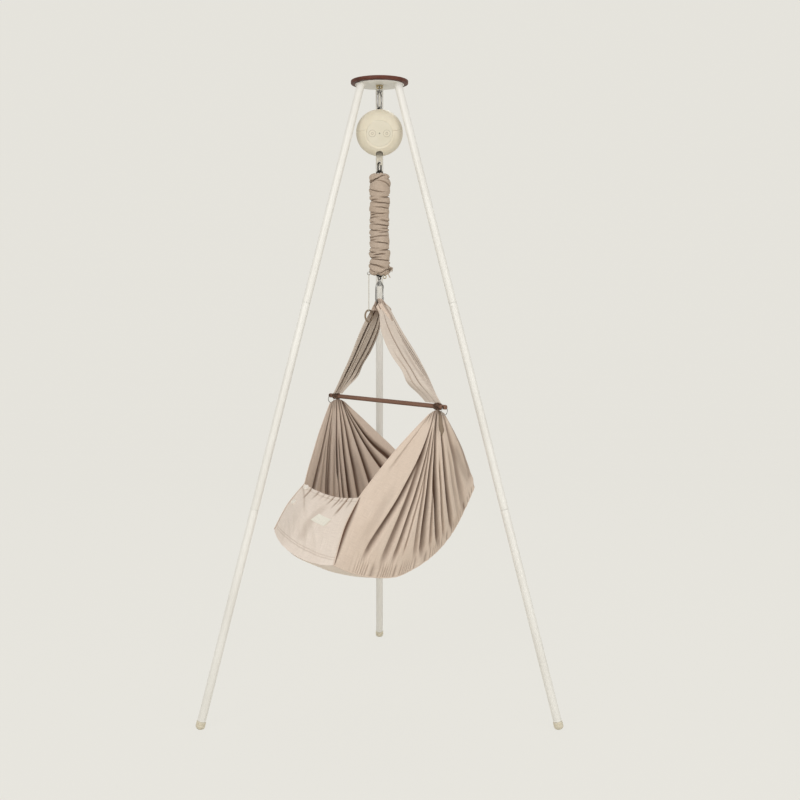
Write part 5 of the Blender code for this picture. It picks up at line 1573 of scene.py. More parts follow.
@dataclass
class Suspension:
    """What hangs between the motor and the cradle: strap, link, spring, cover, hook and cord."""

    strap_width: float = 0.0170
    strap_thickness: float = 0.0020
    strap_bottom: float = 1.5515
    strap_top: float = 1.6448
    strap_hole: float = 0.00475
    link_wire: float = 0.0045
    link_half: float = 0.0085
    link_top: float = 1.5590
    link_bottom: float = 1.5290
    link_turn: float = 60.0
    link_clearance: float = 0.0008
    spring_wire: float = 0.0060
    spring_radius: float = 0.0140
    spring_loop: float = 0.0110
    spring_turns: int = 36
    cover_radius: float = 0.0285
    cover_waist: float = 0.0265
    cover_top: float = 1.5255
    cover_bottom: float = 1.2284
    cover_shoulder: float = 0.013
    cover_mouth: float = 0.0165
    cover_creases: int = 46
    eye_radius: float = 0.0075
    eye_wire: float = 0.0045
    eye_height: float = 1.2215
    barrel_top: float = 1.2085
    barrel_height: float = 0.0095
    barrel_radius: float = 0.0065
    stem: float = 0.0035
    rivet_radius: float = 0.005
    hook: SnapHook = SnapHook(40.0, 0.0130, 0.0055, 1.1455, 1.1640, 1.1930, 0.0010, 0.0035)
    ring_centre: tuple[float, float, float] = (-0.0314, 0.0, 1.2330)
    cord_radius: float = 0.00125
    cord_half: float = 0.0085
    cord_gap: float = 0.0010
    small_ring: float = 0.0042
    small_wire: float = 0.0010
    loop_height: float = 1.1080
    loop_half: float = 0.0170
    loop_wire: float = 0.0020
    seat: float = 0.0003

    @property
    def link_across(self) -> Vector:
        """The level direction in the link's plane."""
        return direction(self.link_turn)

    @property
    def link_normal(self) -> Vector:
        """The level direction square to the link."""
        return direction(self.link_turn + 90.0)

    def build_strap(self) -> None:
        """Build the flat lift strap with its sewn lower end, and the oval link."""
        middle = (self.strap_top + self.strap_bottom) / 2
        height = self.strap_top - self.strap_bottom
        work = bmesh.new()
        bmesh.ops.create_cube(work, size=1.0)
        size = (self.strap_width, self.strap_thickness, height)
        bmesh.ops.scale(work, vec=size, verts=work.verts)
        bmesh.ops.bevel(
            work, geom=work.edges[:], offset=0.0006, affect="EDGES", segments=4, profile=0.5,
            material=-1,
        )
        shifted(work, Z * middle)
        level = self.link_top - self.link_wire / 2 - self.link_clearance + self.strap_hole
        hole = lathe(rod(self.strap_hole, -0.01, 0.01), 48)
        strap = carved(work, turned(hole, Matrix.Translation(Z * level) @ spin(90.0, "X")))
        rows = []
        for row in (0.0135, 0.0165):
            for stitch in range(6):
                seam = lathe(softened(rod(0.00028, -0.0009, 0.0009), 0.0002, 3), 10)
                spot = Vector((-0.0065 + 0.0026 * stitch, -self.strap_thickness / 2,
                               self.strap_bottom + row))
                rows.append(turned(seam, Matrix.Translation(spot) @ spin(90.0, "Y")))
        eyelet = wire_ring(self.strap_hole + 0.0004, 0.0006, 12)
        face = Vector((0.0, -self.strap_thickness / 2, level))
        place_piece(joined(strap, *rows, shifted(eyelet, face)), "strap", TAPE, Carrier.LIFT,
                    ["lift_strap"])
        upper = Z * (self.link_top - self.link_half)
        lower = Z * (self.link_bottom + self.link_half)
        path = arc(upper, self.link_half, self.link_across, Z, 0.0, 180.0, 20)
        path += arc(lower, self.link_half, self.link_across, Z, 180.0, 360.0, 20)
        place_piece(
            sweep(path, self.link_wire / 2, 20, True), "link", DARK, Carrier.LIFT, ["lift_link"],
        )

    def spring_line(self) -> list[Vector]:
        """Give the spring's centreline: a hook, close turns and a hook."""
        top = self.link_bottom + self.link_wire / 2 + self.seat + self.spring_wire / 2
        bottom = (self.eye_height + self.eye_radius - self.eye_wire / 2 - self.seat
                  - self.spring_wire / 2)
        middle = (top + bottom) / 2
        path = arc(Z * (top - self.spring_loop), self.spring_loop, self.link_normal, Z,
                   10.0, 262.0, 20)
        under = top - 2 * self.spring_loop
        for step in range(1, 12):
            share = step / 12
            angle = math.radians(90.0 + 270.0 * share)
            radius = self.spring_radius * math.sin(0.5 * math.pi * share)
            level = radius * (
                math.cos(angle) * self.link_across + math.sin(angle) * self.link_normal
            )
            path.append(level + Z * (under - 0.006 * share))
        half_turns = self.spring_turns // 2
        steps = half_turns * 16
        for step in range(steps + 1):
            share = step / steps
            angle = 2 * math.pi * half_turns * share
            level = self.spring_radius * (
                math.cos(angle) * self.link_across + math.sin(angle) * self.link_normal
            )
            path.append(level + Z * (under - 0.006 + (middle - under + 0.006) * share))
        lower = []
        for point in reversed(path[:-1]):
            offset = point - Z * middle
            lower.append(Z * middle + 2 * offset.dot(self.link_across) * self.link_across - offset)
        return path + lower

    def build_spring(self) -> None:
        """Build the spring that stretches inside the cover."""
        piece = place_piece(
            sweep(self.spring_line(), 0.42 * self.spring_wire, 12), "coil", DARK, None,
            ["tension_spring"],
        )
        self.stretch(piece)

    def stretch(self, piece: bpy.types.Object) -> None:
        """Bake a piece's place into its mesh; it rides on no body.

        Args:
            piece: the piece.
        """
        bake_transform(piece)

    def cover_swell(self, share: float) -> float:
        """Give the cover's plain radius.

        Args:
            share: the place from top, 0, to bottom, 1.

        Returns:
            The radius.
        """
        half = (self.cover_top - self.cover_bottom) / 2
        place = 1.0 - 2.0 * share
        waist = self.cover_radius - (self.cover_radius - self.cover_waist) * math.cos(
            0.5 * math.pi * place) ** 2
        depth = min(1.0, half * (1.0 - abs(place)) / self.cover_shoulder)
        mouth = self.cover_mouth
        return mouth + (waist - mouth) * math.sqrt(max(0.0, 1.0 - (1.0 - depth) ** 2))

    def cover_fold(self, turn: float, share: float) -> float:
        """Give how deep the ruched cloth's creases are at a place.

        Args:
            turn: the angle round in radians.
            share: the place from top, 0, to bottom, 1.

        Returns:
            0 on a roll and about 1 in a crease.
        """
        total = 0.0
        for index in range(self.cover_creases):
            # Each crease is a bent line part of the way round, with its own place and depth.
            middle = (index + 0.5) / self.cover_creases
            if abs(share - middle) > 0.09:
                continue
            seed = Vector((index * 3.7, 1.3, 0.4))
            centre = 2.4 * index + 2.0 * noise.noise(seed)
            ends = 1.0 - eased(share, 0.10, 0.26) + eased(share, 0.86, 0.97)
            slope = (0.010 + 0.034 * ends) * (1.0 if index % 2 else -1.0)
            off = math.remainder(turn - centre, 2 * math.pi)
            reach = math.exp(-(off / (1.25 + 0.7 * noise.noise(seed * 1.7))) ** 4)
            line = middle + 0.012 * noise.noise(seed * 2.3) + slope * math.sin(off)
            line += 0.004 * noise.noise(Vector((2.5 * math.cos(turn), 2.5 * math.sin(turn), index)))
            wide = 0.0052 + 0.0030 * noise.noise(seed * 0.9)
            strong = 0.75 + 0.5 * noise.noise(seed * 3.1)
            total += strong * reach * math.exp(-((share - line) / wide) ** 2)
        return min(total, 1.25)

    def cover_point(self, around: float, share: float) -> Vector:
        """Give a point of the cover.

        Args:
            around: the place round, from 0 to 1.
            share: the place from top, 0, to bottom, 1.

        Returns:
            The point.
        """
        turn = 2 * math.pi * around
        radius = self.cover_swell(share)
        height = self.cover_top + (self.cover_bottom - self.cover_top) * share
        ends = 1.0 - eased(min(share, 1.0 - share), 0.0, 0.09)
        # Rolls and creases, then the frilled mouths, then soft lumps along the middle.
        fold = self.cover_fold(turn, share)
        radius += (0.0020 - 0.0070 * fold) * (1.0 - 0.3 * ends)
        wobble = noise.noise(Vector((math.cos(turn), math.sin(turn), 4.0)))
        frill = math.sin(15 * turn + 2.0 * wobble)
        radius += 0.0014 * ends * frill
        lump = noise.noise(Vector((math.cos(turn), math.sin(turn), 16.0 * share)))
        radius += 0.0038 * lump * (1.0 - ends)
        sway = 0.0008 * math.sin(9.0 * share)
        lift = 0.0035 * ends * noise.noise(Vector((2 * math.cos(turn), 2 * math.sin(turn), 7.0)))
        height += lift * (1.0 - 2 * share)
        return Vector((radius * math.cos(turn) + sway, radius * math.sin(turn), height))

    def ruffle_point(self, across: float, out: float) -> Vector:
        """Give a point of the frilled end of cloth beside the cover's bottom.

        Args:
            across: the place along the frill.
            out: the place from its root to its free edge.

        Returns:
            The point.
        """
        angle = math.radians(-38.0 + 74.0 * across)
        wave = math.sin(5.5 * math.pi * across) * (0.25 + 0.75 * out)
        radius = 0.0235 + 0.0150 * math.sin(0.5 * math.pi * out) + 0.0014 * wave
        drop = 0.010 - 0.020 * across
        height = self.cover_bottom + 0.025 + drop * 0.25 - 0.010 * out + 0.0062 * wave * out
        return Vector((radius * math.cos(angle), radius * math.sin(angle), height))

    def build_cover(self) -> None:
        """Build the gathered cover, its frilled end and the small tail under it."""
        # Painted shade: the cover's creases, and the frill towards its root, are darkened through
        # the fold attribute.
        cover = place_cloth(
            cloth_grid(144, 300, self.cover_point, (0.18, 0.62),
                       lambda a, s: min(1.0, 0.85 * self.cover_fold(2 * math.pi * a, s)),
                       wrapped=True),
            "cover", COVER_COTTON, 0.0010, ["spring_cover"], -1.0, None,
        )
        self.stretch(cover)
        frill = place_cloth(
            cloth_grid(72, 16, self.ruffle_point, (0.05, 0.014), lambda a, s: 0.7 * (1.0 - s)),
            "cover_frill", COVER_COTTON, 0.0010, carrier=Carrier.SPRING_END,
        )
        path = [
            Vector((0.0225, -0.004, 1.2400)), Vector((0.0255, -0.006, 1.2330)),
            Vector((0.0275, -0.007, 1.2270)), Vector((0.0315, -0.008, 1.2200)),
        ]
        tail = place_piece(
            sweep(smooth_path(path, 16), 0.0021, 14, False, 0.4, lambda s: 0.7 + 0.5 * s),
            "cover_tail", COVER_COTTON, Carrier.SPRING_END,
        )
        ring_place = Vector((0.0153, 0.0, self.cover_bottom - self.seat - 0.0012 - 0.0045))
        ring = shifted(wire_ring(0.0045, 0.0012, 16), ring_place)
        place_piece(ring, "cover_loop", BRASSY, Carrier.SPRING_END, ["cover_ring"])

    def build_swivel(self) -> None:
        """Build the eye on the spring's lower hook, with its headed post."""
        eye = wire_ring(self.eye_radius, self.eye_wire / 2, 20, Z * self.eye_height,
                        self.link_across)
        low = self.barrel_top - self.barrel_height - self.seat
        post = lathe(softened([
            (0.0, low - 0.003), (self.rivet_radius, low - 0.003), (self.rivet_radius, low),
            (self.stem, low), (self.stem, self.eye_height - self.eye_radius),
            (0.0, self.eye_height - self.eye_radius),
        ], 0.0006), 40)
        washer = lathe(softened([
            (self.stem + 0.0001, self.barrel_top + 0.0002), (0.0055, self.barrel_top + 0.0002),
            (0.0055, self.barrel_top + 0.0012), (self.stem + 0.0001, self.barrel_top + 0.0012),
        ], 0.0003), 40)
        place_piece(joined(eye, post, washer), "swivel", BRIGHT, Carrier.SPRING_END, ["swivel_eye"])

    def build_hook(self) -> None:
        """Build the lower snap hook and its gate."""
        top, height, radius = self.barrel_top, self.barrel_height, self.barrel_radius
        bore = self.stem + self.seat
        barrel = lathe(softened([
            (bore, top - height), (radius, top - height), (radius, top - height + 0.0025),
            (radius - 0.0006, top - height + 0.0030), (radius - 0.0006, top - 0.0030),
            (radius, top - 0.0025), (radius, top), (bore, top), (bore, top - height),
        ], 0.0005), 48)
        hook = self.hook
        start, bend = top - 0.0045, top - 0.0090
        frame = hook.frame(
            [(0.0065, start), (0.0100, bend), (hook.half - 0.0005, top - 0.0190)],
            [(0.0065, start), (0.0105, bend), (hook.half, hook.shoulder + 0.0020),
             (hook.half, hook.shoulder)],
            (22, 28, 16),
        )
        made = joined(barrel, *frame)
        place_piece(made, "carrier_hook", BRIGHT, Carrier.CRADLE, ["lower_hook"])
        place_piece(hook.gate_rod(), "carrier_gate", BRIGHT, Carrier.LOWER_GATE, ["lower_gate"])

    def build_cord(self) -> None:
        """Build the small ring beside the cover and the thin cord loop under it."""
        centre = Vector(self.ring_centre)
        ring = wire_ring(self.small_ring, self.small_wire, 14, centre)
        place_piece(ring, "small_ring", BRIGHT, Carrier.SPRING_END, ["cord_ring"])
        half, radius = self.cord_half, self.cord_radius
        spot = Vector((centre.x, centre.y, 0.0))
        top = centre.z - self.small_ring + self.small_wire + self.seat + radius
        bottom = self.loop_height + self.loop_half - self.loop_wire - self.cord_gap - radius
        upper, lower = spot + Z * (top - half), spot + Z * (bottom + half)
        path = arc(upper, half, Y, Z, 90.0, 180.0, 8)
        path += [upper.lerp(lower, step / 12) - Y * half for step in range(1, 12)]
        path += arc(lower, half, Y, Z, 180.0, 360.0, 16)
        path += [lower.lerp(upper, step / 12) + Y * half for step in range(1, 12)]
        path += arc(upper, half, Y, Z, 0.0, 84.0, 8)
        cord = place_piece(
            sweep(path, radius, 12, True), "thin_cord", CORD, Carrier.SPRING_END, ["safety_cord"],
        )

    def build(self) -> None:
        """Build everything between the motor and the cradle."""
        self.build_strap()
        self.build_spring()
        self.build_cover()
        self.build_swivel()
        self.build_hook()
        self.build_cord()


# ---------------------------------------------------------------- sling and bar

STRAP_CREASES = {
    1: (
        Crease(0.62, 0.97, 1.0, 0.022), Crease(0.50, 0.90, 0.45, 0.020, 0.3),
        Crease(0.46, 0.84, 0.60, 0.016, 0.25), Crease(0.40, 0.76, 0.55, 0.018, 0.38),
        Crease(0.20, 0.34, 0.40, 0.020, 0.05, 1.1), Crease(0.34, 0.55, 0.22, 0.050, 0.45),
        Crease(0.06, 0.16, 0.25, 0.020, 0.5), Crease(0.30, 0.66, 0.35, 0.016, 0.70),
    ),
    -1: (
        Crease(0.30, 0.16, 1.10, 0.050), Crease(0.74, 0.60, 0.95, 0.030),
        Crease(0.90, 0.84, 0.65, 0.035, -0.2, 0.9), Crease(0.46, 0.38, 0.30, 0.030, 0.2),
        Crease(0.10, 0.30, 0.40, 0.030, 0.5), Crease(0.98, 0.95, 0.5, 0.03, 0.1, 0.8),
    ),
}


@dataclass
class Sling:
    """The gathered cloth over the hook, its two straps, the bar with its cuffs, and the rings."""

    bow: float = 1.1455
    seat: float = 0.0003
    hook_wire: float = 0.0055
    loop_radius: float = 0.0055
    leg_bottom: float = 1.1280
    strap_widths: tuple = (
        ((0.014, 0.050, 0.060, 0.047, 0.052), (0.025, 0.025, 0.034, 0.029, 0.008)),
        ((0.014, 0.046, 0.050, 0.036, 0.028), (0.016, 0.024, 0.025, 0.022, 0.012)),
    )
    sag: float = 0.012
    side_centre: tuple[float, float, float] = (-0.0314, 0.0, 1.1080)
    side_half: tuple[float, float] = (0.0115, 0.0170)
    side_turn: float = 23.0
    bar_height: float = 0.858
    bar_offset: float = 0.0145
    bar_length: float = 0.526
    bar_radius: float = 0.0065
    bar_azimuth: float = -50.0
    bar_end: float = 0.0020
    hole_radius: float = 0.0038
    hole_inset: float = 0.0060
    cuff_inset: float = 0.033
    cuff_length: float = 0.026
    cuff_radius: float = 0.0150
    knot_radius: float = 0.0122
    ring_radius: float = 0.0110
    ring_wire: float = 0.0022

    @property
    def along(self) -> Vector:
        """The bar's direction, towards its front end."""
        return direction(self.bar_azimuth)

    @property
    def normal(self) -> Vector:
        """The level direction square to the bar."""
        return direction(self.bar_azimuth + 90.0)

    @property
    def centre(self) -> Vector:
        """The bar's middle."""
        return Vector((self.bar_offset, 0.0, self.bar_height))

    @property
    def arch(self) -> float:
        """The radius of the cloth loop's own line over the hook."""
        return self.hook_wire / 2 + self.seat + self.loop_radius

    def cuff_centre(self, side: int) -> Vector:
        """Give the middle of a cuff."""
        return self.centre + side * (self.bar_length / 2 - self.cuff_inset) * self.along

    def strap_fold(self, side: int, across: float, down: float) -> float:
        """Give how deep a strap's folds are at a place."""
        drift = 0.014 * noise.noise(Vector((2.0 * across, 4.0 * down, 5.0 * side)))
        return creased(STRAP_CREASES[side], across + drift, down)

    def strap_point(self, side: int, across: float, down: float) -> Vector:
        """Give a point on a strap, which spreads towards the inside of the sling.

        Args:
            side: 1 for the front strap and -1 for the back.
            across: the place across it.
            down: the place down it.

        Returns:
            The point.
        """
        top = side * self.arch * self.along + Z * (self.leg_bottom + 0.010)
        bottom = self.cuff_centre(side) + Z * (self.cuff_radius - 0.006)
        bow = self.sag * math.sin(math.pi * down ** 1.5)
        middle = top.lerp(bottom, down) - side * bow * self.along
        # The strap spreads to a different width on each side of its middle line.
        inner, outer = (curve_at([(width,) for width in widths], down)[0]
                        for widths in self.strap_widths[0 if side > 0 else 1])
        place = (2.0 * across - 1.0) * side
        gathered = eased(down, 0.62, 1.0)
        inward = -side * ((1.0 - gathered) * self.normal + gathered * self.along).normalized()
        out = place * outer * side * self.normal if place > 0.0 else -place * inner * inward
        # Its face is rounded at the edges and sunk in the folds.
        fold = self.strap_fold(side, across, down)
        thick = 0.0125 * math.sin(math.pi * min(max(down, 0.04), 0.96)) ** 0.5
        soft = 0.0030 * noise.noise(Vector((2.2 * across, 2.5 * down, 3.0 + side)))
        round_edge = 0.010 * (1.0 - place * place) ** 0.5 if abs(place) < 1.0 else 0.0
        height = round_edge - thick * fold + soft
        lap = 0.006 * fold * math.sin(math.pi * down)
        return middle + out + lap * self.normal + height * self.along

    def loop_point(self, around: float, down: float) -> Vector:
        """Give a point on the gathered hood over the hook, which widens down both sides.

        Args:
            around: the place round the bundle.
            down: the place along it, from the front leg to the back leg.

        Returns:
            The point.
        """
        leg = self.bow - self.leg_bottom + 0.004
        bend = math.pi * self.arch
        total = 2 * leg + bend
        travel = down * total
        if travel < leg:
            spot = self.arch * self.along + Z * (self.bow - leg + travel)
            out = self.along
        elif travel > total - leg:
            spot = -self.arch * self.along + Z * (self.bow - leg + total - travel)
            out = -self.along
        else:
            angle = (travel - leg) / self.arch
            out = math.cos(angle) * self.along + math.sin(angle) * Z
            spot = Z * self.bow + self.arch * out
        # Fine flutes run along the bundle, which widens and shifts away from the hook.
        turn = 2 * math.pi * around
        flutes = math.sin(11 * turn + 3.0 * noise.noise(
            Vector((math.cos(turn), math.sin(turn), 5 * down))))
        radius = self.loop_radius * (0.93 + 0.14 * flutes)
        outward = math.cos(turn)
        if outward < 0.0:
            radius = min(radius, self.loop_radius)
        spread = eased(abs(2 * down - 1), 0.10, 1.0)
        wide = radius * 1.5 + 0.021 * spread * (1.0 + 0.10 * flutes)
        shift = 0.008 * spread
        return spot + radius * outward * out + (shift + wide * math.sin(turn)) * self.normal

    def flap_point(self, across: float, down: float) -> Vector:
        """Give a point on the folded end of cloth that lies on the front strap under the hook.

        Args:
            across: the place across it.
            down: the place down it.

        Returns:
            The point.
        """
        path = curve_at([(-0.006, 0.0, 0.0), (0.004, 0.0, -0.018), (0.014, 0.0, -0.036),
                         (0.021, 0.0, -0.058)], down)
        wide = 0.011 + 0.005 * down
        bend = 0.004 * math.sin(math.pi * across) + 0.0022 * math.sin(3 * math.pi * across)
        front = self.arch * self.along + Z * (self.leg_bottom + 0.014)
        lead = Vector((0.86, 0.0, 0.50)) * (across - 0.5) * 2 * wide
        out = (0.0125 + 0.019 * down + bend) * Vector((0.0, -1.0, 0.0))
        return front + Vector(path) + lead + out

    def build_straps(self) -> None:
        """Build the gathered loop, the two pleated straps and the side loop."""
        # Painted shade: the loop's flutes and the flap's two folds are darkened through the fold
        # attribute.
        loop = cloth_grid(
            96, 90, self.loop_point, (0.12, 0.07),
            lambda a, s: 0.35 - 0.35 * math.sin(22 * math.pi * a), wrapped=True,
        )
        bmesh.ops.holes_fill(loop, edges=loop.edges, sides=0)
        loop = place_piece(loop, "gathered_loop", COTTON, Carrier.CRADLE, ["sling_loop"],
                           CLOTH_CREASE)
        flap = place_cloth(
            cloth_grid(40, 48, self.flap_point, (0.04, 0.06),
                       lambda a, s: 0.8 * math.exp(-((a - 0.36) / 0.07) ** 2)
                       + 0.5 * math.exp(-((a - 0.93) / 0.10) ** 2)),
            "hood_flap", COTTON, 0.0012,
        )
        # Painted shade in the straps' folds, and a painted shadow over the top of the back strap.
        for side, name, flat in ((1, "front", (0.13, 0.33)), (-1, "back", (0.11, 0.33))):
            strap = place_cloth(
                cloth_grid(
                    168, 130, lambda a, s, side=side: self.strap_point(side, a, s), flat,
                    lambda a, s, side=side: min(1.0, self.strap_fold(side, a, s) + (
                        0.8 * (1.0 - eased(s, 0.02, 0.22)) if side < 0 else 0.0)),
                ),
                f"strap_{name}", STRAP_COTTON, 0.0010, [f"sling_strap_{name}"],
            )
        centre = Vector(self.side_centre)
        level = direction(self.side_turn)
        path = []
        for step in range(64):
            angle = 2 * math.pi * step / 64
            path.append(
                centre + self.side_half[0] * math.cos(angle) * level
                + self.side_half[1] * math.sin(angle) * Z
            )
        side_loop = sweep(path, 0.0026, 20, True, 0.7)
        # The side loop takes the darker cotton as painted shade.
        place_piece(side_loop, "cord_loop", PAINTED_SHADE_COTTON, Carrier.CRADLE, ["side_loop"])

    def cuff_crinkle(self, side: int, around: float, down: float) -> tuple[float, float]:
        """Give how a cuff is crinkled at a place.

        Args:
            side: 1 for the front cuff and -1 for the back.
            around: the place round the bar.
            down: the place along the bar.

        Returns:
            How far it is from a crease, and how pinched it is, each from 0 to about 1.
        """
        turn = 2 * math.pi * around
        ring = Vector((math.cos(turn), math.sin(turn), 2.0 * down + 7.0 * side))
        crease = abs(noise.noise(1.6 * ring)) ** 0.6
        return crease, 0.5 + 0.5 * math.sin(11 * turn + 3.0 * noise.noise(ring))

    def cuff_point(self, side: int, around: float, down: float) -> Vector:
        """Give a point on a cuff: the cloth gathered round the bar.

        Args:
            side: 1 for the front cuff and -1 for the back.
            around: the place round the bar.
            down: the place along the bar.

        Returns:
            The point.
        """
        turn = 2 * math.pi * around
        place = 2.0 * down - 1.0
        crease, pinch = self.cuff_crinkle(side, around, down)
        inside = self.bar_radius + 0.0008
        swell = max(0.0, 1.0 - abs(place) ** 3.0) ** 0.5
        radius = inside + (self.knot_radius - inside) * swell
        radius -= 0.0030 * (1.0 - crease) * swell + 0.0014 * pinch * swell
        spot = self.cuff_centre(side) + place * (self.cuff_length / 2) * self.along
        return spot + max(radius, inside) * (math.cos(turn) * Z + math.sin(turn) * self.normal)

    def cuff_shade(self, side: int, around: float, down: float) -> float:
        """Give the painted shade on a cuff at a place, from 0 to 1."""
        crease, pinch = self.cuff_crinkle(side, around, down)
        return min(1.0, 0.9 * (1.0 - crease) ** 1.5 + 0.45 * pinch)

    def build_cuffs(self) -> None:
        """Build the two cuffs, and the short end of tape under the front one."""
        self.trim = {}
        # The cuffs are painted shade: a darker copy of the cotton, darker still in their creases
        # and pinches.
        for side, name in ((1, "front"), (-1, "back")):
            cuff = cloth_grid(
                96, 40, lambda a, s, side=side: self.cuff_point(side, a, s), (0.12, 0.05),
                lambda a, s, side=side: self.cuff_shade(side, a, s), wrapped=True,
            )
            self.trim[side] = [place_cloth(
                cuff, f"cuff_{name}", KNOT_PAINTED_SHADE_COTTON, 0.0008, [f"bar_cuff_{name}"], -1.0,
            )]
        spot = self.cuff_centre(1) - Z * self.cuff_radius

        def tail_point(across: float, down: float) -> Vector:
            """Give a point of the hanging end of tape: a narrow strip with a soft curl."""
            curl = 0.003 * math.sin(3.0 * down) + 0.0015 * math.sin(9.0 * down)
            wide = 0.0125 * (0.55 + 0.75 * down - 1.15 * eased(down, 0.72, 1.0))
            place = spot + Vector((0.0030 + 0.007 * down, -0.0085, 0.0035 - 0.070 * down))
            place += X * (across - 0.5) * wide + Y * 0.0015 * math.cos(math.pi * across)
            return place + X * 0.6 * curl - Y * (0.5 * curl + 0.003 * math.sin(math.pi * down))

        # The tail is painted shade: a darker cotton, darkest under the cuff and along its two
        # edges.
        self.trim[1].append(place_cloth(
            cloth_grid(
                12, 60, tail_point, (0.012, 0.076),
                lambda a, s: 0.75 * (1.0 - eased(s, 0.0, 0.25)) + 0.5 * abs(2.0 * a - 1.0) ** 3,
            ),
            "cuff_tail", PAINTED_SHADE_COTTON, 0.0010,
        ))

    def build_bar(self) -> None:
        """Build the wooden bar and the loose ring in each of its ends."""
        half = self.bar_length / 2
        steps = [(0.0, -half), (self.bar_radius, -half)]
        steps += [(self.bar_radius, half * (share / 12)) for share in range(-11, 12)]
        steps += [(self.bar_radius, half), (0.0, half)]
        bar = lathe(softened(steps, self.bar_end, 5), 48)
        holes = []
        for end in (-1, 1):
            place = Matrix.Translation(Z * end * (half - self.hole_inset)) @ spin(90.0, "X")
            holes.append(turned(lathe(rod(self.hole_radius, -0.02, 0.02), 32), place))
        bar = carved(bar, *holes)
        place = Matrix.Translation(self.centre) @ spin(self.bar_azimuth, "Z") @ spin(90.0, "Y")
        place_piece(turned(bar, place), "bar", BAR_WOOD, Carrier.CRADLE, ["spreader_bar"])
        for side, carrier in ((-1, Carrier.RING_BACK), (1, Carrier.RING_FRONT)):
            top = self.centre + side * (half - self.hole_inset) * self.along
            path = arc(top - Z * self.ring_radius, self.ring_radius, self.normal, Z, 0.0, 354.0, 59)
            place_piece(sweep(path, self.ring_wire / 2, 16, True), f"loose_{carrier.value}", BRIGHT,
                        carrier, [carrier.value])

    def build(self) -> None:
        """Build the sling, bar, cuffs and rings."""
        self.build_straps()
        self.build_cuffs()
        self.build_bar()


# ---------------------------------------------------------------- cradle

WALL_CREASES = {
    1: (
        Crease(0.38, 0.15, 0.95, 0.016, -0.2, 0.95), Crease(0.37, 0.285, 0.80, 0.018, 0.2, 0.97),
        Crease(0.43, 0.35, 0.85, 0.015, 0.12, 0.95), Crease(0.46, 0.42, 0.50, 0.009, 0.3, 0.9),
        Crease(0.42, 0.55, 0.65, 0.012, 0.15, 0.97), Crease(0.49, 0.585, 1.15, 0.014, 0.05, 0.98),
        Crease(0.54, 0.63, 0.80, 0.008, 0.3, 0.97), Crease(0.53, 0.69, 1.30, 0.014, -0.2, 0.99),
        Crease(0.60, 0.73, 0.75, 0.009, 0.35, 0.99), Crease(0.68, 0.80, 1.20, 0.017, -0.2, 1.0),
        Crease(0.80, 0.86, 0.35, 0.016, 0.3, 1.0), Crease(0.88, 0.90, 0.60, 0.018, 0.0, 1.1),
        Crease(0.10, 0.03, 0.28, 0.010, -0.2, 0.42), Crease(0.22, 0.12, 0.15, 0.03, 0.5, 0.9),
        Crease(0.88, 0.98, 0.30, 0.020, 0.35, 0.9), Crease(0.998, 0.985, 0.50, 0.020, 0.0, 0.9),
    ),
    -1: (
        Crease(0.16, 0.08, 0.80, 0.016, -0.2, 0.9), Crease(0.25, 0.33, 0.70, 0.018, 0.1, 1.0),
        Crease(0.30, 0.345, 0.70, 0.010, 0.2, 1.0), Crease(0.45, 0.48, 0.95, 0.020, -0.2, 0.55),
        Crease(0.46, 0.485, 0.65, 0.008, 0.3, 1.0), Crease(0.50, 0.53, 0.70, 0.010, 0.25, 1.0),
        Crease(0.575, 0.56, 0.95, 0.013, -0.2, 1.0), Crease(0.66, 0.61, 0.85, 0.016, -0.2, 0.9),
        Crease(0.77, 0.72, 0.95, 0.018, -0.2, 0.85), Crease(0.81, 0.90, 1.05, 0.014, -0.2, 1.0),
        Crease(0.86, 0.975, 1.15, 0.012, -0.2, 1.0), Crease(0.40, 0.40, 0.35, 0.02, 0.3, 1.0),
        Crease(0.66, 0.67, 0.30, 0.02, 0.4, 0.9), Crease(0.20, 0.22, 0.30, 0.02, 0.3, 0.9),
    ),
}


FOOT_CREASES = (
    Crease(0.14, 0.17, 0.75, 0.010, -0.2, 0.30), Crease(0.27, 0.29, 0.60, 0.010, -0.2, 0.24),
    Crease(0.38, 0.39, 0.35, 0.012, -0.2, 0.20), Crease(0.47, 0.47, 0.40, 0.012, -0.2, 0.20),
    Crease(0.555, 0.56, 0.80, 0.010, -0.2, 0.24), Crease(0.67, 0.67, 0.80, 0.010, -0.2, 0.28),
    Crease(0.73, 0.72, 0.55, 0.008, -0.2, 0.22), Crease(0.81, 0.76, 0.85, 0.012, -0.2, 0.38),
    Crease(0.90, 0.88, 0.50, 0.010, -0.2, 0.26), Crease(0.60, 0.42, 0.22, 0.040, 0.25, 0.85),
)


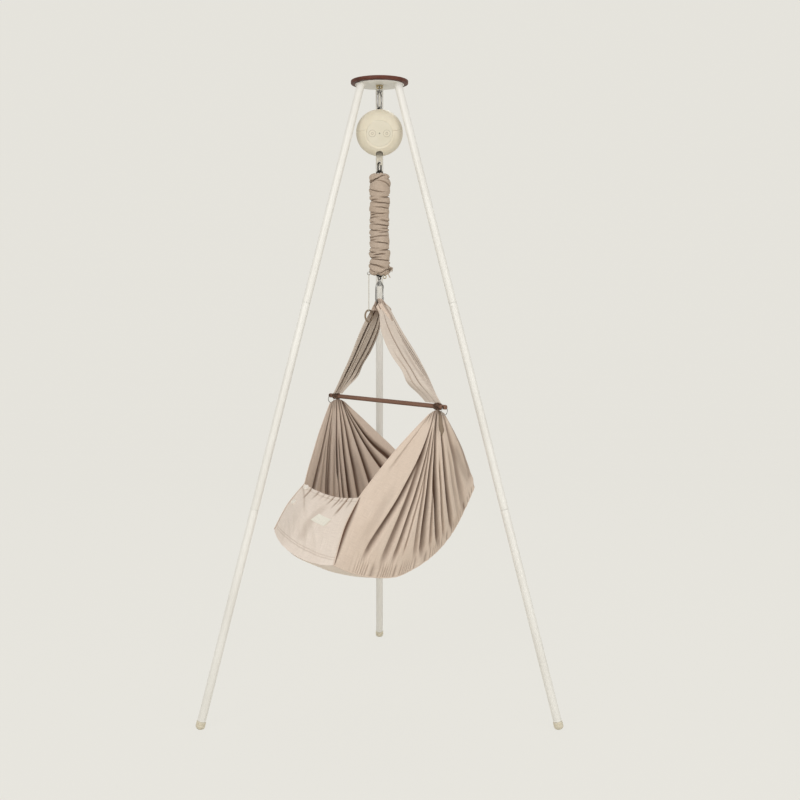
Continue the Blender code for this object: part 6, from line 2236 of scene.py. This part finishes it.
@dataclass
class Cradle:
    """The cloth cradle: two pleated walls, a floor, two end panels, a label and a mattress."""

    sling: Sling
    azimuth: float = -55.0
    cloth: float = 0.0012
    cad_cloth: float = 0.0020
    gather_width: float = 0.054
    gather_shift: float = 0.004
    gather_rise: float = 0.0065
    gather_fall: float = 0.011
    bulge: float = 0.016
    sides: tuple[float, float] = (0.137, -0.150)
    wall_flat: tuple[float, float] = (0.72, 0.50)
    hem_reach: float = 0.50
    hem_swell: tuple[float, float] = (0.012, 0.006)
    pleat_depth: float = 0.021
    head_billow: float = 0.014
    foot: float = 0.010
    head: float = 0.845
    floor_lift: float = 0.0040
    floor_sag: float = 0.016
    foot_sag: float = 0.019
    foot_reach: float = 0.032
    panel_bulge: float = 0.014
    panel_dip: float = 0.016
    panel_start: float = 0.0060
    seam_gap: float = 0.0014
    studs: tuple = ((0.065, 0.935), (0.060, 0.60))
    front_hem: tuple = ((-0.165, 0.611), (-0.214, 0.535), (-0.249, 0.434))
    front_edge: tuple = (
        (-0.249, 0.434), (-0.190, 0.405), (-0.130, 0.385), (-0.062, 0.374), (-0.010, 0.378),
        (0.075, 0.408), (0.142, 0.453), (0.195, 0.514), (0.248, 0.600),
    )
    back_hem: tuple = ((-0.166, 0.611), (-0.225, 0.555), (-0.2700, 0.488))
    back_edge: tuple = (
        (-0.2700, 0.488), (-0.190, 0.436), (-0.130, 0.403), (-0.062, 0.380), (-0.010, 0.376),
        (0.080, 0.396), (0.153, 0.446), (0.2095, 0.511), (0.248, 0.612),
    )
    mattress_thickness: float = 0.026
    mattress_inset: float = 0.018
    mattress_gap: float = 0.0022
    mattress_start: float = 0.09
    mattress_end: float = 0.86
    voxel: float = 0.005
    pressure: float = 4.0
    steps: int = 20
    swell_cap: float = 0.0035
    quilt_pitch: float = 0.052
    quilt_width: float = 0.0042
    quilt_depth: float = 0.0024

    @property
    def across(self) -> Vector:
        """The level direction from the back wall to the front wall."""
        return direction(self.azimuth)

    @property
    def along(self) -> Vector:
        """The level direction from the foot to the head."""
        return direction(self.azimuth + 90.0)

    def spot(self, side: int, along: float, height: float) -> Vector:
        """Give a point in a wall's plane."""
        across = self.sides[0] if side > 0 else self.sides[1]
        return across * self.across + along * self.along + Z * height

    def rim(self, side: int, share: float) -> Vector:
        """Give a point on a wall's lower edge."""
        return self.spot(side, *curve_at(self.front_edge if side > 0 else self.back_edge, share))

    def gather(self, side: int, share: float) -> Vector:
        """Give a point where a wall gathers under its cuff.

        Args:
            side: 1 for the front wall and -1 for the back.
            share: the place from foot to head.

        Returns:
            The point.
        """
        under = self.sling.cuff_centre(side) - Z * (self.sling.cuff_radius + 3 * self.sling.seat)
        fall = self.gather_rise - self.gather_fall * abs(2.0 * share - 1.0) ** 1.5
        place = (share - 0.5) * self.gather_width - side * self.gather_shift
        return under + place * self.along + Z * fall

    def hem_corner(self, side: int) -> float:
        """Give the depth at which a wall's foot hem meets the foot panel's top.

        Args:
            side: 1 for the front wall and -1 for the back.

        Returns:
            The depth as a share.
        """
        hem = self.front_hem if side > 0 else self.back_hem
        corner = self.spot(side, *hem[0])
        upper = (corner - self.gather(side, 0.0)).length
        lower = (self.spot(side, *hem[-1]) - corner).length
        return upper / (upper + lower)

    def hem_point(self, side: int, depth: float) -> Vector:
        """Give a point on a wall's foot hem.

        Args:
            side: 1 for the front wall and -1 for the back.
            depth: the place from the gather to the floor.

        Returns:
            The point.
        """
        hem = self.front_hem if side > 0 else self.back_hem
        swell = self.hem_swell[0 if side > 0 else 1]
        turn = self.hem_corner(side)
        if depth < turn:
            share = depth / turn
            straight = self.gather(side, 0.0).lerp(self.spot(side, *hem[0]), share)
            return straight - swell * math.sin(math.pi * share) * self.along
        return self.spot(side, *curve_at(hem, (depth - turn) / (1.0 - turn)))

    def plain_wall(self, side: int, share: float, depth: float) -> Vector:
        """Give a point on a wall without its pleats.

        Args:
            side: 1 for the front wall and -1 for the back.
            share: the place from foot to head.
            depth: the place from the gather, 0, to the lower edge, 1.

        Returns:
            The point.
        """
        point = self.gather(side, share).lerp(self.rim(side, share), depth)
        straight = self.gather(side, 0.0).lerp(self.rim(side, 0.0), depth)
        weight = max(0.0, 1.0 - share / self.hem_reach) ** 2
        point += weight * (self.hem_point(side, depth) - straight)
        bulge = self.bulge * math.sin(math.pi * depth) * math.sin(math.pi * share)
        return point + side * bulge * self.across

    def pleat(self, side: int, share: float, depth: float, finer: float = 1.0) -> float:
        """Give how deep a wall's pleats are at a place."""
        drift = 0.006 * noise.noise(Vector((5.0 * share, 3.0 * depth, 4.0 + side)))
        return creased(WALL_CREASES[side], share + drift, depth, finer + 0.5 * (1.0 - depth))

    def gathers(self, side: int, share: float) -> float:
        """Give the fine gathers along a wall's rim, from 0 to 1."""
        wobble = noise.noise(Vector((12.0 * share, 0.0, 6.0 * side)))
        return abs(math.sin(math.pi * (44.0 * share + 1.6 * wobble)))

    def wall_point(self, side: int, share: float, depth: float) -> Vector:
        """Give a point on a pleated wall.

        Args:
            side: 1 for the front wall and -1 for the back.
            share: the place from foot to head.
            depth: the place from the gather to the lower edge.

        Returns:
            The point.
        """
        # Pleats deepen away from the gather and fade near the lower edge.
        point = self.plain_wall(side, share, depth)
        size = self.pleat_depth * depth / (depth + 0.25) * (1.0 - 0.85 * eased(depth, 0.80, 1.0))
        fold = self.pleat(side, share, depth)
        height = size * (0.30 - fold) * side * eased(share, 0.0, 0.06)
        # Small gathers run along the rim, above the flat seam.
        rim = eased(depth, 0.86, 0.955) * (1.0 - 0.6 * eased(depth, 0.985, 1.0))
        height += 0.0042 * (self.gathers(side, share) - 0.55) * rim * eased(share, 0.06, 0.2)
        soft = noise.noise(Vector((5.0 * share, 4.0 * depth, 8.0 + side)))
        height += 0.0035 * soft * math.sin(math.pi * min(1.0, depth * 1.05)) ** 2
        seam = eased(depth, 0.955, 0.985)
        height = height * (1.0 - seam) + max(height, -0.0006) * seam
        billow = self.head_billow * math.sin(math.pi * depth) * eased(share, 0.80, 1.0)
        billow *= 1.0 if side > 0 else 0.15
        return point + side * height * self.across + billow * self.along

    def wall_shade(self, side: int, share: float, depth: float) -> float:
        """Give how much painted shade a wall's cloth has at a place, deep in its pleats and under
        its rim.

        Args:
            side: 1 for the front wall and -1 for the back.
            share: the place from foot to head.
            depth: the place from the gather to the lower edge.

        Returns:
            A share from 0 to 1.
        """
        fold = self.pleat(side, share, depth, 0.85) * (1.0 - 0.45 * eased(depth, 0.6, 1.0))
        # Painted shade in the fine gathers along the rim.
        near = eased(depth, 0.90, 0.95) * eased(share, 0.06, 0.2)
        fold += 0.55 * (1.0 - self.gathers(side, share)) ** 2 * near
        # Painted shadow: the front wall's hem shades the foot panel's edge under the corner, so the
        # wall's strip there is darkened.
        if side > 0 and depth > self.hem_corner(1):
            middle = math.sin(math.pi * (depth - self.hem_corner(1)) / (1.0 - self.hem_corner(1)))
            fold += 1.0 - eased(share, 0.004 + 0.010 * middle, 0.016 + 0.024 * middle)
        # Painted shade near the gather at the top of the wall, in stripes.
        painted_throat_shade = 0.75 * (1.0 - eased(depth, 0.01, 0.09)) * (0.5 + 0.5 * math.sin(62.0 * share))
        return min(1.0, fold + painted_throat_shade)

    def inner_point(self, side: int, share: float, depth: float) -> Vector:
        """Give a point just inside a wall."""
        clear = self.cad_cloth / 2 + self.seam_gap
        return self.plain_wall(side, share, depth) - side * clear * self.across

    def inner_edge(self, side: int, share: float) -> Vector:
        """Give a point just inside a wall near its lower edge."""
        fall = self.gather(side, share).z - self.rim(side, share).z
        return self.inner_point(side, share, 1.0 - self.floor_lift / fall)

    def floor_share(self, share: float) -> float:
        """Give the share along a wall's edge of a share along the floor."""
        return self.foot + (self.head - self.foot) * share

    def foot_swell(self, across: float, share: float) -> Vector:
        """Give how far the foot end hangs down and out.

        Args:
            across: the place across the cradle.
            share: the place away from the foot end.

        Returns:
            The move.
        """
        middle = max(0.0, math.sin(math.pi * across)) ** 0.65
        fade = max(0.0, 1.0 - share)
        return (-Z * self.foot_sag * middle * fade ** 2
                - self.along * self.foot_reach * middle * fade ** 4)

    def floor_point(self, share: float, across: float, inset: float = 0.0) -> Vector:
        """Give a point on the floor.

        Args:
            share: the place from foot to head.
            across: the place from back to front.
            inset: how far from the walls it starts.

        Returns:
            The point.
        """
        back = self.inner_edge(-1, self.floor_share(share))
        front = self.inner_edge(1, self.floor_share(share))
        margin = inset / (front - back).length
        place = margin + (1.0 - 2.0 * margin) * across
        end = math.sin(math.pi * min(max(share, 0.0), 1.0)) ** 0.5
        sag = self.floor_sag * math.sin(math.pi * place) * end
        return back.lerp(front, place) - Z * sag + self.foot_swell(place, share)

    def panel_point(self, end: int, across: float, up: float) -> Vector:
        """Give a point on an end panel.

        Args:
            end: -1 for the foot and 1 for the head.
            across: the place from back to front.
            up: the place from the floor to the hem.

        Returns:
            The point.
        """
        ends = []
        for side in (-1, 1):
            if end < 0:
                low = 1.0 - self.panel_start
                high = self.hem_corner(side) + self.panel_start
                ends.append(self.inner_point(side, self.foot / 2, low + (high - low) * up))
            else:
                low = self.floor_share(1.0) + self.panel_start
                ends.append(self.inner_edge(side, low + (0.985 - low) * up))
        bulge = self.panel_bulge * math.sin(math.pi * up) ** 2 * math.sin(math.pi * across)
        dip = self.panel_dip * up * math.sin(math.pi * across)
        point = ends[0].lerp(ends[1], across) + end * bulge * self.along - Z * dip
        if end < 0:
            point += self.foot_swell(across, up)
        return point

    def foot_point(self, across: float, up: float) -> Vector:
        """Give a point on the foot panel with its wrinkles and its elastic hem.

        Args:
            across: the place from back to front.
            up: the place from the floor to the hem.

        Returns:
            The point.
        """
        point = self.panel_point(-1, across, up)
        inside = math.sin(math.pi * across) ** 0.5 if 0.0 < across < 1.0 else 0.0
        # Broad swells, slanting ridges, drawn creases and a slightly raised hem.
        pull = noise.noise(Vector((3.0 * across, 2.6 * up, 1.0)))
        slant = noise.noise(Vector((7.0 * across + 4.0 * up, 2.0 * up - 1.0 * across, 5.0)))
        height = 0.0040 * pull + 0.0022 * (0.5 - abs(slant) * 2.0)
        height -= 0.0046 * self.foot_shade(across, up)
        hem = eased(up, 0.905, 0.925) * 0.0009
        return point - self.along * (height * inside + hem)

    def foot_shade(self, across: float, up: float) -> float:
        """Give how deep a place on the foot panel lies in its pulls, hem gathers and seams, for
        their depth and their painted shade.

        Args:
            across: the place from back to front.
            up: the place from the floor to the hem.

        Returns:
            0 on the smooth cloth and about 1 in a fold.
        """
        fold = creased(FOOT_CREASES, across, 1.0 - up, 1.5)
        pull = (up - 0.88 + 0.95 * (across - 0.02)) / 0.020
        near = (1.0 - eased(across, 0.22, 0.42)) * eased(up, 0.5, 0.6)
        fold += 0.32 * math.exp(-pull * pull) * near
        for level in (0.095, 0.125):
            seam = (up - level - 0.03 * math.sin(math.pi * across)) / 0.006
            fold += 0.30 * math.exp(-seam * seam)
        hem = (up - 0.905) / 0.008
        return min(1.0, fold + 0.25 * math.exp(-hem * hem))

    def stud(self, across: float, up: float) -> bmesh.types.BMesh:
        """Make a domed snap with a rolled rim on the foot panel.

        Args:
            across: the place from back to front.
            up: the place from the floor to the hem.

        Returns:
            The snap, in its place.
        """
        spot = self.foot_point(across, up)
        side = self.foot_point(across + 0.02, up) - spot
        rise = self.foot_point(across, up + 0.02) - spot
        out = side.cross(rise).normalized()
        out = out if out.dot(self.along) < 0.0 else -out
        profile = softened([
            (0.0, 0.0042), (0.0044, 0.0036), (0.0053, 0.0020), (0.0062, 0.0036), (0.0078, 0.0036),
            (0.0086, 0.0010), (0.0086, -0.0006), (0.0, -0.0006),
        ], 0.0006, 4)
        turn = out.to_track_quat("Z", "Y").to_matrix().to_4x4()
        return turned(lathe(profile, 40), Matrix.Translation(spot + out * self.cloth / 2) @ turn)

    def wrinkled_floor(self, share: float, across: float) -> Vector:
        """Give a point on the floor cloth with its soft wrinkles.

        Args:
            share: the place from foot to head.
            across: the place from back to front.

        Returns:
            The point.
        """
        point = self.floor_point(share, across)
        inside = math.sin(math.pi * min(max(across, 0.0), 1.0))
        ripple = noise.noise(Vector((9.0 * share, 3.0 * across, 2.0)))
        return point - Z * 0.0022 * (0.5 + ripple) * inside

    def label_point(self, across: float, up: float) -> Vector:
        """Give a point on the blank label.

        Args:
            across: the place across the label.
            up: the place up it.

        Returns:
            The point.
        """
        point = self.foot_point(
            0.517 + 0.223 * across + 0.055 * up, 0.524 - 0.047 * across + 0.117 * up,
        )
        return point - self.along * 0.0019

    def build_walls(self) -> None:
        """Build the two pleated walls with their hems."""
        flat = self.wall_flat
        for side, name in ((1, "front"), (-1, "back")):
            wall = place_cloth(
                cloth_grid(
                    320, 120, lambda s, t, side=side: self.wall_point(side, s, t), flat,
                    lambda s, t, side=side: self.wall_shade(side, s, t),
                ),
                f"cradle_wall_{name}", COTTON, self.cloth, [f"wall_{name}"],
            )
            edge = [self.wall_point(side, 0.003, step / 60) for step in range(61)]
            hem = place_piece(sweep(edge, 0.0016, 10), f"wall_hem_{name}", COTTON,
                              Carrier.CRADLE, (), CLOTH_CREASE)
            edge = [self.wall_point(side, step / 160, 0.997) for step in range(161)]
            seam = place_piece(sweep(edge, 0.0015, 10), f"wall_seam_{name}", COTTON,
                               Carrier.CRADLE, (), CLOTH_CREASE)

    def build_ends(self) -> None:
        """Build the floor, the foot and head panels, the studs and the label."""
        floor = place_cloth(
            cloth_grid(96, 64, self.wrinkled_floor, (0.44, 0.29)), "cradle_floor", PALE_COTTON,
            self.cloth, ["floor_panel"],
        )
        foot = place_cloth(
            cloth_grid(200, 130, self.foot_point, (0.34, 0.20), self.foot_shade),
            "cradle_foot", PALE_COTTON, self.cloth, ["foot_panel"],
        )
        head = place_cloth(
            cloth_grid(96, 48, lambda a, u: self.panel_point(1, a, u), (0.30, 0.11)),
            "cradle_head", COTTON, self.cloth, ["head_panel"],
        )
        label = place_cloth(
            cloth_grid(36, 12, self.label_point, (0.075, 0.028)), "blank_label", LABEL, 0.0010,
            ["label_patch"],
        )
        studs = place_piece(
            joined(*(self.stud(*place) for place in self.studs)), "panel_studs", SNAP,
            Carrier.CRADLE,
        )

    def mattress_point(self, share: float, across: float) -> Vector:
        """Give a point on the mattress's middle surface.

        Args:
            share: the place from foot to head.
            across: the place from back to front.

        Returns:
            The point.
        """
        share = self.mattress_start + (self.mattress_end - self.mattress_start) * share
        point = self.floor_point(share, across, self.mattress_inset)
        lengthways = self.floor_point(share + 0.01, across, self.mattress_inset) - point
        sideways = self.floor_point(share, across + 0.01, self.mattress_inset) - point
        normal = lengthways.cross(sideways).normalized()
        if normal.z < 0.0:
            normal = -normal
        height = self.cad_cloth / 2 + self.mattress_thickness / 2 + self.mattress_gap
        return point + normal * height

    def swollen(self, block: bpy.types.Object) -> bpy.types.Mesh:
        """Let a block's cloth puff up under a little pressure.

        Args:
            block: the plain block, which is used up.

        Returns:
            The puffed mesh, with one subdivision.
        """
        voxels = block.modifiers.new("Voxels", "REMESH")
        voxels.mode = "VOXEL"
        voxels.voxel_size = self.voxel
        mesh = evaluated(block)
        bpy.data.objects.remove(block)
        soft = linked("mattress_soft", mesh)
        cloth = soft.modifiers.new("Cloth", "CLOTH")
        cloth.settings.use_pressure = True
        cloth.settings.uniform_pressure_force = self.pressure
        cloth.settings.effector_weights.gravity = 0.0
        for number in range(1, self.steps + 1):
            bpy.context.scene.frame_set(number)
        blown = evaluated(soft)
        soft.modifiers.clear()
        for vert, puffed in zip(mesh.vertices, blown.vertices):
            move = puffed.co - vert.co
            vert.co += move * min(1.0, self.swell_cap / max(move.length, 1e-9))
        bpy.context.scene.frame_set(1)
        soft.modifiers.new("Smooth", "SUBSURF").levels = 1
        result = evaluated(soft)
        bpy.data.objects.remove(soft)
        return result

    def quilting(self, along: float, across: float) -> float:
        """Give how deep a place lies in the mattress's diamond quilting.

        Args:
            along: its place towards the head, in metres.
            across: its place towards the front wall, in metres.

        Returns:
            0 on a diamond and 1 on a sewn line.
        """
        total = 0.0
        for diagonal in (along + across, along - across):
            off = math.remainder(diagonal, self.quilt_pitch) / self.quilt_width
            total += math.exp(-off * off)
        return min(1.0, total)

    def build_mattress(self) -> None:
        """Build the padded mattress, puffed by a cloth simulation, with its quilted faces."""
        core = solid("mattress_core", cloth_grid(90, 60, self.mattress_point, (0.34, 0.24)))
        thicken(core, self.mattress_thickness - 0.003 - 2 * self.swell_cap)
        work = bmesh.new()
        work.from_mesh(self.swollen(core))
        work.normal_update()
        chart = work.loops.layers.uv.new("cloth")
        depth = work.verts.layers.float.new("fold")
        for face in work.faces:
            for loop in face.loops:
                loop[chart].uv = (loop.vert.co.dot(self.along), loop.vert.co.dot(self.across))
        # The sewn lines are sunk and also darkened as painted shade through the fold attribute.
        for vert in work.verts:
            faces_up = eased(abs(vert.normal.z), 0.5, 0.9)
            place = (vert.co.dot(self.along), vert.co.dot(self.across))
            vert[depth] = faces_up * self.quilting(*place)
            vert.co -= vert.normal * self.quilt_depth * vert[depth]
        piece = place_piece(work, "mattress_pad", TICKING, Carrier.CRADLE, ["mattress"],
                            CLOTH_CREASE)

    def build(self) -> None:
        """Build the whole cradle."""
        self.build_walls()
        self.build_ends()
        self.build_mattress()


# ---------------------------------------------------------------- studio


@dataclass
class Studio:
    """The pale floor and backdrop, the soft lamps and the camera."""

    background: tuple[float, float, float] = (232, 230, 223)
    camera_place: tuple[float, float, float] = (0.0, -3.4192, 1.146)
    focal_pixels: float = 1115.0
    axis_pixel: tuple[float, float] = (379.5, 303.0)
    frame: float = 800.0
    sensor: float = 36.0
    lamps: tuple = (
        ((-1.9, -3.6, 3.0), 2.4, 61.0), ((2.4, -3.0, 1.8), 2.6, 34.0), ((0.3, 1.8, 3.6), 2.0, 20.0),
    )

    def build_camera(self) -> None:
        """Set the camera at the photograph's place."""
        camera = linked("camera", bpy.data.cameras.new("camera"))
        camera.location = self.camera_place
        camera.rotation_euler = (math.radians(90.0), 0.0, 0.0)
        camera.data.sensor_width = self.sensor
        camera.data.lens = self.focal_pixels * self.sensor / self.frame
        camera.data.shift_x = (self.frame / 2 - self.axis_pixel[0]) / self.frame
        camera.data.shift_y = (self.axis_pixel[1] - self.frame / 2) / self.frame
        camera.data.clip_end = 60.0
        bpy.context.scene.camera = camera

    def seen(self, tree: bpy.types.NodeTree) -> bpy.types.NodeSocket:
        """Give 1 for what the camera, a reflection or a clear piece shows, else 0.

        Args:
            tree: the material's or world's nodes.

        Returns:
            The socket.
        """
        path = tree.nodes.new("ShaderNodeLightPath")
        total = None
        for kind in ("Is Camera Ray", "Is Glossy Ray", "Is Transmission Ray"):
            if total is None:
                total = path.outputs[kind]
                continue
            most = tree.nodes.new("ShaderNodeMath")
            most.operation = "MAXIMUM"
            tree.links.new(total, most.inputs[0])
            tree.links.new(path.outputs[kind], most.inputs[1])
            total = most.outputs[0]
        return total

    def build_stage(self) -> None:
        """Build the floor that rises into a backdrop."""
        work = bmesh.new()
        line = [Vector((-9.0, -6.5, 0.0)), Vector((-9.0, 4.0, 0.0))]
        line += arc(Vector((-9.0, 4.0, 2.0)), 2.0, Y, Z, -90.0, 0.0, 16)
        line.append(Vector((-9.0, 6.0, 7.0)))
        verts = [work.verts.new(point) for point in line]
        edges = [work.edges.new(pair) for pair in zip(verts, verts[1:])]
        made = bmesh.ops.extrude_edge_only(work, edges=edges)
        moved = [item for item in made["geom"] if isinstance(item, bmesh.types.BMVert)]
        bmesh.ops.translate(work, vec=X * 18.0, verts=moved)
        bmesh.ops.remove_doubles(work, verts=work.verts, dist=1e-6)
        bmesh.ops.recalc_face_normals(work, faces=work.faces)
        backdrop = solid("backdrop", work)
        material = bpy.data.materials.new("pale backdrop")
        material.use_nodes = True
        tree = material.node_tree
        shader = tree.nodes["Principled BSDF"]
        shader.inputs["Base Color"].default_value = tint(*self.background)
        shader.inputs["Roughness"].default_value = 0.9
        shader.inputs["Specular IOR Level"].default_value = 0.0
        glow = tree.nodes.new("ShaderNodeEmission")
        glow.inputs[0].default_value = tint(*self.background)
        mix = tree.nodes.new("ShaderNodeMixShader")
        share = tree.nodes.new("ShaderNodeMath")
        share.operation = "MULTIPLY"
        share.inputs[1].default_value = 0.93
        tree.links.new(self.seen(tree), share.inputs[0])
        tree.links.new(share.outputs[0], mix.inputs[0])
        tree.links.new(shader.outputs[0], mix.inputs[1])
        tree.links.new(glow.outputs[0], mix.inputs[2])
        tree.links.new(mix.outputs[0], tree.nodes["Material Output"].inputs[0])
        backdrop.data.materials.append(material)

    def build_lights(self) -> None:
        """Set the world's soft light and the lamps."""
        world = bpy.data.worlds.new("studio")
        bpy.context.scene.world = world
        world.use_nodes = True
        tree = world.node_tree
        sky = tree.nodes["Background"]
        sky.inputs[0].default_value = tint(240, 238, 234)
        sky.inputs[1].default_value = 0.66
        plain = tree.nodes.new("ShaderNodeBackground")
        plain.inputs[0].default_value = tint(*self.background)
        mix = tree.nodes.new("ShaderNodeMixShader")
        tree.links.new(self.seen(tree), mix.inputs[0])
        tree.links.new(sky.outputs[0], mix.inputs[1])
        tree.links.new(plain.outputs[0], mix.inputs[2])
        tree.links.new(mix.outputs[0], tree.nodes["World Output"].inputs[0])
        aim = Vector((0.0, -0.14, 0.95))
        for number, (place, size, power) in enumerate(self.lamps):
            lamp = bpy.data.lights.new(f"lamp_{number}", "AREA")
            lamp.shape = "DISK"
            lamp.size = size
            lamp.energy = power
            holder = linked(f"lamp_{number}", lamp)
            holder.location = place
            holder.rotation_euler = (aim - Vector(place)).to_track_quat("-Z", "Y").to_euler()
        bpy.context.scene.view_settings.view_transform = "Standard"


def main() -> None:
    """Build the hammock piece by piece."""
    logging.basicConfig(level=logging.INFO, format="%(name)s %(message)s")
    studio = Studio()
    studio.build_camera()
    stand = Stand()
    stand.build()
    Hanger(stand.plate_bottom).build()
    Motor().build()
    Suspension().build()
    sling = Sling()
    sling.build()
    Cradle(sling).build()
    studio.build_stage()
    studio.build_lights()


if __name__ == "__main__":
    main()
